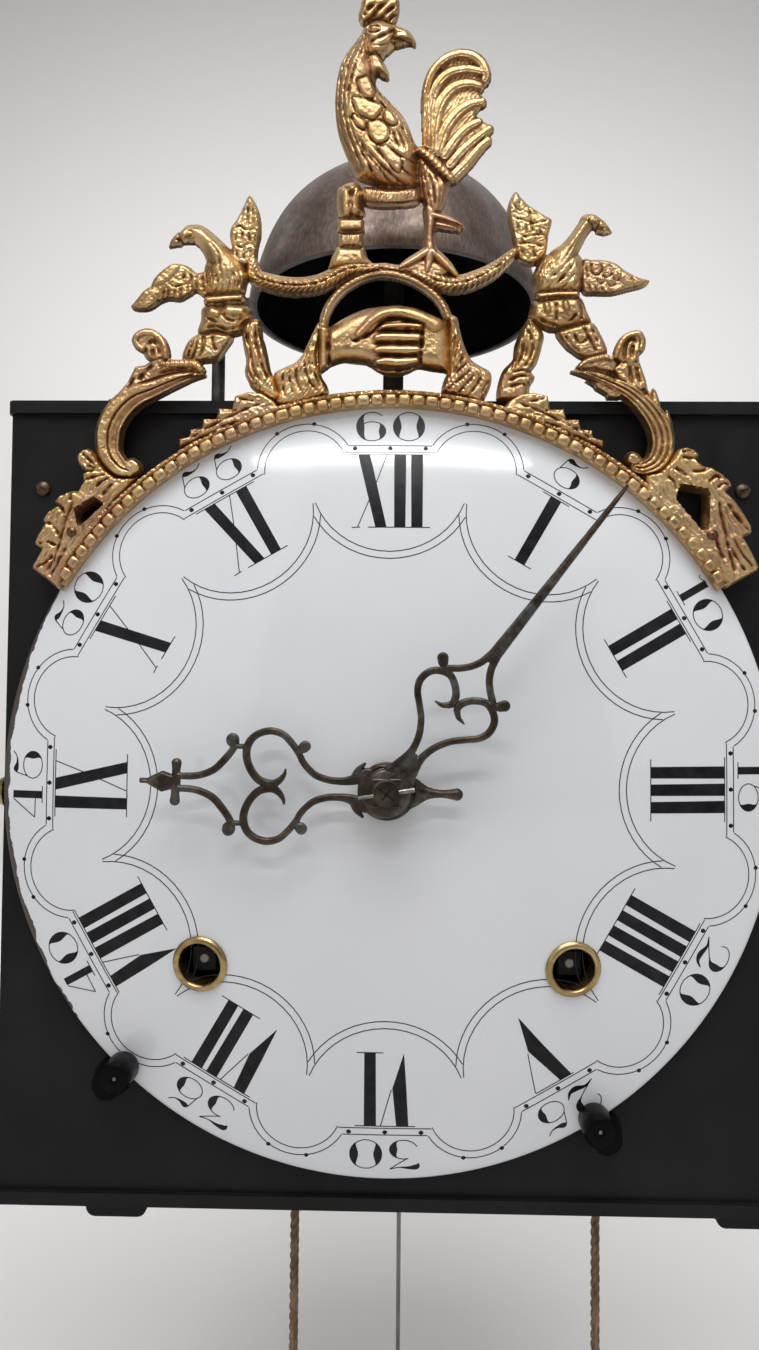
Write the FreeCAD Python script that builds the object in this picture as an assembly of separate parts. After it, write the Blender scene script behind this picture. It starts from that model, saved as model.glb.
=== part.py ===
import FreeCAD
import Part
import math
import os
from FreeCAD import Vector

# Comtoise clock, millimetres. X to the right seen from the front, the front towards -Y, Z up.
# Z = 0 is the underside of the feet.

# Case
CASE_W = 245.0            # across the top and bottom plates
CASE_H = 252.0            # underside of the bottom plate to the top of the top plate
CASE_D = 154.0            # front lip to rear edge of the plates
PLATE_T = 4.0
LIP = 2.0                 # how far the plates stand out past the panels
SHEET_T = 1.2
FLANGE_D = 8.0            # folded side flange of the front panel
PANEL_INSET = 1.0         # side of the panel behind the edge of the plates
FOOT_H = 4.0
FOOT_W = 19.0
FOOT_R = 3.0
FOOT_INSET = (39.0, 11.0)  # middle of the left and right foot in from the edge of the plate
PILLAR_S = 9.0
PILLAR_INSET = 12.5       # middle of a pillar in from the edge of the plate
TENON_R = 3.0
FIT = 0.05                # running and seating clearance
GAP = 0.4                 # clearance between pieces that pass each other

# Dial and hands
DIAL_R = 120.0
DIAL_RISE = 16.0
DIAL_T = 2.2
DIAL_UP = 5.0             # dial centre above the middle of the case
HUB_HOLE_R = 7.5
PANEL_HOLE_R = 10.5
WIND_X = 55.5
WIND_DROP = 53.0          # winding holes below the dial centre
GROMMET_R = 8.4
GROMMET_BORE = 6.2
GROMMET_NECK = 7.0
GROMMET_T = 1.4
SCREW_OUT = 1.0           # panel screws outside the middle of the pillars
SCREW_DROP = 28.0         # panel screws below the top plate's top
SCREW_HEAD_R = 2.5
SCREW_HEAD_H = 1.8
SCREW_R = 1.3
PEG_R = 4.6
PEG_HEAD_R = 5.6
PEG_LEN = 15.0
PEG_ANGLES = (227.2, 302.4)
HOUR_TIME = 178.0         # direction of the hour hand, degrees from +X
MINUTE_TIME = 52.3
HAND_T = 1.6
HAND_STROKE = 1.8
HOUR_GAP = 5.8            # hour hand in front of the dome
HAND_SPACE = 3.4          # hour hand to minute hand
HUB_R = 8.2

# Fronton
BAND_LAP = 2.2            # how far the beaded band laps over the dial
BAND_W = 5.0
BAND_T = 4.6
BAND_HALF = 59.0          # half the angle that the beaded band spans
CAST_T = 5.5
FRONTON_X = -1.0          # middle of the figures
NAIL_AT = (-82.08, 64.58)  # hundredths of the dial's radius from its centre
NAIL_R = 1.0
NAIL_HEAD_R = 1.9
FINGER_R = 1.9

# Bell and hammer
BELL_R = 57.5
BELL_H = 57.0
BELL_T = 3.2
BELL_ABOVE_CASE = 60.0    # lip of the bell above the top plate
POST_S = 8.0
STAND_FOOT = 20.0
BELL_SCREW_R = 3.0
BELL_NUT_H = 6.0
HAMMER_X = -80.0
HAMMER_Y = 50.0
HAMMER_R = 3.0
HAMMER_HEAD_R = 5.0
HAMMER_HEAD_L = 12.0
BELL_GAP = 1.8

# Movement
BAR_W = 14.0
BAR_T = 4.0
CENTRE_BAR_W = 24.0
CENTRE_X = 5.0            # line of the escapement and pendulum
FRONT_BAR_Y = -52.0
REAR_BAR_Y = 44.0
ARBOR_R = 2.0
PIVOT_R = 1.3
BARREL_ARBOR_R = 4.0
BARREL_PIVOT_R = 3.0
SQUARE_S = 7.0
SQUARE_BEHIND = 6.0       # winding square's end behind the dial's front
DRUM_R = 19.5
DRUM_Y = (-40.0, 14.0)
DRUM_FLANGE_R = 27.0
DRUM_FLANGE_T = 2.0
RATCHET_TEETH = 24
RATCHET_R = 23.0
RATCHET_T = 2.5
GREAT_Y = 20.0
GREAT_T = 3.0
WHEEL_T = 2.5
GREAT_TEETH = 72
SECOND_TEETH = 48
THIRD_TEETH = 45
LEAVES = 6
GREAT_M = 1.36
STRIKE_SECOND_M = 1.2
GOING_SECOND_M = 1.95
THIRD_M = 1.05
ESCAPE_TEETH = 30
ESCAPE_R = 20.0
ESCAPE_Y = -20.0
PALLET_SPAN = 7.5         # teeth between the pallets
PALLET_CLEAR = 0.6
SECOND_Y = 30.0
THIRD_Y = 8.0
PIN_COUNT = 8
PIN_R = 1.5
PIN_CIRCLE = 22.0
PIN_LEN = 6.0
PIN_START = 145.0
TAIL_GAP = 1.0
DRIVE_TEETH = 36
CANNON_LEAVES = 12
MOTION_TEETH = 36
MOTION_LEAVES = 10
HOUR_TEETH = 40
MOTION_M = 1.36
MOTION_DIRECTION = 215.0
MOTION_T = 2.0
DRIVE_Y = -57.0
MOTION_Y = -61.5
HOUR_Y = -66.0
MINUTE_R = 3.6
PIPE_R = 5.6
FLY_R = 17.0
FLY_L = 28.0

# Pendulum, ropes and hooks
PEND_FORWARD = 1.9        # pendulum in front of the middle of the space behind the rear bars
PEND_R = 0.95
CRUTCH_L = 62.0
PEND_END = -134.0
EYE_R = 3.5
SUSPENSION_R = 1.2
ROPE_D = 3.4
ROPE_Y = -16.0
ROPE_END = -86.0
WINDING_TURNS = 8
HOOK_R = 1.6
HOOK_BEND = 6.0
ROPE_SLOT_W = 14.0
ROPE_SLOT_Y = (-31.0, 20.0)
PEND_SLOT_W = 52.0
PEND_SLOT_D = 14.0

# Doors
DOOR_TUBE_R = 2.8
DOOR_PIN_R = 1.5
KNOB_R = 5.5
KNOB_L = 8.0
LATCH_W = 7.0

# Levels worked out from the sizes above
Z_BOT = FOOT_H
Z_IN0 = Z_BOT + PLATE_T
Z_TOP = Z_BOT + CASE_H
Z_IN1 = Z_TOP - PLATE_T
MIDDLE_Z = Z_BOT + CASE_H / 2.0
DIAL_Z = MIDDLE_Z + DIAL_UP
LATCH_Z = MIDDLE_Z
HALF_W = CASE_W / 2.0
PILLAR_X = HALF_W - PILLAR_INSET
SCREW_X = PILLAR_X + SCREW_OUT
FOOT_X = (FOOT_INSET[0] - HALF_W, HALF_W - FOOT_INSET[1])
FOOT_L = CASE_D - 2.0 * LIP
BAND_IN = DIAL_R - BAND_LAP
BAND_OUT = BAND_IN + BAND_W
LIP_Y = -CASE_D / 2.0
FRONT_Y = LIP_Y + LIP
BACK_Y = CASE_D / 2.0 - LIP
PEND_Y = (REAR_BAR_Y + BAR_T + BACK_Y - SHEET_T) / 2.0 - PEND_FORWARD
RIM_Y = LIP_Y - DIAL_T
APEX_Y = RIM_Y - DIAL_RISE
DOME_R = (DIAL_R ** 2 + DIAL_RISE ** 2) / (2.0 * DIAL_RISE)
SIDE_X = HALF_W - PANEL_INSET
WIND_Z = DIAL_Z - WIND_DROP
PILLAR_Y = -FRONT_Y - SHEET_T - PILLAR_S / 2.0
HOUR_HAND_Y = APEX_Y - HOUR_GAP
MINUTE_HAND_Y = HOUR_HAND_Y - HAND_T - HAND_SPACE
BELL_Z = Z_TOP + BELL_ABOVE_CASE
ROPE_RUN = DRUM_R + ROPE_D / 2.0 + GAP

parts = {}


# Drawing helpers

def box(x0, x1, y0, y1, z0, z1):
    return Part.makeBox(x1 - x0, y1 - y0, z1 - z0, Vector(x0, y0, z0))


def rod_x(y, z, r, x0, x1):
    return Part.makeCylinder(r, x1 - x0, Vector(x0, y, z), Vector(1, 0, 0))


def rod_y(x, z, r, y0, y1):
    return Part.makeCylinder(r, y1 - y0, Vector(x, y0, z), Vector(0, 1, 0))


def rod_z(x, y, r, z0, z1):
    return Part.makeCylinder(r, z1 - z0, Vector(x, y, z0), Vector(0, 0, 1))


def fuse(*shapes):
    return shapes[0].multiFuse(list(shapes[1:])).removeSplitter()


def around_y(points, x, z):
    """Turned piece: radius and y of each point of its section, about an axis along Y."""
    wire = Part.makePolygon([Vector(x + r, y, z) for r, y in points + points[:1]])
    return Part.Face(wire).revolve(Vector(x, 0, z), Vector(0, 1, 0), 360)


def polygon_plate(points, y0, y1):
    wire = Part.makePolygon([Vector(x, y0, z) for x, z in points + points[:1]])
    return Part.Face(wire).extrude(Vector(0, y1 - y0, 0))


def outline_wire(runs, y):
    """Closed outline: a run of two points is a straight line, a longer one a curve through them."""
    edges = []
    for run in runs:
        points = [Vector(x, y, z) for x, z in run]
        if len(points) == 2:
            edges.append(Part.makeLine(points[0], points[1]))
        else:
            curve = Part.BSplineCurve()
            curve.interpolate(points)
            edges.append(curve.toShape())
    return Part.Wire(edges)


def outline_plate(runs, y0, y1):
    return Part.Face(outline_wire(runs, y0)).extrude(Vector(0, y1 - y0, 0))


def round_plate(points, y0, y1):
    """Plate whose outline is one smooth closed curve through the points."""
    curve = Part.BSplineCurve()
    curve.interpolate(Points=[Vector(x, y0, z) for x, z in points], PeriodicFlag=True)
    return Part.Face(Part.Wire(curve.toShape())).extrude(Vector(0, y1 - y0, 0))


def stroke(points, width, y0, y1):
    """Flat bar of one width along a curve through the points."""
    curve = Part.BSplineCurve()
    curve.interpolate([Vector(x, y0, z) for x, z in points])
    first, last = curve.FirstParameter, curve.LastParameter
    steps = 2 * len(points)
    left, right = [], []
    for i in range(steps + 1):
        at = first + (last - first) * i / steps
        here = curve.value(at)
        along = curve.tangent(at)[0]
        side = Vector(-along.z, 0, along.x) * (width / 2.0)
        left.append(here + side)
        right.insert(0, here - side)
    outline = left + right
    return Part.Face(Part.makePolygon(outline + outline[:1])).extrude(Vector(0, y1 - y0, 0))


def mirror_x(shape, x):
    return shape.mirror(Vector(x, 0, 0), Vector(1, 0, 0))


def polar(x, z, r, angle):
    return (x + r * math.cos(angle), z + r * math.sin(angle))


def heading(a, b):
    return math.atan2(b[1] - a[1], b[0] - a[0])


def toothed(centre, teeth, root_r, tip_r, root_share, tip_share, phase, y0, y1):
    """Disc with straight-sided teeth; a tooth stands at the phase angle."""
    step = 2.0 * math.pi / teeth
    points = []
    for i in range(teeth):
        at = phase + i * step
        points.append(polar(centre[0], centre[1], root_r, at - root_share * step / 2.0))
        points.append(polar(centre[0], centre[1], tip_r, at - tip_share * step / 2.0))
        points.append(polar(centre[0], centre[1], tip_r, at + tip_share * step / 2.0))
        points.append(polar(centre[0], centre[1], root_r, at + root_share * step / 2.0))
    return polygon_plate(points, y0, y1)


def crossings(centre, hub_r, rim_r, arm_w, y0, y1):
    """The four windows between the arms of a wheel."""
    ring = rod_y(centre[0], centre[1], rim_r, y0, y1).cut(rod_y(centre[0], centre[1], hub_r, y0, y1))
    for turn in (0, 90):
        arm = box(-rim_r, rim_r, y0, y1, -arm_w / 2.0, arm_w / 2.0)
        arm.rotate(Vector(0, 0, 0), Vector(0, 1, 0), turn + 45)
        arm.translate(Vector(centre[0], 0, centre[1]))
        ring = ring.cut(arm)
    return ring


def wheel(centre, teeth, module, toward, y0, thick):
    """Crossed-out clock wheel with a tooth on the line to its mate."""
    pitch_r = teeth * module / 2.0
    root_r = pitch_r - 1.15 * module
    rim = toothed(centre, teeth, root_r, pitch_r + 0.75 * module, 0.5, 0.14,
                  heading(centre, toward), y0, y0 + thick)
    return rim.cut(crossings(centre, 8.0, root_r - 3.2, 4.0, y0, y0 + thick))


def pinion(centre, leaves, module, toward, y0, y1):
    """Pinion with a gap on the line to its mate."""
    pitch_r = leaves * module / 2.0
    phase = heading(centre, toward) + math.pi / leaves
    return toothed(centre, leaves, pitch_r - 1.0 * module, pitch_r + 0.45 * module, 0.34, 0.16,
                   phase, y0, y1)


def train_arbor(centre):
    """Plain arbor with its two pivots in the bars."""
    body = rod_y(centre[0], centre[1], ARBOR_R, FRONT_BAR_Y + BAR_T + GAP, REAR_BAR_Y - GAP)
    pivot = rod_y(centre[0], centre[1], PIVOT_R, FRONT_BAR_Y, REAR_BAR_Y + BAR_T)
    return fuse(body, pivot)


def bent_wire(points, bend, r):
    """Round wire along straight runs joined by arcs of the same bend radius."""
    edges = []
    start = Vector(*points[0])
    for i in range(1, len(points) - 1):
        corner = Vector(*points[i])
        back = (Vector(*points[i - 1]) - corner).normalize()
        ahead = (Vector(*points[i + 1]) - corner).normalize()
        half = back.getAngle(ahead) / 2.0
        reach = bend / math.tan(half)
        entry = corner + back * reach
        leave = corner + ahead * reach
        middle = (back + ahead).normalize()
        top = corner + middle * (bend / math.sin(half) - bend)
        if start.distanceToPoint(entry) > 0.001:
            edges.append(Part.makeLine(start, entry))
        edges.append(Part.Arc(entry, top, leave).toShape())
        start = leave
    last = Vector(*points[-1])
    if start.distanceToPoint(last) > 0.001:
        edges.append(Part.makeLine(start, last))
    path = Part.Wire(edges)
    along = (Vector(*points[1]) - Vector(*points[0])).normalize()
    ring = Part.Wire(Part.Circle(Vector(*points[0]), along, r).toShape())
    return path.makePipeShell([ring], True, False)


# Places of the arbors in the plane of the dial
GOING = (WIND_X, WIND_Z)
STRIKE = (-WIND_X, WIND_Z)
GREAT_REACH = GREAT_M * (GREAT_TEETH + LEAVES) / 2.0
SECOND = (WIND_X, WIND_Z + GREAT_REACH)
PIN_WHEEL = (-WIND_X, WIND_Z + GREAT_REACH)
SECOND_REACH = GOING_SECOND_M * (SECOND_TEETH + LEAVES) / 2.0
SECOND_SIDE = WIND_X - CENTRE_X
THIRD = (CENTRE_X, SECOND[1] + math.sqrt(SECOND_REACH ** 2 - SECOND_SIDE ** 2))
THIRD_REACH = THIRD_M * (THIRD_TEETH + LEAVES) / 2.0
ESCAPE = (CENTRE_X, THIRD[1] + THIRD_REACH)
PALLET_ANGLE = PALLET_SPAN * math.pi / ESCAPE_TEETH
ANCHOR = (CENTRE_X, ESCAPE[1] + ESCAPE_R / math.cos(PALLET_ANGLE))
WARNING = (-WIND_X, PIN_WHEEL[1] + STRIKE_SECOND_M * (SECOND_TEETH + LEAVES) / 2.0)
FLY = (-WIND_X, WARNING[1] + THIRD_REACH)
HUB = (0.0, DIAL_Z)
DRIVE_M = math.hypot(SECOND[0] - HUB[0], SECOND[1] - HUB[1]) / DRIVE_TEETH
MOTION_REACH = MOTION_M * (CANNON_LEAVES + MOTION_TEETH) / 2.0
MOTION = polar(HUB[0], HUB[1], MOTION_REACH, math.radians(MOTION_DIRECTION))
HOUR_M = 2.0 * MOTION_REACH / (MOTION_LEAVES + HOUR_TEETH)


# Castings and hands are drawn to the dial: hundredths of its radius from its centre
def on_cast(u, v):
    return (HUB[0] + u * DIAL_R / 100.0, HUB[1] + v * DIAL_R / 100.0)


def cast_plate(runs, y0, y1):
    return outline_plate([[on_cast(u, v) for u, v in run] for run in runs], y0, y1)


def cast_round(points, y0, y1):
    return round_plate([on_cast(u, v) for u, v in points], y0, y1)


def cast_bulge(u, v, r):
    x, z = on_cast(u, v)
    return Part.makeSphere(r, Vector(x, RELIEF_Y, z))


# Feet: two flat iron runners with rounded front ends
feet = []
for x in FOOT_X:
    runner = box(x - FOOT_W / 2, x + FOOT_W / 2, -FOOT_L / 2, FOOT_L / 2, 0, FOOT_H)
    low = [e for e in runner.Edges
           if abs(e.BoundBox.ZMax) < 1e-6 and e.BoundBox.YLength > FOOT_W]
    feet.append(runner.makeFillet(FOOT_R, low))
parts["feet"] = Part.makeCompound(feet)

# Plates with the tenon holes of pillars and bars
BARS = ((-WIND_X, BAR_W), (WIND_X, BAR_W), (CENTRE_X, CENTRE_BAR_W))
BAR_TENON = 8.0


def plate(z0):
    body = box(-HALF_W, HALF_W, LIP_Y, -LIP_Y, z0, z0 + PLATE_T)
    corners = [e for e in body.Edges if e.BoundBox.ZLength > PLATE_T / 2]
    body = body.makeFillet(2.5, corners)
    holes = []
    for x in (-PILLAR_X, PILLAR_X):
        for y in (-PILLAR_Y, PILLAR_Y):
            holes.append(rod_z(x, y, TENON_R + FIT, z0, z0 + PLATE_T))
    for x, width in BARS:
        for y in (FRONT_BAR_Y, REAR_BAR_Y):
            half = BAR_TENON / 2 + FIT
            holes.append(box(x - half, x + half, y - FIT, y + BAR_T + FIT, z0, z0 + PLATE_T))
    for side in (-1, 1):
        holes.append(rod_z(side * DOOR_X, DOOR_Y, DOOR_PIN_R + FIT, z0, z0 + PLATE_T))
    return body.cut(Part.makeCompound(holes))


DOOR_X = SIDE_X - DOOR_TUBE_R
DOOR_Y = PILLAR_Y
bottom = plate(Z_BOT)
for x in (STRIKE[0] + ROPE_RUN, GOING[0] + ROPE_RUN):
    slot = box(x - ROPE_SLOT_W / 2, x + ROPE_SLOT_W / 2, ROPE_SLOT_Y[0], ROPE_SLOT_Y[1], Z_BOT, Z_IN0)
    bottom = bottom.cut(slot)
swing = box(CENTRE_X - PEND_SLOT_W / 2, CENTRE_X + PEND_SLOT_W / 2,
            PEND_Y - PEND_SLOT_D / 2, PEND_Y + PEND_SLOT_D / 2, Z_BOT, Z_IN0)
parts["bottom_plate"] = bottom.cut(swing)
top = plate(Z_IN1)
parts["top_plate"] = top.cut(rod_z(HAMMER_X, HAMMER_Y, HAMMER_R + FIT, Z_IN1, Z_TOP))

# Pillars: square posts with round tenons through both plates
pillars = []
for x in (-PILLAR_X, PILLAR_X):
    for y in (-PILLAR_Y, PILLAR_Y):
        half = PILLAR_S / 2
        post = box(x - half, x + half, y - half, y + half, Z_IN0, Z_IN1)
        post = fuse(post, rod_z(x, y, TENON_R, Z_BOT, Z_TOP))
        if y < 0:
            post = post.cut(rod_y(math.copysign(SCREW_X, x), Z_TOP - SCREW_DROP, SCREW_R + FIT,
                                  y - half, y))
        pillars.append(post)
parts["pillars"] = Part.makeCompound(pillars)


# Bars: upright straps with tenons in the plates and a hole for each pivot
def bar(x, width, y, pivots):
    strap = box(x - width / 2, x + width / 2, y, y + BAR_T, Z_IN0, Z_IN1)
    half = BAR_TENON / 2
    strap = fuse(strap, box(x - half, x + half, y, y + BAR_T, Z_BOT, Z_TOP))
    for centre, r in pivots:
        strap = strap.cut(rod_y(centre[0], centre[1], r + FIT, y, y + BAR_T))
    return strap


STRIKE_PIVOTS = [(STRIKE, BARREL_PIVOT_R), (PIN_WHEEL, PIVOT_R), (WARNING, PIVOT_R), (FLY, PIVOT_R)]
CENTRE_PIVOTS = [(THIRD, PIVOT_R), (ESCAPE, PIVOT_R), (ANCHOR, PIVOT_R)]
front_bars = [
    bar(-WIND_X, BAR_W, FRONT_BAR_Y, STRIKE_PIVOTS),
    bar(WIND_X, BAR_W, FRONT_BAR_Y, [(GOING, BARREL_PIVOT_R), (SECOND, ARBOR_R)]),
    bar(CENTRE_X, CENTRE_BAR_W, FRONT_BAR_Y, CENTRE_PIVOTS + [(HUB, MINUTE_R)]),
]
arm_y0, arm_y1 = FRONT_BAR_Y, FRONT_BAR_Y + BAR_T
motion_arm = box(MOTION[0] - 6, CENTRE_X - CENTRE_BAR_W / 2, arm_y0, arm_y1, MOTION[1] - 6, MOTION[1] + 6)
motion_stud = rod_y(MOTION[0], MOTION[1], ARBOR_R, HOUR_Y - 1.5, arm_y0)
front_bars[2] = fuse(front_bars[2], motion_arm, motion_stud)
parts["front_bars"] = Part.makeCompound(front_bars)
rear_bars = [
    bar(-WIND_X, BAR_W, REAR_BAR_Y, STRIKE_PIVOTS),
    bar(WIND_X, BAR_W, REAR_BAR_Y, [(GOING, BARREL_PIVOT_R), (SECOND, PIVOT_R)]),
    bar(CENTRE_X, CENTRE_BAR_W, REAR_BAR_Y, [(THIRD, PIVOT_R), (ESCAPE, PIVOT_R), (ANCHOR, ARBOR_R)]),
]
parts["rear_bars"] = Part.makeCompound(rear_bars)

# Front panel: one sheet with folded side flanges
panel = box(-SIDE_X, SIDE_X, FRONT_Y, FRONT_Y + SHEET_T, Z_IN0, Z_IN1)
for side in (-1, 1):
    inner = side * (SIDE_X - SHEET_T)
    outer = side * SIDE_X
    panel = panel.fuse(box(min(inner, outer), max(inner, outer), FRONT_Y, FRONT_Y + FLANGE_D, Z_IN0, Z_IN1))
panel = panel.removeSplitter()
peg_places = [polar(HUB[0], HUB[1], DIAL_R + PEG_R + FIT, math.radians(a)) for a in PEG_ANGLES]
screw_places = [(-SCREW_X, Z_TOP - SCREW_DROP), (SCREW_X, Z_TOP - SCREW_DROP)]
nail_places = [on_cast(NAIL_AT[0], NAIL_AT[1]), on_cast(-NAIL_AT[0], NAIL_AT[1])]
cuts = [rod_y(HUB[0], HUB[1], PANEL_HOLE_R, FRONT_Y, FRONT_Y + SHEET_T)]
for place, r in ([(GOING, PANEL_HOLE_R), (STRIKE, PANEL_HOLE_R)]
                 + [(p, SCREW_R + FIT) for p in screw_places]
                 + [(p, NAIL_R + FIT) for p in nail_places]
                 + [(p, PEG_R / 2 + FIT) for p in peg_places]):
    cuts.append(rod_y(place[0], place[1], r, FRONT_Y, FRONT_Y + SHEET_T))
parts["front_panel"] = panel.cut(Part.makeCompound(cuts))


def slotted_screw(place, y, inward):
    """Round-headed screw at (x, z): head outside the plane y, shank inward."""
    dome = [(0, -SCREW_HEAD_H), (SCREW_HEAD_R * 0.6, -SCREW_HEAD_H * 0.85),
            (SCREW_HEAD_R, -SCREW_HEAD_H * 0.35), (SCREW_HEAD_R, 0), (SCREW_R, 0), (SCREW_R, 5.5), (0, 5.5)]
    body = around_y([(r, y + inward * d) for r, d in dome], place[0], place[1])
    depth = y - inward * SCREW_HEAD_H
    groove = box(place[0] - SCREW_HEAD_R, place[0] + SCREW_HEAD_R, depth - 0.7, depth + 0.7,
                 place[1] - 0.4, place[1] + 0.4)
    groove.rotate(Vector(place[0], 0, place[1]), Vector(0, 1, 0), -20)
    return body.cut(groove)


parts["panel_screws"] = Part.makeCompound([slotted_screw(p, FRONT_Y, 1) for p in screw_places])

# Rear panel: plain sheet standing on the rear pillars
REAR_HALF = DOOR_X - DOOR_TUBE_R - GAP
rear = box(-REAR_HALF, REAR_HALF, BACK_Y - SHEET_T, BACK_Y, Z_IN0, Z_IN1)
parts["rear_panel"] = rear


# Side doors: sheet with a rolled rear edge on two hinge pins, closed by a turn latch
def door(side):
    inner, outer = side * (SIDE_X - SHEET_T), side * SIDE_X
    front = FRONT_Y + FLANGE_D + GAP
    z0, z1 = Z_IN0 + GAP, Z_IN1 - GAP
    sheet = box(min(inner, outer), max(inner, outer), front, DOOR_Y, z0, z1)
    rolled = rod_z(side * DOOR_X, DOOR_Y, DOOR_TUBE_R, z0, z1)
    leaf = fuse(sheet, rolled)
    leaf = leaf.cut(rod_z(side * DOOR_X, DOOR_Y, DOOR_PIN_R + FIT, z0, z1))
    x0, x1 = sorted((side * (SIDE_X - 2 * SHEET_T), side * (SIDE_X + SHEET_T)))
    return leaf.cut(rod_x(LATCH_Y, LATCH_Z, ARBOR_R + FIT, x0, x1))


LATCH_Y = FRONT_Y + FLANGE_D + LATCH_W + 1.5


def latch(side):
    """Knob, stem and tongue in one, turning in the door; the tongue stands up while it is unlatched."""
    face = SIDE_X + GAP
    section = [(0, 0), (KNOB_R * 0.5, 0), (KNOB_R * 0.42, KNOB_L * 0.4), (KNOB_R, KNOB_L * 0.65),
               (KNOB_R * 0.8, KNOB_L * 0.92), (0, KNOB_L)]
    wire = Part.makePolygon([Vector(face + d, LATCH_Y, LATCH_Z + r) for r, d in section + section[:1]])
    knob = Part.Face(wire).revolve(Vector(0, LATCH_Y, LATCH_Z), Vector(1, 0, 0), 360)
    tongue_x1 = SIDE_X - SHEET_T - GAP
    stem = rod_x(LATCH_Y, LATCH_Z, ARBOR_R, tongue_x1 - 2.0, face + KNOB_L * 0.5)
    reach = LATCH_Y - (FRONT_Y + SHEET_T + GAP + 1.5)
    tongue = box(tongue_x1 - 2.0, tongue_x1, LATCH_Y - LATCH_W / 2, LATCH_Y + LATCH_W / 2,
                 LATCH_Z - LATCH_W / 2, LATCH_Z + reach)
    body = fuse(knob, stem, tongue)
    return body if side > 0 else mirror_x(body, 0)


parts["left_door"] = door(-1)
parts["right_door"] = door(1)
parts["left_latch"] = latch(-1)
parts["right_latch"] = latch(1)
pins = []
for side in (-1, 1):
    for z0, z1 in ((Z_BOT, Z_IN0 + 8.0), (Z_IN1 - 8.0, Z_TOP)):
        pins.append(rod_z(side * DOOR_X, DOOR_Y, DOOR_PIN_R, z0, z1))
parts["door_pins"] = Part.makeCompound(pins)


# Dial: thin dome of enamelled copper, standing on the lip and the pegs
def dome_y(r):
    return RIM_Y - DIAL_RISE * (1.0 - (r / DIAL_R) ** 2)


def dome_cap(offset, r):
    """Solid under the dome's surface, set back by offset, out to radius r."""
    centre = Vector(HUB[0], APEX_Y + DOME_R, HUB[1])
    ball = Part.makeSphere(DOME_R - offset, centre)
    return ball.common(rod_y(HUB[0], HUB[1], r, APEX_Y - 5.0, LIP_Y))


def dial_normal(place):
    """Point on the dome in front of (x, z) and the outward direction there."""
    flat = math.hypot(place[0] - HUB[0], place[1] - HUB[1])
    depth = APEX_Y + DOME_R - math.sqrt(DOME_R ** 2 - flat ** 2)
    point = Vector(place[0], depth, place[1])
    out = (point - Vector(HUB[0], APEX_Y + DOME_R, HUB[1])).normalize()
    return point, out


dial = dome_cap(0.0, DIAL_R).cut(dome_cap(DIAL_T, DIAL_R + 1.0))
dial = dial.cut(rod_y(HUB[0], HUB[1], HUB_HOLE_R, APEX_Y - 5, LIP_Y))
grommets = []
for place in (STRIKE, GOING):
    point, out = dial_normal(place)
    back = point - out * (DIAL_T + 2.0)
    dial = dial.cut(Part.makeCylinder(GROMMET_NECK + FIT, DIAL_T + 8.0, point - out * (DIAL_T + 4.0), out))
    neck = Part.makeCylinder(GROMMET_NECK, DIAL_T + 2.0 + GROMMET_T, back, out)
    collar = Part.makeCylinder(GROMMET_R, GROMMET_T, point + out * 0.12, out)
    ring = fuse(neck, collar).cut(Part.makeCylinder(GROMMET_BORE, 20.0, back - out, out))
    grommets.append(ring)
parts["dial"] = dial
parts["winding_grommets"] = Part.makeCompound(grommets)

# Dial pegs: stepped round pegs whose shoulder carries the rim and whose head laps over it
PEG_LAP = RIM_Y - 0.8
pegs = []
for x, z in peg_places:
    shoulder = PEG_HEAD_R + 0.3
    section = [(0, FRONT_Y + SHEET_T + 2.0), (PEG_R / 2, FRONT_Y + SHEET_T + 2.0), (PEG_R / 2, FRONT_Y),
               (shoulder, FRONT_Y), (shoulder, LIP_Y), (PEG_R, LIP_Y), (PEG_R, PEG_LAP),
               (PEG_HEAD_R, PEG_LAP), (PEG_HEAD_R * 0.93, FRONT_Y - PEG_LEN + 1.5),
               (PEG_HEAD_R * 0.7, FRONT_Y - PEG_LEN), (0, FRONT_Y - PEG_LEN)]
    pegs.append(around_y(section, x, z))
parts["dial_pegs"] = Part.makeCompound(pegs)


# Barrels with their rope windings
def barrel(centre):
    x, z = centre
    y0, y1 = DRUM_Y
    square_end = dial_normal(centre)[0].y + SQUARE_BEHIND
    arbor = rod_y(x, z, BARREL_ARBOR_R, FRONT_BAR_Y + BAR_T + GAP, GREAT_Y + GREAT_T + 4.0)
    pivots = rod_y(x, z, BARREL_PIVOT_R, FRONT_BAR_Y - 1.0, REAR_BAR_Y + BAR_T)
    half = SQUARE_S / 2
    square = box(x - half, x + half, square_end, FRONT_BAR_Y - 1.0, z - half, z + half)
    drum = rod_y(x, z, DRUM_R, y0, y1)
    front = rod_y(x, z, DRUM_FLANGE_R, y0 - DRUM_FLANGE_T, y0)
    back = rod_y(x, z, DRUM_FLANGE_R, y1, y1 + DRUM_FLANGE_T)
    step = 2 * math.pi / RATCHET_TEETH
    saw = []
    for i in range(RATCHET_TEETH):
        saw.append(polar(x, z, RATCHET_R, i * step))
        saw.append(polar(x, z, RATCHET_R - 2.2, i * step + 0.12 * step))
    ratchet = polygon_plate(saw, y1 + DRUM_FLANGE_T, y1 + DRUM_FLANGE_T + RATCHET_T)
    return fuse(arbor, pivots, square, drum, front, back, ratchet)


def winding(centre):
    """Outer form of the wound rope: a sleeve of one layer on the drum."""
    x, z = centre
    y0 = ROPE_Y + ROPE_D / 2 + GAP
    y1 = y0 + WINDING_TURNS * ROPE_D
    return rod_y(x, z, DRUM_R + ROPE_D, y0, y1).cut(rod_y(x, z, DRUM_R, y0, y1))


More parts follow.
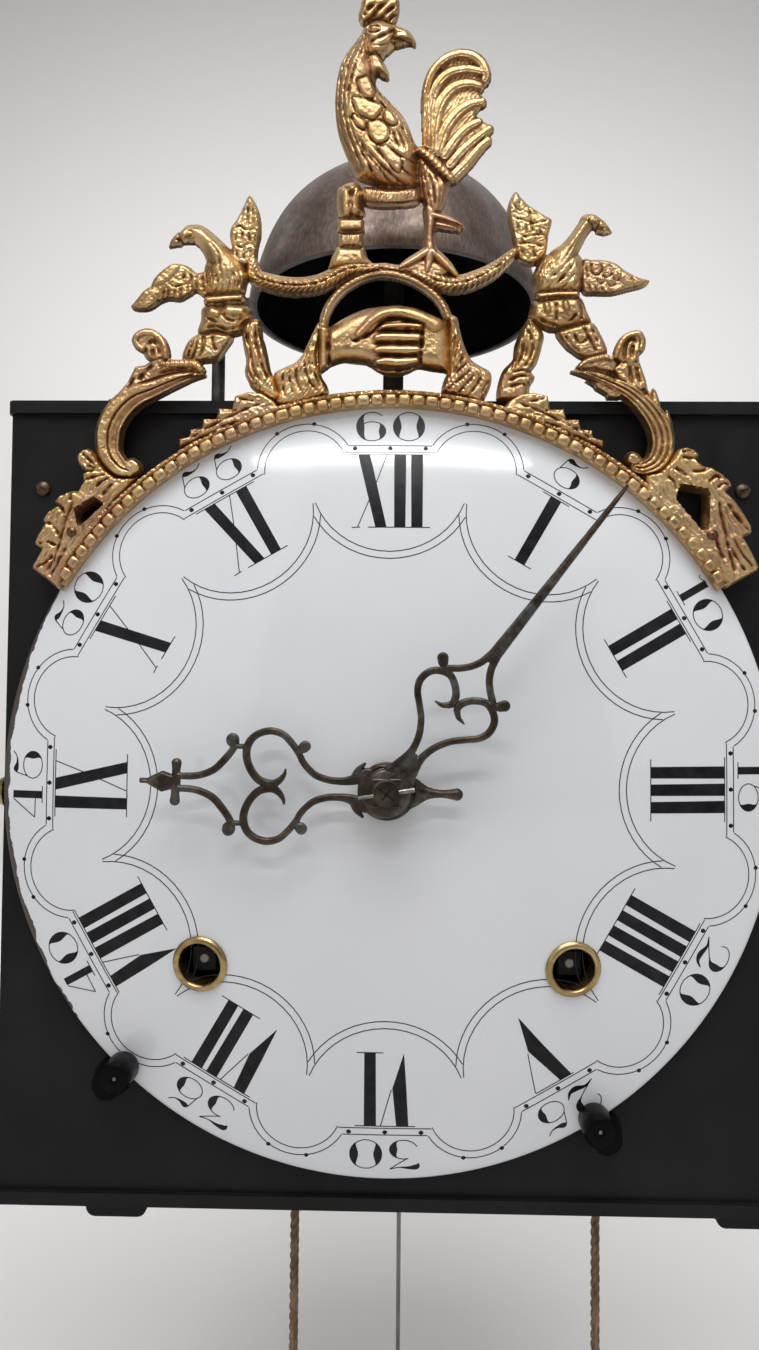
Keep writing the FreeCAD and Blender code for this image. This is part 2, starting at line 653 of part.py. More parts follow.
# Each great wheel turns on its barrel arbor and carries the click for the ratchet
def great_wheel(centre, mate):
    gear = wheel(centre, GREAT_TEETH, GREAT_M, mate, GREAT_Y, GREAT_T)
    gear = gear.fuse(rod_y(centre[0], centre[1], 8.0, GREAT_Y, GREAT_Y + GREAT_T + 4.0))
    gear = gear.removeSplitter()
    return gear.cut(rod_y(centre[0], centre[1], BARREL_ARBOR_R + FIT, GREAT_Y - 1, GREAT_Y + 20))


def click(centre):
    """Pawl on the great wheel's rim, its nose over the ratchet's teeth, with its rivet."""
    x, z = centre
    rim = GREAT_TEETH * GREAT_M / 2.0 - 1.15 * GREAT_M - 3.2
    y1 = GREAT_Y
    y0 = GREAT_Y - RATCHET_T + 0.2
    nose = polar(x, z, RATCHET_R + GAP, math.radians(60))
    tail = polar(x, z, rim + 1.5, math.radians(98))
    side = polar(x, z, RATCHET_R + 4.0, math.radians(62))
    runs = [[nose, polar(x, z, RATCHET_R + 2.5, math.radians(76)), polar(x, z, rim - 2.5, math.radians(94))],
            [polar(x, z, rim - 2.5, math.radians(94)), polar(x, z, rim + 3.0, math.radians(97)),
             polar(x, z, rim + 2.0, math.radians(90)), polar(x, z, RATCHET_R + 8.5, math.radians(76)), side],
            [side, nose]]
    return outline_plate(runs, y0, y1)


parts["going_barrel"] = barrel(GOING)
parts["going_winding"] = winding(GOING)
parts["strike_barrel"] = barrel(STRIKE)
parts["strike_winding"] = winding(STRIKE)
parts["going_great_wheel"] = great_wheel(GOING, SECOND)
parts["going_click"] = click(GOING)
parts["strike_great_wheel"] = great_wheel(STRIKE, PIN_WHEEL)
parts["strike_click"] = click(STRIKE)


# Going train
second = fuse(
    train_arbor(SECOND),
    rod_y(SECOND[0], SECOND[1], ARBOR_R, DRIVE_Y - 2.0, 0),
    pinion(SECOND, LEAVES, GREAT_M, GOING, GREAT_Y - 3, GREAT_Y + GREAT_T + 3),
    wheel(SECOND, SECOND_TEETH, GOING_SECOND_M, THIRD, SECOND_Y, WHEEL_T))
parts["second_wheel"] = second
parts["third_wheel"] = fuse(
    train_arbor(THIRD),
    pinion(THIRD, LEAVES, GOING_SECOND_M, SECOND, SECOND_Y - 3, SECOND_Y + WHEEL_T + 3),
    wheel(THIRD, THIRD_TEETH, THIRD_M, ESCAPE, THIRD_Y, WHEEL_T))


def escape_wheel():
    """Thirty pointed teeth leaning into the motion; a tooth waits off the right pallet."""
    x, z = ESCAPE
    step = 2 * math.pi / ESCAPE_TEETH
    first = math.pi / 2 - PALLET_ANGLE + step / 4 - math.radians(2.0)
    points = []
    for i in range(ESCAPE_TEETH):
        at = first + i * step
        points.append(polar(x, z, ESCAPE_R - 4.2, at - 0.62 * step))
        points.append(polar(x, z, ESCAPE_R, at - 0.07 * step))
        points.append(polar(x, z, ESCAPE_R, at))
        points.append(polar(x, z, ESCAPE_R - 4.2, at - 0.22 * step))
    rim = polygon_plate(points, ESCAPE_Y, ESCAPE_Y + WHEEL_T)
    return rim.cut(crossings(ESCAPE, 5.5, ESCAPE_R - 6.6, 3.0, ESCAPE_Y, ESCAPE_Y + WHEEL_T))


parts["escape_wheel"] = fuse(
    train_arbor(ESCAPE),
    pinion(ESCAPE, LEAVES, THIRD_M, THIRD, THIRD_Y - 3, THIRD_Y + WHEEL_T + 3),
    escape_wheel())


# Anchor: arched arms with two pallets that dip between the teeth by turns
def anchor():
    x, z = ANCHOR
    y0, y1 = ESCAPE_Y - 1.0, ESCAPE_Y + WHEEL_T + 1.0
    arm = ESCAPE_R * math.tan(PALLET_ANGLE)
    tip_r = ESCAPE_R + PALLET_CLEAR
    body = [rod_y(x, z, 5.0, y0, y1)]
    for side in (-1, 1):
        turn = math.pi / 2 - side * PALLET_ANGLE
        lock = polar(ESCAPE[0], ESCAPE[1], tip_r, turn)
        back = polar(ESCAPE[0], ESCAPE[1], tip_r + 0.4, turn + 0.09)
        far = polar(ESCAPE[0], ESCAPE[1], tip_r + 7.0, turn + 0.11)
        near = polar(ESCAPE[0], ESCAPE[1], tip_r + 7.0, turn - 0.01)
        body.append(polygon_plate([lock, back, far, near], y0, y1))
        elbow = polar(ESCAPE[0], ESCAPE[1], tip_r + 5.6, turn + 0.05)
        shoulder = (x + side * arm * 0.55, z - 1.0)
        body.append(stroke([(x, z + 1.0), shoulder, elbow], 4.4, y0, y1))
    return fuse(*body)


parts["anchor"] = fuse(
    anchor(),
    rod_y(ANCHOR[0], ANCHOR[1], ARBOR_R, FRONT_BAR_Y + BAR_T + GAP, REAR_BAR_Y + BAR_T + 3.6),
    rod_y(ANCHOR[0], ANCHOR[1], PIVOT_R, FRONT_BAR_Y, 0))
CRUTCH_Y = REAR_BAR_Y + BAR_T + 1.0
CRUTCH_END = ANCHOR[1] - CRUTCH_L
finger = PEND_R + GAP
crutch = fuse(
    rod_y(ANCHOR[0], ANCHOR[1], 5.0, CRUTCH_Y, CRUTCH_Y + 2.2),
    box(CENTRE_X - 2.4, CENTRE_X + 2.4, CRUTCH_Y, CRUTCH_Y + 2.2, CRUTCH_END, ANCHOR[1] - 3.0),
    box(CENTRE_X - finger - 1.6, CENTRE_X - finger, CRUTCH_Y, PEND_Y + 4, CRUTCH_END - 3, CRUTCH_END + 2),
    box(CENTRE_X + finger, CENTRE_X + finger + 1.6, CRUTCH_Y, PEND_Y + 4, CRUTCH_END - 3, CRUTCH_END + 2),
    box(CENTRE_X - finger - 1.6, CENTRE_X + finger + 1.6, CRUTCH_Y, CRUTCH_Y + 2.2,
        CRUTCH_END - 3, CRUTCH_END + 2))
parts["crutch"] = crutch.cut(rod_y(ANCHOR[0], ANCHOR[1], ARBOR_R, CRUTCH_Y - 1, CRUTCH_Y + 5))

# Suspension: a cock on the rear centre bar with a pin in line with the anchor
COCK_Z = ANCHOR[1] + 9.0
cock_back = PEND_Y + 5.0
cock = fuse(
    box(CENTRE_X - 5, CENTRE_X + 5, REAR_BAR_Y + BAR_T, cock_back + 3, COCK_Z, COCK_Z + 4),
    box(CENTRE_X - 5, CENTRE_X + 5, REAR_BAR_Y + BAR_T, REAR_BAR_Y + BAR_T + 2.5, COCK_Z, COCK_Z + 16),
    box(CENTRE_X - 5, CENTRE_X + 5, cock_back, cock_back + 3, ANCHOR[1] - 5, COCK_Z + 4),
    rod_y(ANCHOR[0], ANCHOR[1], SUSPENSION_R, PEND_Y - 2.2, cock_back))
parts["suspension_cock"] = cock
eye = rod_y(CENTRE_X, ANCHOR[1], EYE_R, PEND_Y - 1.4, PEND_Y + 1.4)
eye = eye.cut(rod_y(CENTRE_X, ANCHOR[1], SUSPENSION_R + FIT, PEND_Y - 2, PEND_Y + 2))
hook_bend = 3.5
pend_path = [(CENTRE_X, PEND_Y, ANCHOR[1] - EYE_R + 0.6), (CENTRE_X, PEND_Y, PEND_END - 10),
             (CENTRE_X + 2 * hook_bend + 0.2, PEND_Y, PEND_END - 10),
             (CENTRE_X + 2 * hook_bend + 0.2, PEND_Y, PEND_END - 3)]
parts["pendulum_rod"] = fuse(eye, bent_wire(pend_path, hook_bend, PEND_R))

# Strike train
pins8 = []
for i in range(PIN_COUNT):
    at = polar(PIN_WHEEL[0], PIN_WHEEL[1], PIN_CIRCLE, math.radians(PIN_START + i * 360.0 / PIN_COUNT))
    pins8.append(rod_y(at[0], at[1], PIN_R, SECOND_Y, SECOND_Y + WHEEL_T + PIN_LEN))
pin_gear = toothed(PIN_WHEEL, SECOND_TEETH, SECOND_TEETH * STRIKE_SECOND_M / 2 - 1.15 * STRIKE_SECOND_M,
                   SECOND_TEETH * STRIKE_SECOND_M / 2 + 0.75 * STRIKE_SECOND_M, 0.5, 0.14,
                   heading(PIN_WHEEL, WARNING), SECOND_Y, SECOND_Y + WHEEL_T)
pin_gear = pin_gear.cut(crossings(PIN_WHEEL, 8.0, PIN_CIRCLE - 3.0, 4.0, SECOND_Y, SECOND_Y + WHEEL_T))
parts["pin_wheel"] = fuse(
    train_arbor(PIN_WHEEL), pin_gear,
    pinion(PIN_WHEEL, LEAVES, GREAT_M, STRIKE, GREAT_Y - 3, GREAT_Y + GREAT_T + 3), *pins8)
parts["warning_wheel"] = fuse(
    train_arbor(WARNING),
    pinion(WARNING, LEAVES, STRIKE_SECOND_M, PIN_WHEEL, SECOND_Y - 3, SECOND_Y + WHEEL_T + 3),
    wheel(WARNING, THIRD_TEETH, THIRD_M, FLY, THIRD_Y, WHEEL_T))
parts["fly"] = fuse(
    train_arbor(FLY),
    pinion(FLY, LEAVES, THIRD_M, WARNING, THIRD_Y - 3, THIRD_Y + WHEEL_T + 3),
    box(FLY[0] - FLY_R, FLY[0] + FLY_R, -8 - FLY_L, -8, FLY[1] - 0.6, FLY[1] + 0.6))

# Hammer: upright arbor with a tail for the pins and an arm with the head beside the bell
TAIL_X = PIN_WHEEL[0] + PIN_CIRCLE * math.cos(math.radians(PIN_START)) - PIN_R - TAIL_GAP
TAIL_Z = PIN_WHEEL[1] + PIN_CIRCLE * math.sin(math.radians(PIN_START))
ARBOR_Z0 = PIN_WHEEL[1] - 4.0
ARM_Z = BELL_Z + HAMMER_HEAD_R
HEAD_TURN = math.radians(173.0)
head_at = polar(0.0, 0.0, BELL_R + BELL_GAP, HEAD_TURN)
head_mid = polar(0.0, 0.0, BELL_R + BELL_GAP + HAMMER_HEAD_L * 0.55, HEAD_TURN)
out_dir = Vector(math.cos(HEAD_TURN), math.sin(HEAD_TURN), 0)
head = Part.makeCylinder(HAMMER_HEAD_R, HAMMER_HEAD_L, Vector(head_at[0], head_at[1], ARM_Z), out_dir)
arm_len = math.hypot(head_mid[0] - HAMMER_X, head_mid[1] - HAMMER_Y)
arm = box(0, arm_len, -1.5, 1.5, ARM_Z - 3, ARM_Z + 3)
arm.rotate(Vector(0, 0, 0), Vector(0, 0, 1),
           math.degrees(math.atan2(head_mid[1] - HAMMER_Y, head_mid[0] - HAMMER_X)))
arm.translate(Vector(HAMMER_X, HAMMER_Y, 0))
tail = box(TAIL_X - 2.5, TAIL_X, SECOND_Y + WHEEL_T + 2.0, HAMMER_Y, TAIL_Z - 8, TAIL_Z + 5)
parts["hammer"] = fuse(
    rod_z(HAMMER_X, HAMMER_Y, HAMMER_R, ARBOR_Z0, ARM_Z + 4),
    rod_z(HAMMER_X, HAMMER_Y, HAMMER_R + 1.5, TAIL_Z - 8, TAIL_Z + 5),
    rod_z(HAMMER_X, HAMMER_Y, PIVOT_R, ARBOR_Z0 - 3, ARBOR_Z0), tail, arm, head)
bracket = box(HAMMER_X - 6, -WIND_X + BAR_W / 2, REAR_BAR_Y + BAR_T, HAMMER_Y + 6,
              ARBOR_Z0 - 3 - GAP, ARBOR_Z0 - GAP)
bracket = fuse(bracket, box(-WIND_X - BAR_W / 2, -WIND_X + BAR_W / 2, REAR_BAR_Y + BAR_T,
                            REAR_BAR_Y + BAR_T + 3, ARBOR_Z0 - 16, ARBOR_Z0 - GAP))
parts["hammer_bracket"] = bracket.cut(rod_z(HAMMER_X, HAMMER_Y, PIVOT_R + FIT, ARBOR_Z0 - 5, ARBOR_Z0 + 1))

# Motion work between the front bars and the panel
drive = wheel(SECOND, DRIVE_TEETH, DRIVE_M, HUB, DRIVE_Y, MOTION_T)
parts["drive_wheel"] = drive.cut(rod_y(SECOND[0], SECOND[1], ARBOR_R + FIT, DRIVE_Y - 1, DRIVE_Y + 5))
cannon = toothed(HUB, DRIVE_TEETH, DRIVE_TEETH * DRIVE_M / 2 - 1.15 * DRIVE_M,
                 DRIVE_TEETH * DRIVE_M / 2 + 0.75 * DRIVE_M, 0.5, 0.14,
                 heading(HUB, SECOND) + math.pi / DRIVE_TEETH, DRIVE_Y, DRIVE_Y + MOTION_T)
cannon = cannon.cut(crossings(HUB, 8.0, DRIVE_TEETH * DRIVE_M / 2 - 1.15 * DRIVE_M - 3.2, 4.0,
                              DRIVE_Y, DRIVE_Y + MOTION_T))
parts["cannon_wheel"] = cannon.cut(rod_y(HUB[0], HUB[1], MINUTE_R, DRIVE_Y - 1, DRIVE_Y + 5))
motion = fuse(wheel(MOTION, MOTION_TEETH, MOTION_M, HUB, MOTION_Y, MOTION_T),
              pinion(MOTION, MOTION_LEAVES, HOUR_M, HUB, HOUR_Y - 0.5, MOTION_Y + 0.2))
parts["motion_wheel"] = motion.cut(rod_y(MOTION[0], MOTION[1], ARBOR_R + FIT, HOUR_Y - 5, FRONT_BAR_Y))
COLLET_Y = MINUTE_HAND_Y - HAND_T
ARBOR_END = COLLET_Y - 4.2
minute_arbor = fuse(
    rod_y(HUB[0], HUB[1], MINUTE_R, ARBOR_END, FRONT_BAR_Y + BAR_T + 2.0),
    rod_y(HUB[0], HUB[1], 6.0, DRIVE_Y + MOTION_T, FRONT_BAR_Y - 0.5),
    pinion(HUB, CANNON_LEAVES, MOTION_M, MOTION, MOTION_Y - 0.5, MOTION_Y + MOTION_T + 0.5))
PIN_SLOPE = math.radians(9.0)
HAND_PIN_R = 0.7
pin_reach = 8.0
pin_dir = Vector(math.cos(PIN_SLOPE), 0, math.sin(PIN_SLOPE))
pin_mid = Vector(HUB[0], COLLET_Y - 1.5 - HAND_PIN_R - FIT, HUB[1])
hand_pin = Part.makeCone(HAND_PIN_R * 0.7, HAND_PIN_R, 2 * pin_reach, pin_mid - pin_dir * pin_reach, pin_dir)
parts["hand_pin"] = hand_pin
parts["minute_arbor"] = minute_arbor.cut(
    Part.makeCylinder(HAND_PIN_R + FIT, 4 * pin_reach, pin_mid - pin_dir * 2 * pin_reach, pin_dir))
hour = fuse(wheel(HUB, HOUR_TEETH, HOUR_M, MOTION, HOUR_Y, MOTION_T),
            rod_y(HUB[0], HUB[1], PIPE_R, HOUR_HAND_Y - HAND_T, HOUR_Y + MOTION_T + 1.0))
parts["hour_wheel"] = hour.cut(rod_y(HUB[0], HUB[1], MINUTE_R + FIT, HOUR_HAND_Y - 10, HOUR_Y + 10))


# Hands: wrought strokes drawn along +X from the hub, mirrored about their own line, then turned
def hand_outline(runs, y0, y1):
    return outline_plate([[(u * DIAL_R / 100.0, v * DIAL_R / 100.0) for u, v in run] for run in runs], y0, y1)


def hand_polygon(points, y0, y1):
    return polygon_plate([(u * DIAL_R / 100.0, v * DIAL_R / 100.0) for u, v in points], y0, y1)


def hand_dot(u, v, r, y0, y1):
    return rod_y(u * DIAL_R / 100.0, v * DIAL_R / 100.0, r, y0, y1)


def hand(arms, dots, middle, y0, y1, time, bore):
    pieces = list(middle)
    for points, width in arms:
        for side in (1, -1):
            line = [(u * DIAL_R / 100.0, side * v * DIAL_R / 100.0) for u, v in points]
            pieces.append(stroke(line, width, y0, y1))
    for u, v, r in dots:
        pieces.append(hand_dot(u, v, r, y0, y1))
        pieces.append(hand_dot(u, -v, r, y0, y1))
    flat = fuse(*pieces).cut(rod_y(0, 0, bore, y0 - 1, y1 + 1))
    flat.rotate(Vector(0, 0, 0), Vector(0, 1, 0), -time)
    flat.translate(Vector(HUB[0], 0, HUB[1]))
    return flat


S = HAND_STROKE
hour_y0, hour_y1 = HOUR_HAND_Y - HAND_T, HOUR_HAND_Y
hour_arms = [
    ([(50.50, 1.46), (45.75, 1.71), (41.83, 3.21), (39.17, 5.88), (37.08, 8.79), (37.42, 10.54)], S),
    ([(37.08, 9.10), (34.10, 9.10)], S),
    ([(24.67, 3.88), (25.50, 1.75), (27.67, 0.33), (30.83, 1.25), (33.17, 4.08), (34.08, 7.38),
      (33.50, 10.25), (31.58, 12.33), (28.50, 13.29), (25.42, 12.58), (23.17, 10.50), (21.33, 8.08),
      (20.17, 5.75), (17.50, 3.29), (14.17, 2.13), (10.67, 1.88), (5.00, 3.00)], S),
    ([(21.60, 8.40), (20.17, 9.67)], S),
]
hour_dots = [(37.42, 10.54, 1.9), (20.17, 9.67, 1.7)]
spade = hand_outline([[(49.60, 1.25), (51.67, 1.85), (54.00, 2.54), (57.58, 0.62), (59.40, 0.58)],
                       [(59.40, 0.58), (59.40, -0.58)],
                       [(59.40, -0.58), (57.58, -0.62), (54.00, -2.54), (51.67, -1.85), (49.60, -1.25)],
                       [(49.60, -1.25), (49.60, 1.25)]], hour_y0, hour_y1)
crossbar = fuse(hand_polygon([(49.75, -4.42), (51.58, -4.42), (51.58, 4.42), (49.75, 4.42)],
                             hour_y0, hour_y1),
                hand_dot(50.67, 4.42, 1.4, hour_y0, hour_y1), hand_dot(50.67, -4.42, 1.4, hour_y0, hour_y1))
hour_tail = hand_outline([[(-3.33, 4.67), (-7.50, 2.67), (-11.67, 0.92), (-16.67, 1.33)],
                           [(-16.67, 1.33), (-16.67, -1.33)],
                           [(-16.67, -1.33), (-11.67, -0.92), (-7.50, -2.67), (-3.33, -4.67)],
                           [(-3.33, -4.67), (-3.33, 4.67)]], hour_y0, hour_y1)
hour_middle = [rod_y(0, 0, HUB_R, hour_y0, hour_y1), spade, crossbar, hour_tail,
               hand_dot(-16.67, 0, 2.0, hour_y0, hour_y1)]
parts["hour_hand"] = hand(hour_arms, hour_dots, hour_middle, hour_y0, hour_y1, HOUR_TIME, PIPE_R)

minute_y0, minute_y1 = MINUTE_HAND_Y - HAND_T, MINUTE_HAND_Y
minute_arms = [
    ([(3.33, 1.60), (9.58, 1.42), (12.17, 1.42), (15.42, 2.38), (18.63, 4.33), (21.08, 6.75),
      (23.33, 9.21), (25.92, 10.25), (28.67, 9.71), (30.42, 7.83), (31.04, 5.33), (29.83, 2.96),
      (27.75, 1.13), (25.75, 0.70), (24.29, 2.21), (23.96, 4.17)], S),
    ([(30.80, 7.20), (33.33, 4.83), (35.42, 2.83), (38.00, 1.50), (43.33, 1.00)], S),
    ([(31.00, 7.10), (32.58, 8.83)], S),
]
minute_dots = [(32.58, 8.83, 1.6)]
pointer = hand_polygon([(41.67, -1.67), (50.00, -1.08), (91.67, -0.67), (92.50, 0.00), (91.67, 0.67),
                         (50.00, 1.08), (41.67, 1.67)], minute_y0, minute_y1)
minute_middle = [rod_y(0, 0, HUB_R - 1.4, minute_y0, minute_y1), pointer]
parts["minute_hand"] = hand(minute_arms, minute_dots, minute_middle, minute_y0, minute_y1,
                            MINUTE_TIME, MINUTE_R)

# Collet under the pin: a stepped washer
collet = around_y([(MINUTE_R, COLLET_Y), (6.0, COLLET_Y), (5.4, COLLET_Y - 1.5), (MINUTE_R, COLLET_Y - 1.5)],
                  HUB[0], HUB[1])
parts["hand_collet"] = collet

# Ropes: straight runs from the barrels to their hooks, and the hooks
for name, centre in (("strike", STRIKE), ("going", GOING)):
    x = centre[0] + ROPE_RUN
    parts[name + "_rope"] = rod_z(x, ROPE_Y, ROPE_D / 2, ROPE_END, centre[1])
    eye_z = ROPE_END - 4.0
    loop = Part.makeTorus(2.6 + HOOK_R, HOOK_R, Vector(x, ROPE_Y, ROPE_END - 2.6 - 2 * HOOK_R),
                          Vector(0, 1, 0))
    low = ROPE_END - 5.2 - 3 * HOOK_R
    width = 2 * HOOK_BEND + 0.4
    shank = bent_wire([(x, ROPE_Y, low), (x, ROPE_Y, low - 16), (x + width, ROPE_Y, low - 16),
                       (x + width, ROPE_Y, low - 7)], HOOK_BEND, HOOK_R)
    parts[name + "_hook"] = fuse(loop, shank)

# Bell: cast dome on a forged post with a flared foot
CROWN_R = 9.0


def bell_section(inset):
    """Section of the dome from lip to axis: two arcs and the flat crown, set inward and down."""
    lip = Vector(BELL_R - inset, 0, BELL_Z)
    low = Vector(BELL_R - 1.9 - inset, 0, BELL_Z + 0.17 * BELL_H)
    waist = Vector(BELL_R - 7.4 - inset, 0, BELL_Z + 0.45 * BELL_H)
    high = Vector(BELL_R - 26.0 - inset * 0.6, 0, BELL_Z + 0.83 * BELL_H - inset * 0.8)
    crown = Vector(CROWN_R, 0, BELL_Z + BELL_H - inset)
    centre = Vector(0, 0, crown.z)
    edges = [Part.Arc(lip, low, waist).toShape(), Part.Arc(waist, high, crown).toShape(),
             Part.makeLine(crown, centre)]
    return edges, lip, centre


skin, skin_lip, skin_top = bell_section(0.0)
inside, inside_lip, inside_top = bell_section(BELL_T)
section = Part.Wire(skin + [Part.makeLine(skin_top, inside_top)] + inside[::-1]
                    + [Part.makeLine(inside_lip, skin_lip)])
bell = Part.Face(section).revolve(Vector(0, 0, 0), Vector(0, 0, 1), 360)
bell_top = BELL_Z + BELL_H
parts["bell"] = bell.cut(rod_z(0, 0, BELL_SCREW_R + FIT, BELL_Z, bell_top + 5))
foot = STAND_FOOT / 2
post = POST_S / 2
flare_h = 18.0


def square_ring(half, z):
    return Part.makePolygon([Vector(-half, -half, z), Vector(half, -half, z), Vector(half, half, z),
                             Vector(-half, half, z), Vector(-half, -half, z)])


flare = Part.makeLoft([square_ring(foot, Z_TOP + 2.0), square_ring(foot * 0.62, Z_TOP + 7.0),
                       square_ring(post, Z_TOP + flare_h)], True, True)
SEAT_Z = bell_top - BELL_T - FIT
parts["bell_stand"] = fuse(
    box(-foot, foot, -foot, foot, Z_TOP, Z_TOP + 2.0), flare,
    box(-post, post, -post, post, Z_TOP + flare_h, SEAT_Z - 3.0),
    rod_z(0, 0, POST_S * 0.8, SEAT_Z - 3.0, SEAT_Z),
    rod_z(0, 0, BELL_SCREW_R, SEAT_Z, bell_top + BELL_NUT_H + 1.5))
nut_w = 2.0 * BELL_SCREW_R
nut = box(-nut_w, nut_w, -nut_w, nut_w, bell_top, bell_top + BELL_NUT_H)
parts["bell_nut"] = nut.cut(rod_z(0, 0, BELL_SCREW_R + FIT, bell_top, bell_top + BELL_NUT_H))

# Fronton: cast brass, its back in the plane of the lip
CAST_Y1 = LIP_Y
CAST_Y0 = LIP_Y - CAST_T
BAND_Y0 = RIM_Y - 0.7 - BAND_T
RELIEF_Y = (CAST_Y0 + CAST_Y1) / 2.0
band_section = [(BAND_IN, RIM_Y - 0.7), (BAND_IN, BAND_Y0 + 1.6), (BAND_IN + 1.6, BAND_Y0),
                (BAND_OUT - 1.6, BAND_Y0), (BAND_OUT, BAND_Y0 + 1.6), (BAND_OUT, CAST_Y1),
                (DIAL_R + 0.5, CAST_Y1), (DIAL_R + 0.5, RIM_Y - 0.7)]
band_wire = Part.makePolygon([Vector(HUB[0], y, HUB[1] + r) for r, y in band_section + band_section[:1]])
band = Part.Face(band_wire).revolve(Vector(HUB[0], 0, HUB[1]), Vector(0, 1, 0), 2 * BAND_HALF)
band.rotate(Vector(HUB[0], 0, HUB[1]), Vector(0, 1, 0), -BAND_HALF)

LEAF = [[(-86.17, 50.50), (-91.83, 55.00)], [(-91.83, 55.00), (-90.17, 58.33), (-90.50, 62.17)],
        [(-90.50, 62.17), (-88.17, 65.17), (-88.00, 68.83)], [(-88.00, 68.83), (-85.67, 71.33),
        (-84.83, 74.33)], [(-84.83, 74.33), (-81.33, 76.33), (-79.67, 79.17)], [(-79.67, 79.17),
        (-81.00, 82.50), (-78.83, 85.67), (-75.33, 85.17)], [(-75.33, 85.17), (-71.67, 80.33),
        (-66.67, 75.83), (-73.33, 67.50), (-80.83, 57.50), (-86.17, 50.50)]]
WINDOW = [(-79.33, 69.17), (-77.67, 72.00), (-74.33, 72.33), (-74.83, 69.33), (-78.17, 66.33)]
SPRIG = [[(-53.17, 87.83), (-50.00, 93.00), (-45.00, 95.83), (-40.00, 99.67), (-35.00, 100.83)],
         [(-35.00, 100.83), (-30.00, 95.83)], [(-30.00, 95.83), (-41.67, 92.17), (-53.17, 87.83)]]


def both_sides(shape):
    return [shape, mirror_x(shape, HUB[0])]


nail_boss = rod_y(nail_places[0][0], nail_places[0][1], 3.0, LIP_Y, FRONT_Y)
leaf = cast_plate(LEAF, CAST_Y0 + 1.5, CAST_Y1).cut(cast_round(WINDOW, CAST_Y0, CAST_Y1 + 1))
leaf = leaf.cut(rod_y(HUB[0], HUB[1], DIAL_R + 0.5, CAST_Y0 - 9, FRONT_Y))
sprig = cast_plate(SPRIG, CAST_Y0 + 1.5, CAST_Y1)
sprig = sprig.cut(rod_y(HUB[0], HUB[1], DIAL_R + 0.5, CAST_Y0 - 9, FRONT_Y))
nail_holes = [rod_y(x, z, NAIL_R + FIT, CAST_Y0 - 9, FRONT_Y) for x, z in nail_places]
band = fuse(band, *(both_sides(leaf) + both_sides(sprig) + both_sides(nail_boss)))
band = band.cut(Part.makeCompound(nail_holes))
parts["fronton_band"] = band
nails = []
for x, z in nail_places:
    nails.append(fuse(rod_y(x, z, NAIL_HEAD_R, CAST_Y0 + 0.5, CAST_Y0 + 1.5),
                      rod_y(x, z, NAIL_R, CAST_Y0 + 1.0, FRONT_Y + SHEET_T)))
parts["fronton_nails"] = Part.makeCompound(nails)

SCROLL = [(-66.33, 78.00), (-70.83, 78.83), (-74.50, 81.83), (-76.50, 86.67), (-76.50, 92.50),
          (-74.67, 97.50), (-71.33, 102.50), (-67.83, 106.67), (-66.17, 109.67), (-60.00, 109.00),
          (-55.00, 110.00), (-50.00, 109.67), (-48.17, 107.33), (-48.67, 104.83), (-53.33, 103.33),
          (-58.33, 101.17), (-63.33, 97.83), (-67.00, 93.83), (-68.50, 90.00), (-68.17, 86.67),
          (-65.83, 84.33), (-63.83, 82.17), (-63.83, 79.50)]
CURL = [(-67.00, 113.83), (-65.67, 116.83), (-62.83, 117.83), (-59.50, 116.33), (-57.67, 112.83),
        (-57.33, 109.33), (-60.83, 108.00), (-65.33, 108.33), (-64.17, 111.83), (-65.50, 112.50)]
BIRD = [[(-58.00, 140.33), (-55.00, 143.17), (-52.17, 145.50), (-48.67, 145.00), (-45.33, 142.00),
        (-42.50, 138.00)], [(-42.50, 138.00), (-38.33, 135.50), (-36.67, 130.83), (-38.33, 125.50)],
        [(-38.33, 125.50), (-36.67, 122.50), (-36.83, 117.83)], [(-36.83, 117.83), (-49.33, 117.83)],
        [(-49.33, 117.83), (-49.17, 122.00), (-47.50, 125.50)], [(-47.50, 125.50), (-50.17, 129.17),
        (-49.33, 135.00)], [(-49.33, 135.00), (-50.33, 138.83), (-53.00, 140.67), (-58.00, 140.33)]]
LOW_WING = [[(-47.92, 133.33), (-51.67, 134.67), (-55.83, 135.33), (-59.17, 133.67), (-62.50, 129.67),
            (-67.50, 124.67)], [(-67.50, 124.67), (-66.33, 123.33), (-61.67, 124.67), (-55.83, 126.17),
            (-47.92, 127.50)], [(-47.92, 127.50), (-47.92, 133.33)]]
HIGH_WING = [[(-37.50, 152.83), (-40.33, 147.50), (-41.83, 143.00), (-41.17, 135.83)],
             [(-41.17, 135.83), (-35.50, 135.00)], [(-35.50, 135.00), (-34.17, 140.00),
             (-34.33, 145.00), (-37.50, 152.83)]]
OUTER_LEG = [[(-49.17, 119.17), (-49.67, 116.33), (-52.67, 113.67), (-54.00, 108.33)],
             [(-54.00, 108.33), (-47.00, 108.00)], [(-47.00, 108.00), (-43.83, 112.83),
             (-40.50, 117.17)], [(-40.50, 117.17), (-40.50, 119.17)], [(-40.50, 119.17),
             (-49.17, 119.17)]]
INNER_LEG = [[(-39.50, 120.33), (-38.67, 114.17), (-38.00, 107.50), (-36.83, 102.17), (-39.50, 97.50)],
             [(-39.50, 97.50), (-27.50, 97.50)], [(-27.50, 97.50), (-29.33, 105.50), (-31.17, 109.17),
             (-32.67, 115.00), (-33.83, 120.33)], [(-33.83, 120.33), (-39.50, 120.33)]]


